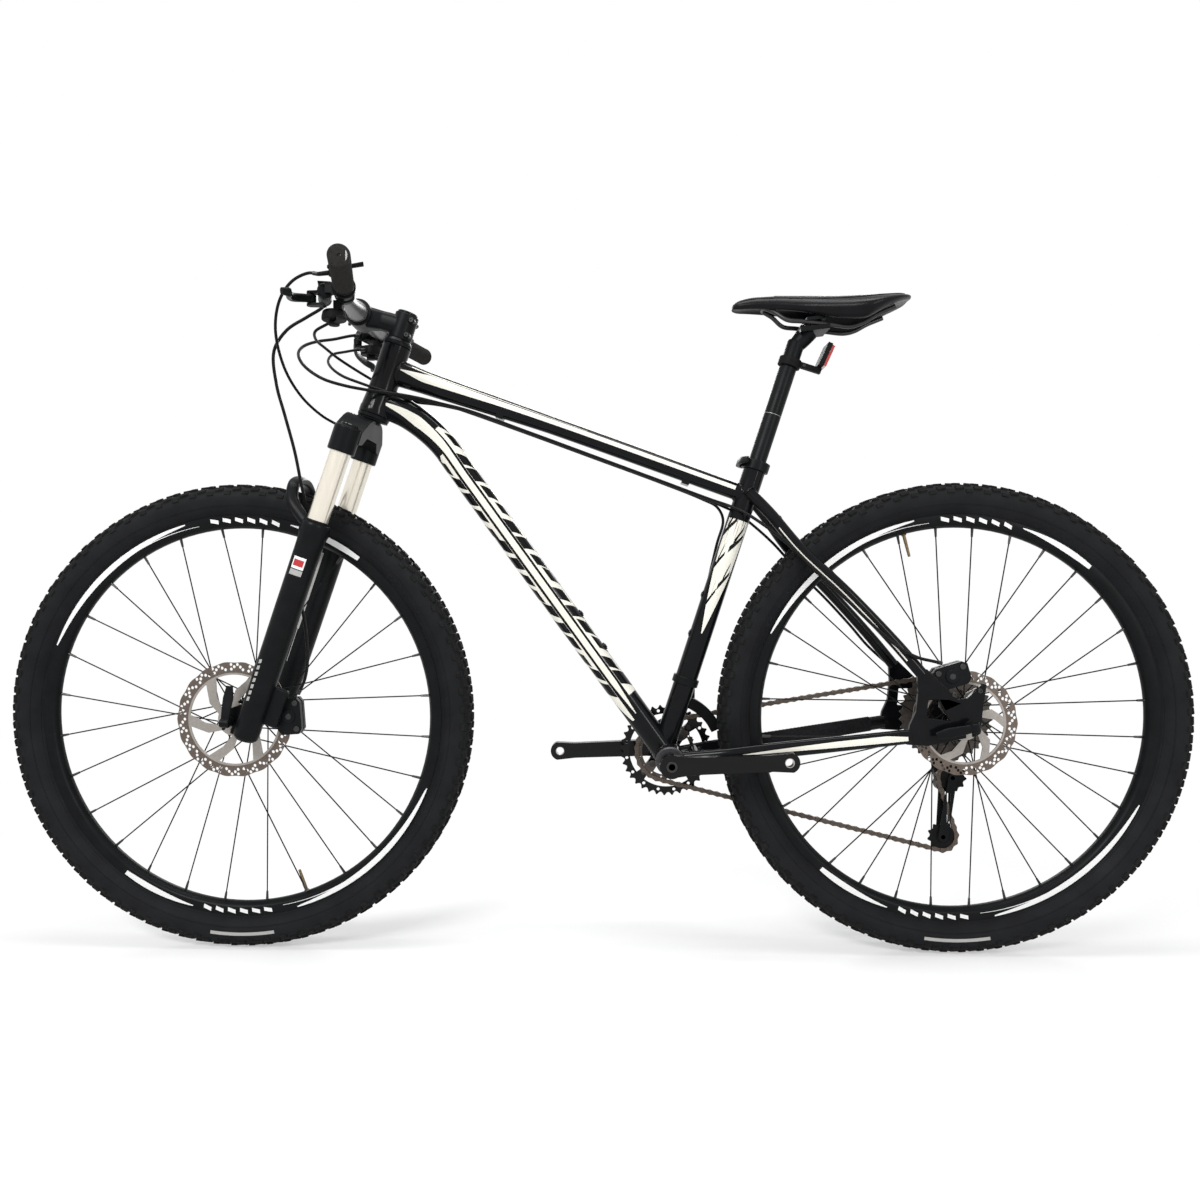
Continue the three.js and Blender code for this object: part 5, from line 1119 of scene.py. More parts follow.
def lockout_parts():
    return [(bar_ring(-1, 157.7, 163.8, 15), PLASTIC),
            (turned([(0.01, -7), (5.4, -7), (6, -6.4), (6, 2.4), (5.4, 3), (0.01, 3)], 32, LOCKOUT,
                    (0, 0, 1)), PLASTIC),
            (box(bar(-160.7) + vec(-8, 0, 12), (10, 5, 8)), PLASTIC),
            (rod(LOCKOUT + vec(-5, 0, -2), vec(-947, -164, 1013.8), 3.4, 2.9), PLASTIC)]


def lockout_lever_parts():
    points = curve([LOCKOUT + vec(*p) for p in ((0, 0, 6), (16, 6, 8), (40, 12, 13.6))], 10)
    arm = Tube(points, [(4.5, 2), (5.6, 2.2), (6.5, 2.5)], vec(0, 0, 1), 2.8)
    return [(arm.shape(20), PLASTIC), (rod(LOCKOUT + vec(0, 0, 3.6), LOCKOUT + vec(0, 0, 8), 8), PLASTIC)]


piece("lockout_pod", lockout_parts(), "steering", "black_plastic", "lockout_remote", bevel=0.6)
piece("lockout_thumb_lever", lockout_lever_parts(), "fork_lockout", "black_plastic", "lockout_lever",
      angle=40)

# ---- wheels ----

TYRE_PROFILE = [(311, 10.2), (315, 10.9), (319, 11.4), (324, 16.5), (330, 22.4), (337, 25.4), (345, 26),
                (352, 25), (358, 21.6), (361.6, 16.5), (363.6, 9.5), (364.2, 0)]


def tyre_carcass():
    outer = [(r, y) for r, y in TYRE_PROFILE] + [(r, -y) for r, y in reversed(TYRE_PROFILE[:-1])]
    inner = [(312, -8.6), (319, -9.4), (326, -15.5), (337, -22.6), (350, -22.4), (358, -12), (360, 0),
             (358, 12), (350, 22.4), (337, 22.6), (326, 15.5), (319, 9.4), (312, 8.6)]
    return turned(outer + inner, 128, bored=True)


def knob(angle, y, radius, size, height, lean=0.0, twist=0.0):
    """One tread block: size is (round the tyre, across)."""
    long, wide = size
    verts = []
    for level, shrink in ((-2.2, 1.0), (height, 0.8)):
        for a, b in ((-0.5, -0.5), (0.5, -0.5), (0.5, 0.5), (-0.5, 0.5)):
            c, s = math.cos(twist), math.sin(twist)
            u = (a * long * c - b * wide * s) * shrink
            v = (a * long * s + b * wide * c) * shrink
            across = v * math.cos(lean) + level * math.sin(lean)
            out = radius + level * math.cos(lean) - v * math.sin(lean)
            t = angle + u / radius
            verts.append(vec(out * math.cos(t), y + across, out * math.sin(t)))
    faces = [(0, 1, 2, 3), (7, 6, 5, 4), (0, 4, 5, 1), (1, 5, 6, 2), (2, 6, 7, 3), (3, 7, 4, 0)]
    return verts, faces


def tread():
    """Four rows of blocks on each side of the middle, set half a step apart."""
    shapes = []
    rows = 80
    for i in range(rows):
        t = FULL * i / rows
        half = t + FULL / rows / 2
        for side in (-1, 1):
            shapes.append(knob(t, side * 4.6, 364, (14, 7.2), 3.2, 0.05 * side, 0.3 * side))
            shapes.append(knob(half, side * 12.8, 362.0, (12, 7.4), 3.9, 0.3 * side, -0.35 * side))
            shapes.append(knob(t, side * 19.8, 357.2, (15, 7.4), 4.2, 0.75 * side, 0.15 * side))
            shapes.append(knob(half, side * 23.4, 352.6, (12, 7.0), 2.7, 1.1 * side))
    return shapes


def tyre_marks():
    """Bead lines, a fine rib and blank raised labels on each sidewall."""
    parts = []
    for side in (-1, 1):
        for radius, y in ((321.5, 13.9), (333, 24.0)):
            ring = [(radius - 0.5, side * (y - 0.6)), (radius - 0.3, side * (y + 0.45)),
                    (radius + 0.3, side * (y + 0.5)), (radius + 0.7, side * (y - 0.1))]
            parts.append((turned(ring, 128, bored=True), SIDEWALL))
        label = sector(math.radians(-98), math.radians(-81), blank_label, 16)
        parts.append((label if side > 0 else mirrored(label), LABEL_GREY))
    return parts


def sector(start, end, edges, steps):
    """A thin raised mark on a wheel's side: edges gives (radius, y) of both edges at a share along it."""
    front, back = [], []
    for i in range(steps + 1):
        share = i / steps
        t = start + (end - start) * share
        for r, y in edges(share):
            front.append(vec(r * math.cos(t), y, r * math.sin(t)))
            back.append(vec(r * math.cos(t), y - math.copysign(0.5, y), r * math.sin(t)))
    size = len(front)
    faces = []
    for i in range(steps):
        p = 2 * i
        faces += [(p, p + 1, p + 3, p + 2), (size + p + 2, size + p + 3, size + p + 1, size + p),
                  (p, p + 2, size + p + 2, size + p), (p + 1, size + p + 1, size + p + 3, p + 3)]
    end = 2 * steps
    faces += [(0, size, size + 1, 1), (end, end + 1, size + end + 1, size + end)]
    return front + back, faces


def blank_label(_share):
    """A label's edges, which are the same all along it."""
    return ((340.5, 26.05), (345.5, 26.1))


def rim_shell():
    half = [(317.6, 10.4), (318, 11.4), (317.6, 12.4), (316, 12.5), (306.5, 12.4), (303.6, 11.2), (301, 8.4),
            (298.8, 4.6), (298, 3)]
    outer = half + [(r, -y) for r, y in reversed(half)]
    well = [(311.5, -9.8), (310.5, -7.5), (305.5, -5), (305.5, 5), (310.5, 7.5), (311.5, 9.8)]
    return turned(outer + well, 128, bored=True)


def rim_swooshes(middle):
    """White crescents beside a row of dashes, twice round the rim; middle is the row's place in degrees."""
    parts = []

    def short(share):
        swell = math.sin(math.pi * min(1, 0.25 + 0.75 * share))
        return ((312.6 - 5.0 * swell, 12.62), (314.0 + 2.6 * swell, 12.66))

    def long(share):
        swell = math.sin(math.pi * share) ** 0.7
        return ((314.2 - 7.0 * swell, 12.62), (315.9, 12.64))

    def thin(share):
        return ((306.9 + 1.4 * share, 12.62), (307.4 + 2.4 * share, 12.64))

    def bar_mark(share):
        lean = 3.5 * (share - 0.5)
        return ((307.6 + lean, 12.62), (313.6 + lean, 12.64))

    marks = [(-36, -14, short), (17, 70, long), (13, 34, thin)]
    marks += [(3.6 * k, 3.6 * k + 2.3, bar_mark) for k in range(-3, 3)]
    for side in (-1, 1):
        for turn in (0, 180):
            for low, high, edges in marks:
                start, end = math.radians(middle + turn + low), math.radians(middle + turn + high)
                shape = sector(start, end, edges, 40 if high - low > 5 else 4)
                parts.append((shape if side > 0 else mirrored(shape), LABEL_WHITE))
    return parts


def spoke_layout(count, flanges):
    """The hub and rim ends of every spoke, as the CAD model laces them."""
    ends = []
    for i in range(count):
        flange = flanges[i % 2]
        leading = -1 if (i // 2) % 2 else 1
        rim_angle = FULL * (i + 0.5) / count
        hub_angle = rim_angle + leading * 6 * math.pi / (count / 2)
        hub = vec(25 * math.cos(hub_angle), flange + leading * 1.6, 25 * math.sin(hub_angle))
        out = -2 if i % 2 == 0 else 2
        rim_end = vec(297 * math.cos(rim_angle), out, 297 * math.sin(rim_angle))
        ends.append((hub, rim_end))
    return ends


def hub_parts(count, flanges, shell, seat_span):
    """The hub shell with its flanges and disc seat, and the spokes with their heads and nipples."""
    parts = [(turned(shell, 48, bored=True), GLOSS)]
    for flange in flanges:
        ring = [(10.5, -2.6), (25.5, -2.6), (27.6, -1.9), (28, -1.2), (28, 1.2), (27.6, 1.9), (25.5, 2.6),
                (10.5, 2.6)]
        parts.append((turned([(r, flange + y) for r, y in ring], 56, bored=True), GLOSS))
    parts.append((turned([(10.5, seat_span[0]), (21.4, seat_span[0]), (22, seat_span[0] + 0.6),
                          (22, seat_span[1]), (10.5, seat_span[1])], 48, bored=True), SATIN))
    for hub, rim_end in spoke_layout(count, flanges):
        along = (rim_end - hub).normalized()
        parts.append((wire([hub, rim_end - along * 12], 1.05, 8), SPOKE))
        parts.append((rod(hub - ACROSS * 2.0, hub + ACROSS * 2.0, 1.8, sides=10, chamfer=0.4), SPOKE))
        parts.append((rod(rim_end - along * 12, rim_end + along * 3, 1.7, 2.3, 8, 0.3), BOLT))
    return parts


def rotor_parts(radius, plane):
    """A disc with a wavy, drilled band on a six-armed carrier."""
    low, high = plane - 0.9, plane + 0.9
    inner = radius - 15
    waves = 144
    outline = []
    for i in range(waves):
        t = FULL * i / waves
        outline.append(polar(radius - 0.9 + 0.8 * math.cos(18 * t), t))
    arms = 6
    windows = []
    for i in range(arms):
        a = FULL * i / arms
        window = arc(inner, a + 0.16, a + FULL / arms - 0.1, 14)
        window.append(polar(46, a + FULL / arms + 0.12))
        window += arc(26, a + FULL / arms + 0.36, a + 0.72, 8)
        window.append(polar(46, a + 0.48))
        windows.append(trim(window, inner - 5.4))
    holes = []
    count = 54
    for row, (out, phase) in enumerate(((4.4, 0), (8.0, 0.5), (11.6, 0))):
        for i in range(count):
            if (i + row) % 3:
                holes.append(circle(2.5, 8, polar(radius - out, FULL * (i + phase) / count)))
    bore = circle(11.8, 32)
    band = prism(outline, low, high, [circle(inner - 2.2, 120), *holes])
    hub_outline = arc(inner - 2.2, 0, FULL * (1 - 1 / 120), 119)
    carrier = prism(hub_outline, low + 0.05, high - 0.05, [*windows, bore])
    parts = [(band, ROTOR_BAND), (carrier, ROTOR_ARMS)]
    for i in range(arms):
        x, z = polar(16.5, FULL * (i + 0.35) / arms)
        parts.append((bolt_head((x, low - 0.05, z), -ACROSS, 3.6, 2), BOLT))
    return parts


def trim(window, limit):
    """Keeps a window inside a radius."""
    result = []
    for x, z in window:
        r = math.hypot(x, z)
        scale = min(1, limit / r)
        result.append((x * scale, z * scale))
    return result


def valve(angle):
    out = vec(math.cos(angle), 0, math.sin(angle))
    return [(rod(out * 300, out * 283, 2.6, 2.6, 16, 0.4), BRASS),
            (rod(out * 298.4, out * 296, 4.2, 4.2, 6, 0.3), BRASS),
            (rod(out * 283, out * 262, 2.5, 2.1, 16, 0.6), BRASS)]


def wheel(word, place, body, count, flanges, shell, seat_span, rotor, valve_angle, swooshes):
    rubber = [(tyre_carcass(), SIDEWALL)] + [(shape, TREAD) for shape in tread()] + tyre_marks()
    piece(word + "_tyre_rubber", placed(rubber, place), body, "tyre_rubber", word + "_tyre", angle=35)
    rim = [(rim_shell(), SATIN)] + rim_swooshes(swooshes)
    piece(word + "_rim_hoop", placed(rim, place), body, "black_alloy", word + "_rim", angle=30)
    piece(word + "_valve", placed(valve(valve_angle), place), body, "grey_alloy", angle=30)
    piece(word + "_hub_and_spokes", placed(hub_parts(count, flanges, shell, seat_span), place), body,
          "black_alloy", word + "_hub", angle=35)
    piece(word + "_rotor_disc", placed(rotor_parts(*rotor), place), body, "rotor_steel", word + "_rotor",
          angle=30)


FRONT_SHELL = [(8, -32), (15.5, -32), (15.5, -29), (12.4, -22), (11, -14), (10.8, 8), (11.6, 24), (14, 31),
               (14, 38), (13.2, 39), (8, 39)]
REAR_SHELL = [(8, -42), (15.5, -42), (15.5, -38), (12.6, -30), (11, -20), (10.8, 6), (12, 14), (14, 20),
              (14, 21.6), (8, 21.6)]
wheel("front", AT_FRONT, "front_wheel", 28, (-26, 35), FRONT_SHELL, (-38.3, -32), (90, -39.6),
      math.atan2(96 - WHEEL_RADIUS, 95), -91)
wheel("rear", AT_REAR, "rear_wheel", 32, (-36, 19), REAR_SHELL, (-50.7, -42), (80, -52),
      math.atan2(647 - WHEEL_RADIUS, -75.5), -95)


def axle_parts(place, half, adapter):
    """The skewer, locknuts and outer nut of a wheel; half is where a dropout's inside lies."""
    parts = [(rod(vec(0, -half - 14, 0), vec(0, half + 14, 0), 4.8, sides=24, chamfer=0.4), BRIGHT)]
    for side in (-1, 1):
        parts.append((rod(vec(0, side * (half - 5), 0), vec(0, side * half, 0), 9, sides=32, chamfer=0.6),
                      BOLT))
        outer = half + adapter
        parts.append((rod(vec(0, side * outer, 0), vec(0, side * (outer + 2.6), 0), 8, sides=32, chamfer=0.5),
                      SATIN))
        parts.append((rod(vec(0, side * (outer + 2.6), 0), vec(0, side * (outer + 12), 0), 7.2, 6.4, 32, 1.4),
                      SATIN))
    return placed(parts, place)


piece("front_axle_set", axle_parts(AT_FRONT, 49.8, 9.6), "fork_lower", "black_alloy", "front_axle", angle=30)
piece("rear_axle_set", axle_parts(AT_REAR, 67.5, 8.7), "frame", "black_alloy", "rear_axle", angle=30)


def lever_parts(place, plane, reach):
    """A quick-release lever whose arm points along reach."""
    across = ACROSS.cross(reach).normalized()
    eye = (vec(0, plane, 0) - across * 7, vec(0, plane, 0) + across * 7)
    points = curve([vec(0, plane + inward, 0) + reach * distance
                    for distance, inward in ((0, 0), (18, 1), (38, 5), (56, 7))], 10)
    arm = Tube(points, [(6, 4), (7, 2.5), (8, 2.5), (5, 2)], ACROSS, 2.7)
    parts = [(rod(*eye, 7, sides=36, chamfer=1.2), SATIN), (arm.shape(24), SATIN)]
    return placed(parts, place)


piece("front_release_lever", lever_parts(AT_FRONT, -78.8, vec(0.1, 0, 0.995)), "front_qr", "black_alloy",
      "front_qr_lever", angle=40)
piece("rear_release_lever", lever_parts(AT_REAR, -95.6, vec(-0.97, 0, -0.24).normalized()), "rear_qr",
      "black_alloy", "rear_qr_lever", angle=40)


def caliper_parts(place, degrees, distance, plane, size):
    """A two-piston caliper astride the disc: a split body, round piston covers and bolts."""
    x, y, z = size
    low, high = plane - y / 2, plane + y / 2
    slot_half = 2.4
    side_outline = [(-x / 2 + 2, -z / 2 + 8), (-x / 2 + 9, -z / 2 + 1), (x / 2 - 6, -z / 2 + 1),
                    (x / 2 - 1, -z / 2 + 8), (x / 2 - 1, z / 2 - 8), (x / 2 - 6, z / 2 - 1),
                    (-x / 2 + 9, z / 2 - 1), (-x / 2 + 2, z / 2 - 8)]
    parts = [(prism(side_outline, low, plane - slot_half), SATIN),
             (prism(side_outline, plane + slot_half, high), SATIN)]
    bridge = [(x / 2 - 9, -z / 2 + 6), (x / 2 - 1.5, -z / 2 + 9), (x / 2 - 1.5, z / 2 - 9),
              (x / 2 - 9, z / 2 - 6)]
    parts.append((prism(bridge, plane - slot_half - 0.2, plane + slot_half + 0.2), SATIN))
    for side in (-1, 1):
        face = plane + side * y / 2
        parts.append((pin((0, 0), 10.6, *sorted((face - side * 0.5, face + side * 1.9)), chamfer=0.9), SATIN))
        parts.append((pin((0, 0), 4.6, *sorted((face, face + side * 2.0)), chamfer=0.3), BOLT))
    for end in (-1, 1):
        parts.append((pin((x / 2 - 9, end * (z / 2 - 9)), 4.6, low - 1.6, low + 2, chamfer=0.5), BOLT))
    place = place @ about_y(degrees) @ Matrix.Translation(vec(distance, 0, 0))
    return placed(parts, place)


piece("front_brake_caliper", caliper_parts(AT_FRONT, 4, 88, -39.6, (40, 22, 58)), "fork_lower", "black_alloy",
      "front_caliper", bevel=0.9)
piece("rear_brake_caliper", caliper_parts(AT_REAR, 107, 75, -52, (38, 20, 56)), "frame", "black_alloy",
      "rear_caliper", bevel=0.9)

# ---- drivetrain ----


LINK_PITCH = 12.7
SMALL_RING_PLANE = 45.0
CAGE_PLANE = 30.8


def pitch_radius(teeth):
    return LINK_PITCH / (2 * math.sin(math.pi / teeth))


def tooth_outline(teeth, turn=0.0, tip=1.9, root=3.6):
    """A sprocket's edge: a rounded valley under each roller and a blunt tip between rollers."""
    radius = pitch_radius(teeth)
    points = []
    step = FULL / teeth
    for i in range(teeth):
        for share, lift in ((0, -root), (0.17, -root * 0.75), (0.33, -0.4), (0.43, tip), (0.57, tip),
                            (0.67, -0.4), (0.83, -root * 0.75)):
            points.append(polar(radius + lift, turn + step * (i + share)))
    return points


def cassette_parts():
    """Nine cogs on a sleeve; the second is small enough at its tips to sit under the chain."""
    parts = []
    for i, teeth in enumerate((36, 32, 28, 24, 21, 18, 15, 13, 11)):
        plane = 26.5 + 4.3 * i
        radius = pitch_radius(teeth)
        tip = -1.6 if i == 1 else 1.4
        inner, outer = 21, radius - 8
        count = max(6, teeth // 3)
        size = min((outer - inner) / 2, 4.6)
        holes = []
        if teeth >= 18 and size > 1.2:
            holes = [circle(size, 10, polar((inner + outer) / 2, FULL * (k + 0.3 * i) / count))
                     for k in range(count)]
        parts.append((prism(tooth_outline(teeth, 0.1 * i, tip), plane - 0.8, plane + 0.8, holes), COG_METAL))
    parts.append((turned([(11, 22.6), (17, 22.6), (17.4, 60), (17, 61.6), (15, 62.2), (11, 62.2)], 40,
                         bored=True),
                  BOLT))
    return placed(parts, AT_REAR)


piece("cassette_cogs", cassette_parts(), "cassette", "chain_steel", "cassette", angle=30)


def bottom_bracket_parts():
    parts = [(rod(BB - ACROSS * 36, BB + ACROSS * 36, 16.6), BOLT)]
    for side in (-1, 1):
        profile = [(12.2, 36.9), (21.2, 36.9), (22, 37.6), (22, 44), (20.6, 45.4), (17, 45.5), (12.2, 45.5)]
        parts.append((turned([(r, y * side) for r, y in profile], 56, BB, bored=True), CUP_METAL))
        for k in range(16):
            x, z = polar(20.4, FULL * k / 16)
            spot = BB + vec(x, 42 * side, z)
            parts.append((rod(spot - ACROSS * 2.6, spot + ACROSS * 2.6, 1.5, sides=8, chamfer=0.3), BOLT))
    return parts


piece("bottom_bracket_cups", bottom_bracket_parts(), "frame", "grey_alloy", "bottom_bracket", angle=30)

CRANK_REST = math.radians(2.3)
CRANK_LENGTH = 175


def crank_outline():
    """A crank arm in X and Z that points along +X."""
    boss = arc(18, math.radians(62), math.radians(298), 22)
    end = arc(15.5, math.radians(-70), math.radians(70), 16, (CRANK_LENGTH, 0))
    return boss + [(30, -13.2), (90, -12.6), (150, -12.2)] + end + [(150, 12.2), (90, 12.6), (30, 13.2)]


def crank_arm(side, angle):
    low, high = sorted((side * 75.2, side * 88))
    place = AT_BB @ Matrix.Rotation(-angle, 4, "Y")
    arm = prism(crank_outline(), low, high, [circle(7.1, 24, (CRANK_LENGTH, 0))])
    return moved(arm, place), place


def crank_left_parts():
    arm, place = crank_arm(-1, CRANK_REST)
    boss = [(8, -75.4), (18, -75.4), (17.2, -68), (15, -56), (14.6, -48.2), (8, -48.2)]
    return [(arm, GLOSS), (turned(boss, 48, BB, bored=True), GLOSS)], place


arm_parts, left_place = crank_left_parts()
piece("crank_arm_left", arm_parts, "crank", "gloss_black_alloy", "crank_left", bevel=4.5, angle=35)


def crank_trim(side, place):
    """The spindle's cap and the threaded bush at the pedal end."""
    face = side * 88
    out = ACROSS * side
    parts = [(turned([(0.01, 0), (9, 0), (9, -0.3), (8.4, 0.05), (5, 0.05), (4.6, -1.2), (0.01, -1.2)], 40,
                     (0, face, 0), tuple(out)), BOLT),
             (turned([(6.2, -12), (7.15, -12), (7.15, 0.0), (6.2, 0.0)], 32, (CRANK_LENGTH, face, 0),
                     tuple(out), bored=True),
              BRIGHT)]
    return placed(parts, place)


piece("crank_trim_left", crank_trim(-1, left_place), "crank", "rotor_steel", angle=30)


def crank_right_parts():
    arm, place = crank_arm(1, CRANK_REST + math.pi)
    spindle = turned([(0.01, -74), (11.4, -74), (11.4, 76), (0.01, 76)], 40, BB)
    boss = turned([(12, 53.6), (24, 53.6), (24, 60.4), (22, 66), (18, 75.4), (12, 75.4)], 48, BB, bored=True)
    parts = [(arm, GLOSS), (spindle, BOLT), (boss, GLOSS)]
    for k in range(4):
        turn = AT_BB @ about_y(45 + 90 * k)
        outline = [(16, -11), (34, -7.5), (52, -6.5), (57, -3), (57, 3), (52, 6.5), (34, 7.5), (16, 11)]
        parts.append((moved(prism(outline, 53.5, 61.3), turn), GLOSS))
    return parts, place


arm_parts, right_place = crank_right_parts()
piece("crank_arm_right", arm_parts, "crank", "gloss_black_alloy", "crank_right", bevel=2.4, angle=35)
piece("crank_trim_right", crank_trim(1, right_place), "crank", "rotor_steel", angle=30)


def ring_parts(teeth, plane, inner, tip, pocket, material):
    """A chainring with small holes in its web."""
    r = (pitch_radius(teeth) + inner) / 2 - 1
    count = 16
    holes = [circle(inner, 64)]
    for k in range(count):
        holes.append(circle(pocket, 10, polar(r, FULL * (k + 0.5) / count)))
    return [(prism(tooth_outline(teeth, 0.05, tip), plane - 1, plane + 1, holes), material)]


def bolt_tabs(distance, inner, plane, low, high, material):
    """Four tabs with their bolts, on the inner edge of a chainring."""
    parts = []
    for k in range(4):
        turn = about_y(45 + 90 * k)
        tab = arc(7, math.radians(100), math.radians(260), 10, (distance, 0)) + [(inner + 3, -9),
                                                                                 (inner + 3, 9)]
        parts.append((moved(prism(tab, plane - 0.95, plane + 0.95), turn), material))
        parts.append((moved(pin((distance, 0), 4.4, low, high, chamfer=0.5), turn), BOLT))
    return parts


small = ring_parts(24, SMALL_RING_PLANE, 39.5, -1.6, 1.4, COG_METAL) + bolt_tabs(32, 37, SMALL_RING_PLANE,
                                                                                 43.7, 53.2, COG_METAL)
large = ring_parts(36, 52, 60, 1.6, 2.6, GLOSS) + bolt_tabs(52, 58, 52, 50.6, 53.2, GLOSS)
piece("inner_chainring", placed(small, AT_BB), "crank", "chain_steel",
      "chainring_small", angle=30)
piece("outer_chainring", placed(large, AT_BB), "crank",
      "gloss_black_alloy", "chainring_large", angle=30)


def chain_route():
    """The chain's pitch line once round, as points 2 mm apart on the wheels and 4 mm apart between them."""
    # Each wheel is its centre, its pitch radius, the way the chain turns round it and its plane.
    wheels = [(BB, pitch_radius(24), 1, SMALL_RING_PLANE), (TENSION, pitch_radius(11), 1, CAGE_PLANE),
              (GUIDE, pitch_radius(11), -1, CAGE_PLANE), (REAR, pitch_radius(32), 1, CAGE_PLANE)]
    count = len(wheels)
    headings = []
    for i in range(count):
        (a, ra, sa, _), (b, rb, sb, _) = wheels[i], wheels[(i + 1) % count]
        dx, dz = b.x - a.x, b.z - a.z
        headings.append(math.atan2(dz, dx) + math.asin((sa * ra - sb * rb) / math.hypot(dx, dz)))

    def leave(i, heading):
        centre, radius, sense, _ = wheels[i]
        return vec(centre.x + sense * radius * math.sin(heading), 0,
                   centre.z - sense * radius * math.cos(heading))

    route = []
    for i in range(count):
        centre, radius, sense, plane = wheels[i]
        start, end = headings[i - 1], headings[i]
        turn = (end - start) * sense % FULL * sense
        steps = max(2, int(abs(turn) * radius / 2))
        for k in range(steps + 1):
            spot = leave(i, start + turn * k / steps)
            route.append(vec(spot.x, plane, spot.z))
        after = wheels[(i + 1) % count]
        finish_point = leave((i + 1) % count, headings[i])
        finish_point.y = after[3]
        last = route[-1].copy()
        runs = max(2, int((finish_point - last).length / 4))
        for k in range(1, runs):
            route.append(last.lerp(finish_point, k / runs))
    return route


def chain_pins():
    """The places of the chain's pins, one pitch apart, once round."""
    route = chain_route()
    lengths = [0.0]
    for a, b in zip(route, route[1:] + route[:1]):
        lengths.append(lengths[-1] + (b - a).length)
    links = 2 * round(lengths[-1] / LINK_PITCH / 2)
    pins = []
    spot = 0
    for k in range(links):
        want = lengths[-1] * k / links
        while lengths[spot + 1] < want:
            spot += 1
        blend = (want - lengths[spot]) / (lengths[spot + 1] - lengths[spot])
        pins.append(route[spot].lerp(route[(spot + 1) % len(route)], blend))
    return pins


def chain_link(start, end, outer):
    """Two side plates, a roller and a pin."""
    along = end - start
    place = Matrix((along.normalized(), vec(0, 1, 0), along.cross(ACROSS).normalized())).transposed().to_4x4()
    place.translation = start
    length = along.length
    plate = arc(4.1, math.radians(60), math.radians(300), 7) + [(length * 0.5, -2.6)]
    plate += arc(4.1, math.radians(-120), math.radians(120), 7, (length, 0)) + [(length * 0.5, 2.6)]
    inside, outside = (2.35, 3.05) if outer else (1.4, 2.15)
    parts = []
    for side in (-1, 1):
        low, high = sorted((side * inside, side * outside))
        parts.append((moved(prism(plate, low, high), place), CHAIN_METAL))
    parts.append((moved(rod((0, -1.5, 0), (0, 1.5, 0), 3.4, sides=10, chamfer=0.2), place), BRIGHT))
    parts.append((moved(rod((0, -3.1, 0), (0, 3.1, 0), 1.7, sides=8, chamfer=0.2), place), CHAIN_METAL))
    return parts


def chain_pieces():
    """The chain in three stretches: the upper run is split on each side of the front derailleur's cage."""
    pins = chain_pins()
    cage, cog_end = BB.x + 76, BB.x + 330
    stretches = {"chain_links": [], "chain_run_front": [], "chain_run_rear": []}
    for k, start in enumerate(pins):
        end = pins[(k + 1) % len(pins)]
        middle = (start + end) / 2
        name = "chain_links"
        if middle.z > BB.z + 46 and BB.x + 8 < middle.x < cog_end:
            name = "chain_run_front" if middle.x < cage else "chain_run_rear"
        stretches[name] += chain_link(start, end, k % 2)
    piece("chain_links", stretches["chain_links"], "frame", "chain_steel", "chain", angle=30)
    ends = {"chain_run_front": (BB.x + 48, BB.x + 74), "chain_run_rear": (cog_end, BB.x + 90)}
    for name, (still, pushed) in ends.items():
        run = piece(name, stretches[name], None, "chain_steel", angle=30)
        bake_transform(run)


chain_pieces()


def pulley_parts(centre):
    parts = [(prism(tooth_outline(11, 0.2, 1.0, 3.2), -1.1, 1.1, [circle(9.4, 22)]), PLASTIC)]
    ring = [(5.2, -2.2), (9.5, -1.1), (9.5, 1.1), (5.2, 2.2)]
    parts.append((turned(ring, 32, bored=True), PLASTIC))
    place = Matrix.Translation(vec(centre.x, CAGE_PLANE, centre.z))
    return placed(parts, place)


piece("guide_pulley_wheel", pulley_parts(GUIDE), "guide_pulley", "black_plastic", "upper_pulley", angle=30)
piece("tension_pulley_wheel", pulley_parts(TENSION), "tension_pulley", "black_plastic", "lower_pulley",
      angle=30)


def cage_parts():
    """Two plates joined by the pulley bolts."""
    parts = []
    g, t, p = (vec(c.x, 0, c.z) for c in (GUIDE, TENSION, CAGE_PIVOT))

    def hull(sizes):
        points = []
        for centre, radius in sizes:
            points += [vec(x, 0, z) for x, z in circle(radius, 20, (centre.x, centre.z))]
        return outline_round(points)

    outer = hull([(g, 8.6), (t, 8.6), (p, 9)])
    inner = hull([(g, 7), (t, 8)])
    middle = g.lerp(t, 0.42)
    window = [(middle.x + x, middle.z + z) for x, z in ((-3, 16), (3, 15), (1.6, -34), (-2.6, -34))]
    parts.append((prism(outer, 35.0, 36.6, [window]), SATIN))
    parts.append((prism(inner, 25.2, 26.6, [window]), SATIN))
    for centre in (g, t):
        parts.append((pin((centre.x, centre.z), 4.4, 25.2, 36.6), BOLT))
        parts.append((bolt_head(vec(centre.x, 36.4, centre.z), ACROSS, 4, 0.4), BRIGHT))
    return parts


def outline_round(points):
    """The convex outline of points in X and Z, in order."""
    flat = sorted({(round(p.x, 4), round(p.z, 4)) for p in points})

    def chain_of(items):
        chain = []
        for q in items:
            while len(chain) > 1:
                (ax, az), (bx, bz) = chain[-2], chain[-1]
                if (bx - ax) * (q[1] - az) - (bz - az) * (q[0] - ax) > 0:
                    break
                chain.pop()
            chain.append(q)
        return chain[:-1]

    return chain_of(flat) + chain_of(reversed(flat))


piece("derailleur_cage_plates", cage_parts(), "derailleur_cage", "black_alloy", "derailleur_cage", bevel=0.4)


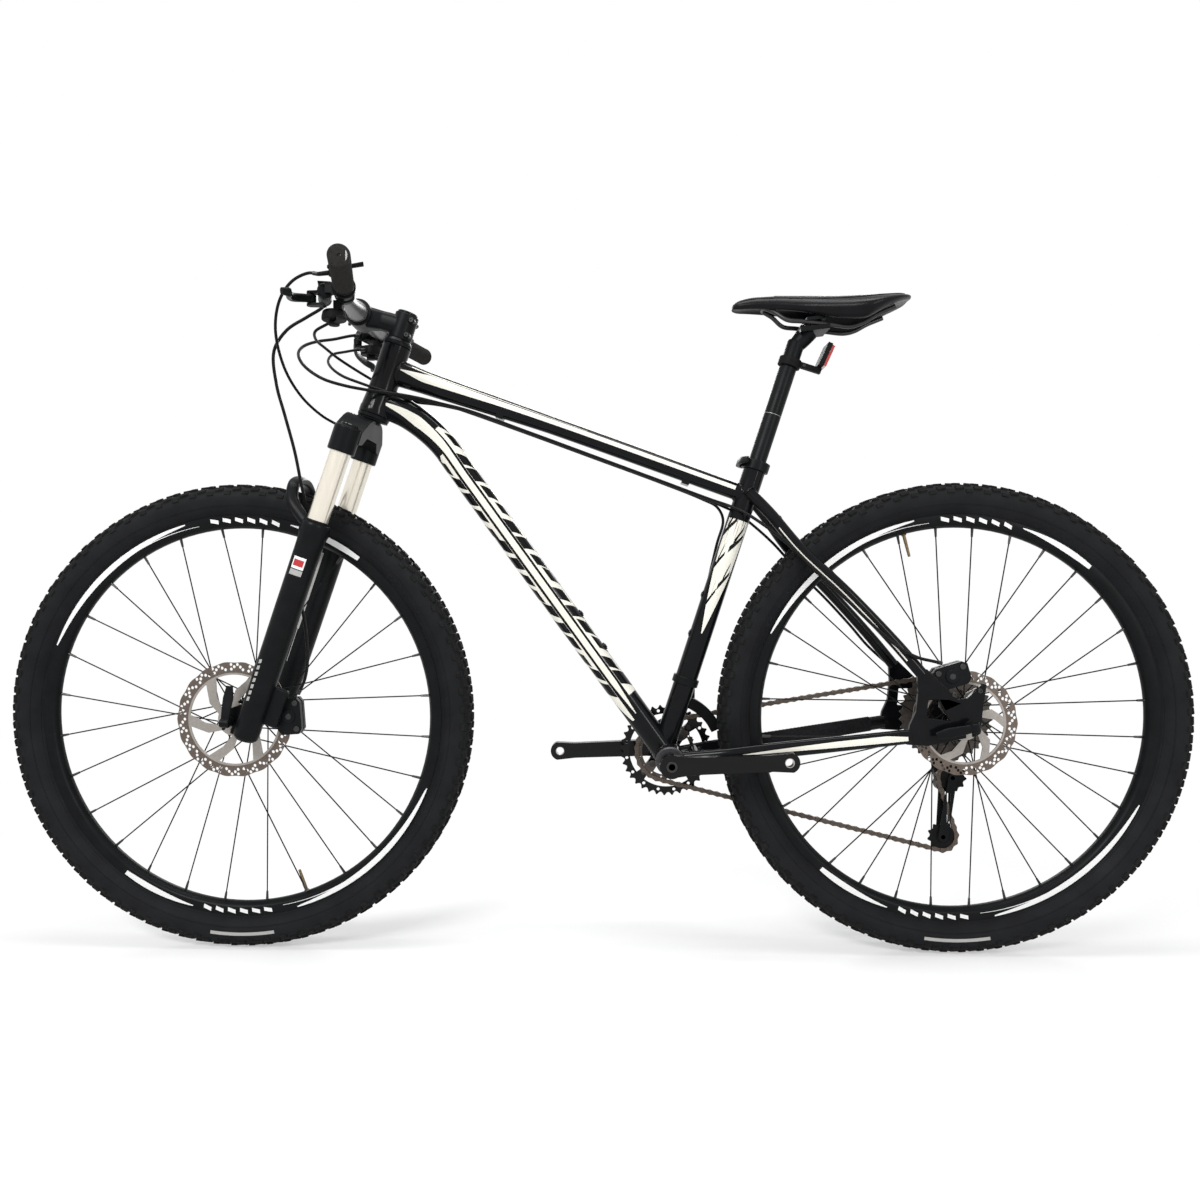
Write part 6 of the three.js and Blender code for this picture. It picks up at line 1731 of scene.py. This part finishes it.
def derailleur_parts():
    knuckle = [(0.01, 37.2), (11.2, 37.2), (12, 38), (12, 55), (10.4, 57), (0.01, 57.1)]
    pivot = vec(CAGE_PIVOT.x, 0, CAGE_PIVOT.z)
    hanger_bolt = REAR + vec(10, 0, -32)
    parts = [(turned(knuckle, 44, pivot), SATIN)]
    route = curve([pivot + vec(0, 49.1, 4), pivot + vec(2, 73.1, 30), pivot + vec(4, 85.2, 50),
                   hanger_bolt + vec(0, 85.2, -6)], 10)
    parts.append((Tube(route, [(7, 11), (7, 10), (6.5, 9)], vec(1, 0, 0), 3.4).shape(28), SATIN))
    mount = [(0.01, 76.4), (9.2, 76.4), (10, 77.2), (10, 88.6), (8.8, 90.1), (0.01, 90.2)]
    parts.append((turned(mount, 44, hanger_bolt), SATIN))
    parts.append((bolt_head(hanger_bolt + vec(0, 89.4, 0), ACROSS, 5, 0.7), BRIGHT))
    return parts


piece("derailleur_link", derailleur_parts(), "frame", "black_alloy", "derailleur_body", angle=38)


def front_cage_parts():
    def plate(low_radius, high_radius, start, end, low, high):
        outline = arc(high_radius, math.radians(start), math.radians(end), 20)
        outline += arc(low_radius, math.radians(end), math.radians(start), 20)
        return moved(prism(outline, low, high), AT_BB)

    parts = [(plate(79, 96.8, 24.2, 79.8, 48.9, 50.4), SATIN), (plate(79, 96.8, 24.2, 79.8, 33, 34.4), SATIN),
             (plate(95, 96.8, 50.4, 79.6, 34, 49.3), SATIN)]
    parts.append((moved(pin(polar(80.7, math.radians(27)), 1.6, 33.2, 50.2), AT_BB), BOLT))
    return parts


piece("front_derailleur_plates", front_cage_parts(), "front_derailleur_cage", "chain_steel",
      "front_derailleur_cage", bevel=0.35)


def front_derailleur_parts():
    place = seat(126)
    ring = [(17.6, -6), (20, -6), (20.7, -5.2), (20.7, 5.2), (20, 6), (17.6, 6)]
    parts = [(turned(ring, 48, place, tuple(SEAT_UP), bored=True), SATIN),
             (box(place + vec(4, 25.6, -14), (25, 13.6, 33)), SATIN),
             (bolt_head(place + vec(4, 31.4, -6), ACROSS, 4, 0.9), BOLT)]
    return parts


piece("front_derailleur_clamp", front_derailleur_parts(), "frame", "black_alloy", "front_derailleur_body",
      bevel=0.9)

# ---- seat ----


def collar_parts():
    ring = [(17.5, 472), (20.5, 472), (21.3, 472.8), (21.3, 486.2), (20.5, 487), (17.5, 487)]
    parts = [(standing(ring, SEAT, 56, bored=True), SATIN)]
    for x in (-5.2, 5.2):
        parts.append((moved(box(vec(x, 25.3, 479.5), (7.4, 13.4, 12.6)), SEAT), SATIN))
    parts.append((rod(SEAT @ vec(-13, 27.3, 479.5), SEAT @ vec(14, 27.3, 479.5), 3.9), BOLT))
    return parts


def collar_lever_parts():
    pin_place = vec(-21, 27.3, 479.5)
    parts = [(moved(rod(pin_place - vec(0, 0, 5.4), pin_place + vec(0, 0, 5.4), 6.5, chamfer=1), SEAT),
              SATIN)]
    points = curve([SEAT @ (pin_place + vec(*p)) for p in ((0, 0, 0), (-5, -16, 0), (-4, -36, 1),
                                                           (3, -52, 3))], 10)
    parts.append((Tube(points, [(3, 5.5), (2.2, 6.5), (2.2, 5)], SEAT_UP, 2.6).shape(20), SATIN))
    return parts


piece("seat_collar_band", collar_parts(), "frame", "black_alloy", "seat_collar", bevel=0.5)
piece("collar_lever_arm", collar_lever_parts(), "collar_lever", "black_alloy", "seat_collar_lever", angle=40)

POST_TOP = seat(680)
CLAMP = POST_TOP + vec(24.7, 0, 25.9)


def slanted(origin, offset, degrees):
    return Matrix.Translation(origin + offset) @ about_y(degrees)


def post_parts():
    tube = [(0.01, 350.2), (12.8, 350.2), (13.6, 351), (13.6, 679), (12.6, 682), (8, 684), (0.01, 684)]
    parts = [(standing(tube, SEAT), SATIN)]
    neck = curve([POST_TOP + vec(-1, 0, -4), POST_TOP + vec(8, 0, 5), POST_TOP + vec(18.7, 0, 17.9)], 8)
    parts.append((Tube(neck, [(12.6, 12.6), (14, 14), (15.6, 15.6)]).shape(36), SATIN))
    return parts


def post_head_parts():
    parts = [(box(vec(0, 0, 0), (45, 53, 7.4), slanted(POST_TOP, vec(24.7, 0, 18), 6.6)), SATIN),
             (box(vec(0, 0, 0), (29, 53, 5.4), slanted(POST_TOP, vec(25.7, 0, 32.8), 6.6)), SATIN)]
    for x in (-9, 11):
        foot = CLAMP + vec(x, 0, -8)
        parts.append((rod(foot, foot + vec(1, 0, 16), 3.9), BOLT))
    return parts


piece("seatpost_tube", post_parts(), "seatpost", "black_alloy", "seatpost", angle=32)
piece("seatpost_head", post_head_parts(), "seatpost", "black_alloy", bevel=1.6)
mark = [(13.62, 562.6), (13.68, 562.8), (13.68, 563.4), (13.62, 563.6), (13.2, 563.6), (13.2, 562.6)]
piece("seatpost_limit_line", [(standing(mark, SEAT, bored=True), BAR_METAL)], "seatpost",
      "black_alloy", angle=30)

RAIL_PATH = [(-76, 8, 26), (-60, 14, 18), (-42, 20, 5), (-20, 22, 2.3), (26, 22, -3), (54, 22, -5.8),
             (72, 27, -1), (92, 31, 10), (118, 34, 21)]


def rails():
    left = [CLAMP + vec(x, -y, z) for x, y, z in RAIL_PATH]
    right = [CLAMP + vec(x, y, z) for x, y, z in RAIL_PATH]
    return wire(curve([*reversed(left), *right], 12), 3.45, 20)


piece("saddle_rail_wire", [(rails(), BOLT)], "seatpost", "rail_steel", "saddle_rails", angle=40)

SADDLE_STATIONS = [(-125, 8, 32, 28, 25, 26), (-116, 16, 39, 29, 23, 25), (-96, 20, 44, 30, 23, 27),
                   (-58, 24, 46, 29, 21, 27), (-18, 31, 45, 24, 16, 28), (22, 46, 43, 20, 5, 28),
                   (52, 60, 42, 17, -1, 28), (72, 66, 42, 18, -1, 28), (94, 64, 42, 24, 12, 29),
                   (122, 52, 43, 32, 26, 31), (140, 36, 43, 37, 33, 35), (148, 20, 42, 39, 36, 37)]


def saddle_station(x):
    """The saddle's section sizes at X from the clamp, joined smoothly."""
    for a, b in zip(SADDLE_STATIONS, SADDLE_STATIONS[1:]):
        if a[0] <= x <= b[0]:
            share = (x - a[0]) / (b[0] - a[0])
            share = share * share * (3 - 2 * share) * 0.35 + share * 0.65
            return [p + (q - p) * share for p, q in zip(a, b)]
    return list(SADDLE_STATIONS[-1])


SADDLE_SECTION = [(0.0, 0), (0.25, 0.02), (0.45, 0.09), (0.65, 0.22), (0.82, 0.45), (0.95, 0.75), (1.0, 1.0)]


def saddle_point(x, share):
    """A point on the padded top: share runs from -1 at the left edge to 1 at the right."""
    _, width, top, wide, _, _ = saddle_station(x)
    reach = abs(share)
    for (a, fa), (b, fb) in zip(SADDLE_SECTION, SADDLE_SECTION[1:]):
        if a <= reach <= b:
            drop = fa + (fb - fa) * (reach - a) / (b - a)
            break
    groove = 1.6 * math.exp(-(share * width / 7) ** 2) * max(0, min(1, (110 - abs(x - 20)) / 40))
    z = top + (wide - top) * drop - groove
    return CLAMP + vec(x, share * width, z)


def saddle_cover():
    stations = [-125, -121, -116, -106, -96, -77, -58, -38, -18, 2, 22, 37, 52, 62, 72, 83, 94, 108, 122, 131,
                140, 148]
    right = [share for share, _ in SADDLE_SECTION]
    shares = [-share for share in reversed(right[1:])] + right
    rings = []
    for x in stations:
        _, width, _, wide, edge, hollow = saddle_station(x)
        ring = [saddle_point(x, share) for share in shares]
        low = [(0.97, wide * 0.55 + edge * 0.45), (0.8, edge), (0.64, edge + 1),
               (0.5, (edge + 2 * hollow) / 3), (0.25, hollow), (0, hollow)]
        ring += [CLAMP + vec(x, share * width, z) for share, z in low]
        ring += [CLAMP + vec(x, -share * width, z) for share, z in reversed(low[:-1])]
        rings.append(ring)
    return loft(rings)


def seam(side, share, low, high):
    """A raised sewn seam along the saddle."""
    points = [saddle_point(low + (high - low) * i / 40, side * share) for i in range(41)]
    return wire(points, 0.8, 8, rounded=True)


def saddle_parts():
    parts = []
    for side in (-1, 1):
        parts.append((seam(side, 0.78, -112, 132), VINYL))
        parts.append((seam(side, 0.3, -60, 96), VINYL))
    return parts


saddle = piece("saddle_cover", [(saddle_cover(), VINYL)], "seatpost", "saddle_vinyl", "saddle", subdivide=2)
piece("saddle_seams", saddle_parts(), "seatpost", "saddle_vinyl", angle=50)


def reflector_parts():
    ring = [(14, 641.2), (16.8, 641.2), (17.6, 642), (17.6, 654), (16.8, 654.8), (14, 654.8)]
    parts = [(standing(ring, SEAT, bored=True), PLASTIC),
             (moved(box(vec(32, 0, 650), (36, 9.6, 8.6)), SEAT), PLASTIC),
             (bolt_head(SEAT @ vec(22, -4.6, 650), -ACROSS, 2.8, 1.8), BOLT)]
    place = SEAT @ Matrix.Translation(vec(49, 0, 673)) @ about_y(-6)
    parts.append((moved(box(vec(-2.2, 0, 0), (7.4, 39.6, 37.6)), place), PLASTIC))
    parts.append((moved(box(vec(3.0, 0, 0), (5.8, 36.6, 34.6)), place), LENS))
    return parts


piece("reflector_unit", reflector_parts(), "seatpost", "reflector_lens", "rear_reflector", bevel=1.2)

# ---- hoses and cables: the same routes as the CAD model ----

LOCKOUT_CABLE = [
    (-946, -164, 1014), (-960, -162, 1016), (-988, -150, 1008), (-1013, -130, 986), (-1029, -100, 950),
    (-1028, -66, 905), (-1016, -30, 871), (-998, 15, 848), (-982, 45, 838), (-972, 59, 834), (-958, 62, 825)]
FRONT_HOSE = [
    (-956, -94, 993), (-965, -86, 988), (-990, -80, 976), (-1020, -78, 958), (-1040, -76, 928),
    (-1038, -72, 878), (-1028, -66, 834), (-1016, -58, 780), (-1010, -48, 733), (-1006, -40, 700),
    (-1004, -35, 660), (-1012, -35, 610), (-1016, -36, 560), (-1008, -38, 510), (-1004, -42, 460),
    (-1008, -45, 430), (-1018, -46, 408)]
REAR_HOSE = [
    (-956, 94, 993), (-966, 84, 990), (-990, 66, 980), (-1010, 40, 970), (-1022, 8, 955), (-1022, -18, 938),
    (-1011, -38, 919), (-995, -46, 904), (-973, -48, 891), (-942, -44, 882), (-912, -38, 877),
    (-884, -31, 874), (-858, -26, 871), (-832, -18, 867), (-800, -10, 860), (-760, -8, 850), (-660, -8, 814),
    (-560, -8, 777), (-460, -8, 740), (-380, -9, 710), (-352, -13, 700), (-332, -27, 690), (-306, -38, 672),
    (-270, -52, 642), (-230, -64, 600), (-180, -74, 552), (-140, -81, 512), (-104, -83, 482), (-80, -80, 470),
    (-56, -70, 464), (-38, -60, 460)]
REAR_SHIFT = [
    (-945, 90, 968), (-958, 83, 966), (-974, 70, 960), (-986, 44, 950), (-986, 18, 934), (-972, -10, 916),
    (-950, -27, 900), (-920, -30, 888), (-890, -28, 878), (-860, -18, 869), (-832, -6, 865), (-800, 1, 859),
    (-760, 1, 849.5), (-660, 1, 813.5), (-560, 1, 776.5), (-460, 1, 739.5), (-380, 4, 709), (-354, 12, 699),
    (-332, 27, 690), (-306, 38, 672), (-270, 52, 642), (-230, 64, 600), (-180, 74, 552), (-140, 80, 510),
    (-104, 84, 470), (-40, 88, 420), (20, 90, 396), (44, 88, 360), (40, 84, 330), (26, 78, 312)]
FRONT_SHIFT = [
    (-946, -90, 968), (-960, -86, 963), (-976, -80, 956), (-984, -50, 950), (-978, -20, 944), (-968, 8, 936),
    (-952, 26, 926), (-932, 34, 914), (-905, 34, 898), (-876, 30, 878), (-846, 20, 868), (-815, 12, 863),
    (-780, 9.5, 856), (-760, 9.5, 849.5), (-660, 9.5, 813.5), (-560, 9.5, 776.5), (-460, 9.5, 739.5),
    (-390, 13, 712), (-366, 20, 700), (-356, 24, 680), (-366, 25, 640), (-384, 25, 560), (-396, 25, 500),
    (-402, 25, 460), (-406, 26, 440)]


def line(name, route, radius, stands_for, body=None):
    """A hose or cable with a ferrule at each end."""
    points = curve(route, 8)
    parts = [(wire(points, radius, 16), HOSE)]
    for tip, inner in ((points[0], points[3]), (points[-1], points[-4])):
        inward = (inner - tip).normalized()
        parts.append((rod(tip, tip + inward * 8, radius + 0.7, sides=20, chamfer=0.5), BOLT))
    return piece(name, parts, body, "black_plastic", stands_for, angle=40)


HOSE_RADIUS = 2.45
CABLE_RADIUS = 2.2
line("lockout_cable_run", LOCKOUT_CABLE, CABLE_RADIUS, "lockout_cable", "steering")
front_line = line("front_hose_run", FRONT_HOSE, HOSE_RADIUS, "front_brake_hose")
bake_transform(front_line)
for name, route, radius, stands_for in (("rear_hose_run", REAR_HOSE, HOSE_RADIUS, "rear_brake_hose"),
                                        ("rear_shift_run", REAR_SHIFT, CABLE_RADIUS, "rear_shift_cable"),
                                        ("front_shift_run", FRONT_SHIFT, CABLE_RADIUS, "front_shift_cable")):
    held = line(name, route, radius, stands_for)
    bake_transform(held)

# ---- floor and light ----


def seen_directly(tree):
    """1 for rays from the camera, off a glossy surface or through a clear one, and 0 for all others."""
    rays = node(tree, "LightPath").outputs
    value = rays["Is Camera Ray"]
    for name in ("Is Glossy Ray", "Is Transmission Ray"):
        value = node(tree, "Math", [(0, value), (1, rays[name])], operation="MAXIMUM").outputs[0]
    return value


def floor():
    """A pale floor that fades into the white background away from the bike."""
    mesh = bpy.data.meshes.new("floor")
    half = 14
    mesh.from_pydata([(-half, -half, 0), (half, -half, 0), (half, half, 0), (-half, half, 0)], [],
                     [(0, 1, 2, 3)])
    obj = bpy.data.objects.new("floor", mesh)
    bpy.context.scene.collection.objects.link(obj)
    mesh.materials.append(floor_finish())


def floor_finish():
    material = bpy.data.materials.new("studio_floor")
    material.use_nodes = True
    tree = material.node_tree
    shader = tree.nodes["Principled BSDF"]
    shader.inputs["Roughness"].default_value = 0.9
    shader.inputs["Specular IOR Level"].default_value = 0.1
    pale = ramp(tree, noise(tree, 3, 3), ((0.9, 0.9, 0.9), (0.93, 0.93, 0.93)))
    tree.links.new(pale, shader.inputs["Base Color"])
    place = node(tree, "Mapping", [("Vector", object_place(tree)), ("Location", (0.3, 0.05, 0)),
                                   ("Scale", (0.55, 1.0, 1.0))]).outputs[0]
    distance = node(tree, "VectorMath", [(0, place)], operation="LENGTH").outputs["Value"]
    fade = spread(tree, distance, 0.1, 1.0, 0.35, 1.0)
    fade.interpolation_type = "SMOOTHSTEP"
    both = node(tree, "Math", [(0, fade.outputs[0]), (1, seen_directly(tree))],
                operation="MULTIPLY").outputs[0]
    white = node(tree, "Emission").outputs[0]
    mix = node(tree, "MixShader", [(0, both), (1, shader.outputs[0]), (2, white)]).outputs[0]
    tree.links.new(mix, tree.nodes["Material Output"].inputs["Surface"])
    return material


def world():
    """A dim sky for the light, which is plain white where it is seen."""
    background = bpy.data.worlds.new("studio")
    bpy.context.scene.world = background
    background.use_nodes = True
    tree = background.node_tree
    tree.nodes.clear()
    light = node(tree, "Background", [("Color", (0.95, 0.97, 1, 1)), ("Strength", 0.3)]).outputs[0]
    white = node(tree, "Background", [("Color", (1, 1, 1, 1)), ("Strength", 1.0)]).outputs[0]
    mix = node(tree, "MixShader", [(0, seen_directly(tree)), (1, light), (2, white)]).outputs[0]
    node(tree, "OutputWorld", [("Surface", mix)])


def lamp(name, place, target, size, watts):
    data = bpy.data.lights.new(name, "AREA")
    data.shape = "RECTANGLE"
    data.size, data.size_y = size
    data.energy = watts
    obj = bpy.data.objects.new(name, data)
    obj.location = place
    obj.rotation_euler = (Vector(target) - Vector(place)).to_track_quat("-Z", "Y").to_euler()
    bpy.context.scene.collection.objects.link(obj)


floor()
world()
MIDDLE = (-0.55, 0, 0.5)
lamp("key", (-1.9, -2.6, 2.6), MIDDLE, (1.6, 0.6), 80)
lamp("fill", (1.7, -2.8, 1.5), MIDDLE, (0.5, 1.8), 36)
lamp("top", (-0.55, -0.2, 3.2), MIDDLE, (2.4, 0.7), 60)
lamp("back", (-0.4, 3.0, 1.9), MIDDLE, (2.4, 0.8), 40)

bpy.context.scene.view_settings.view_transform = "Standard"
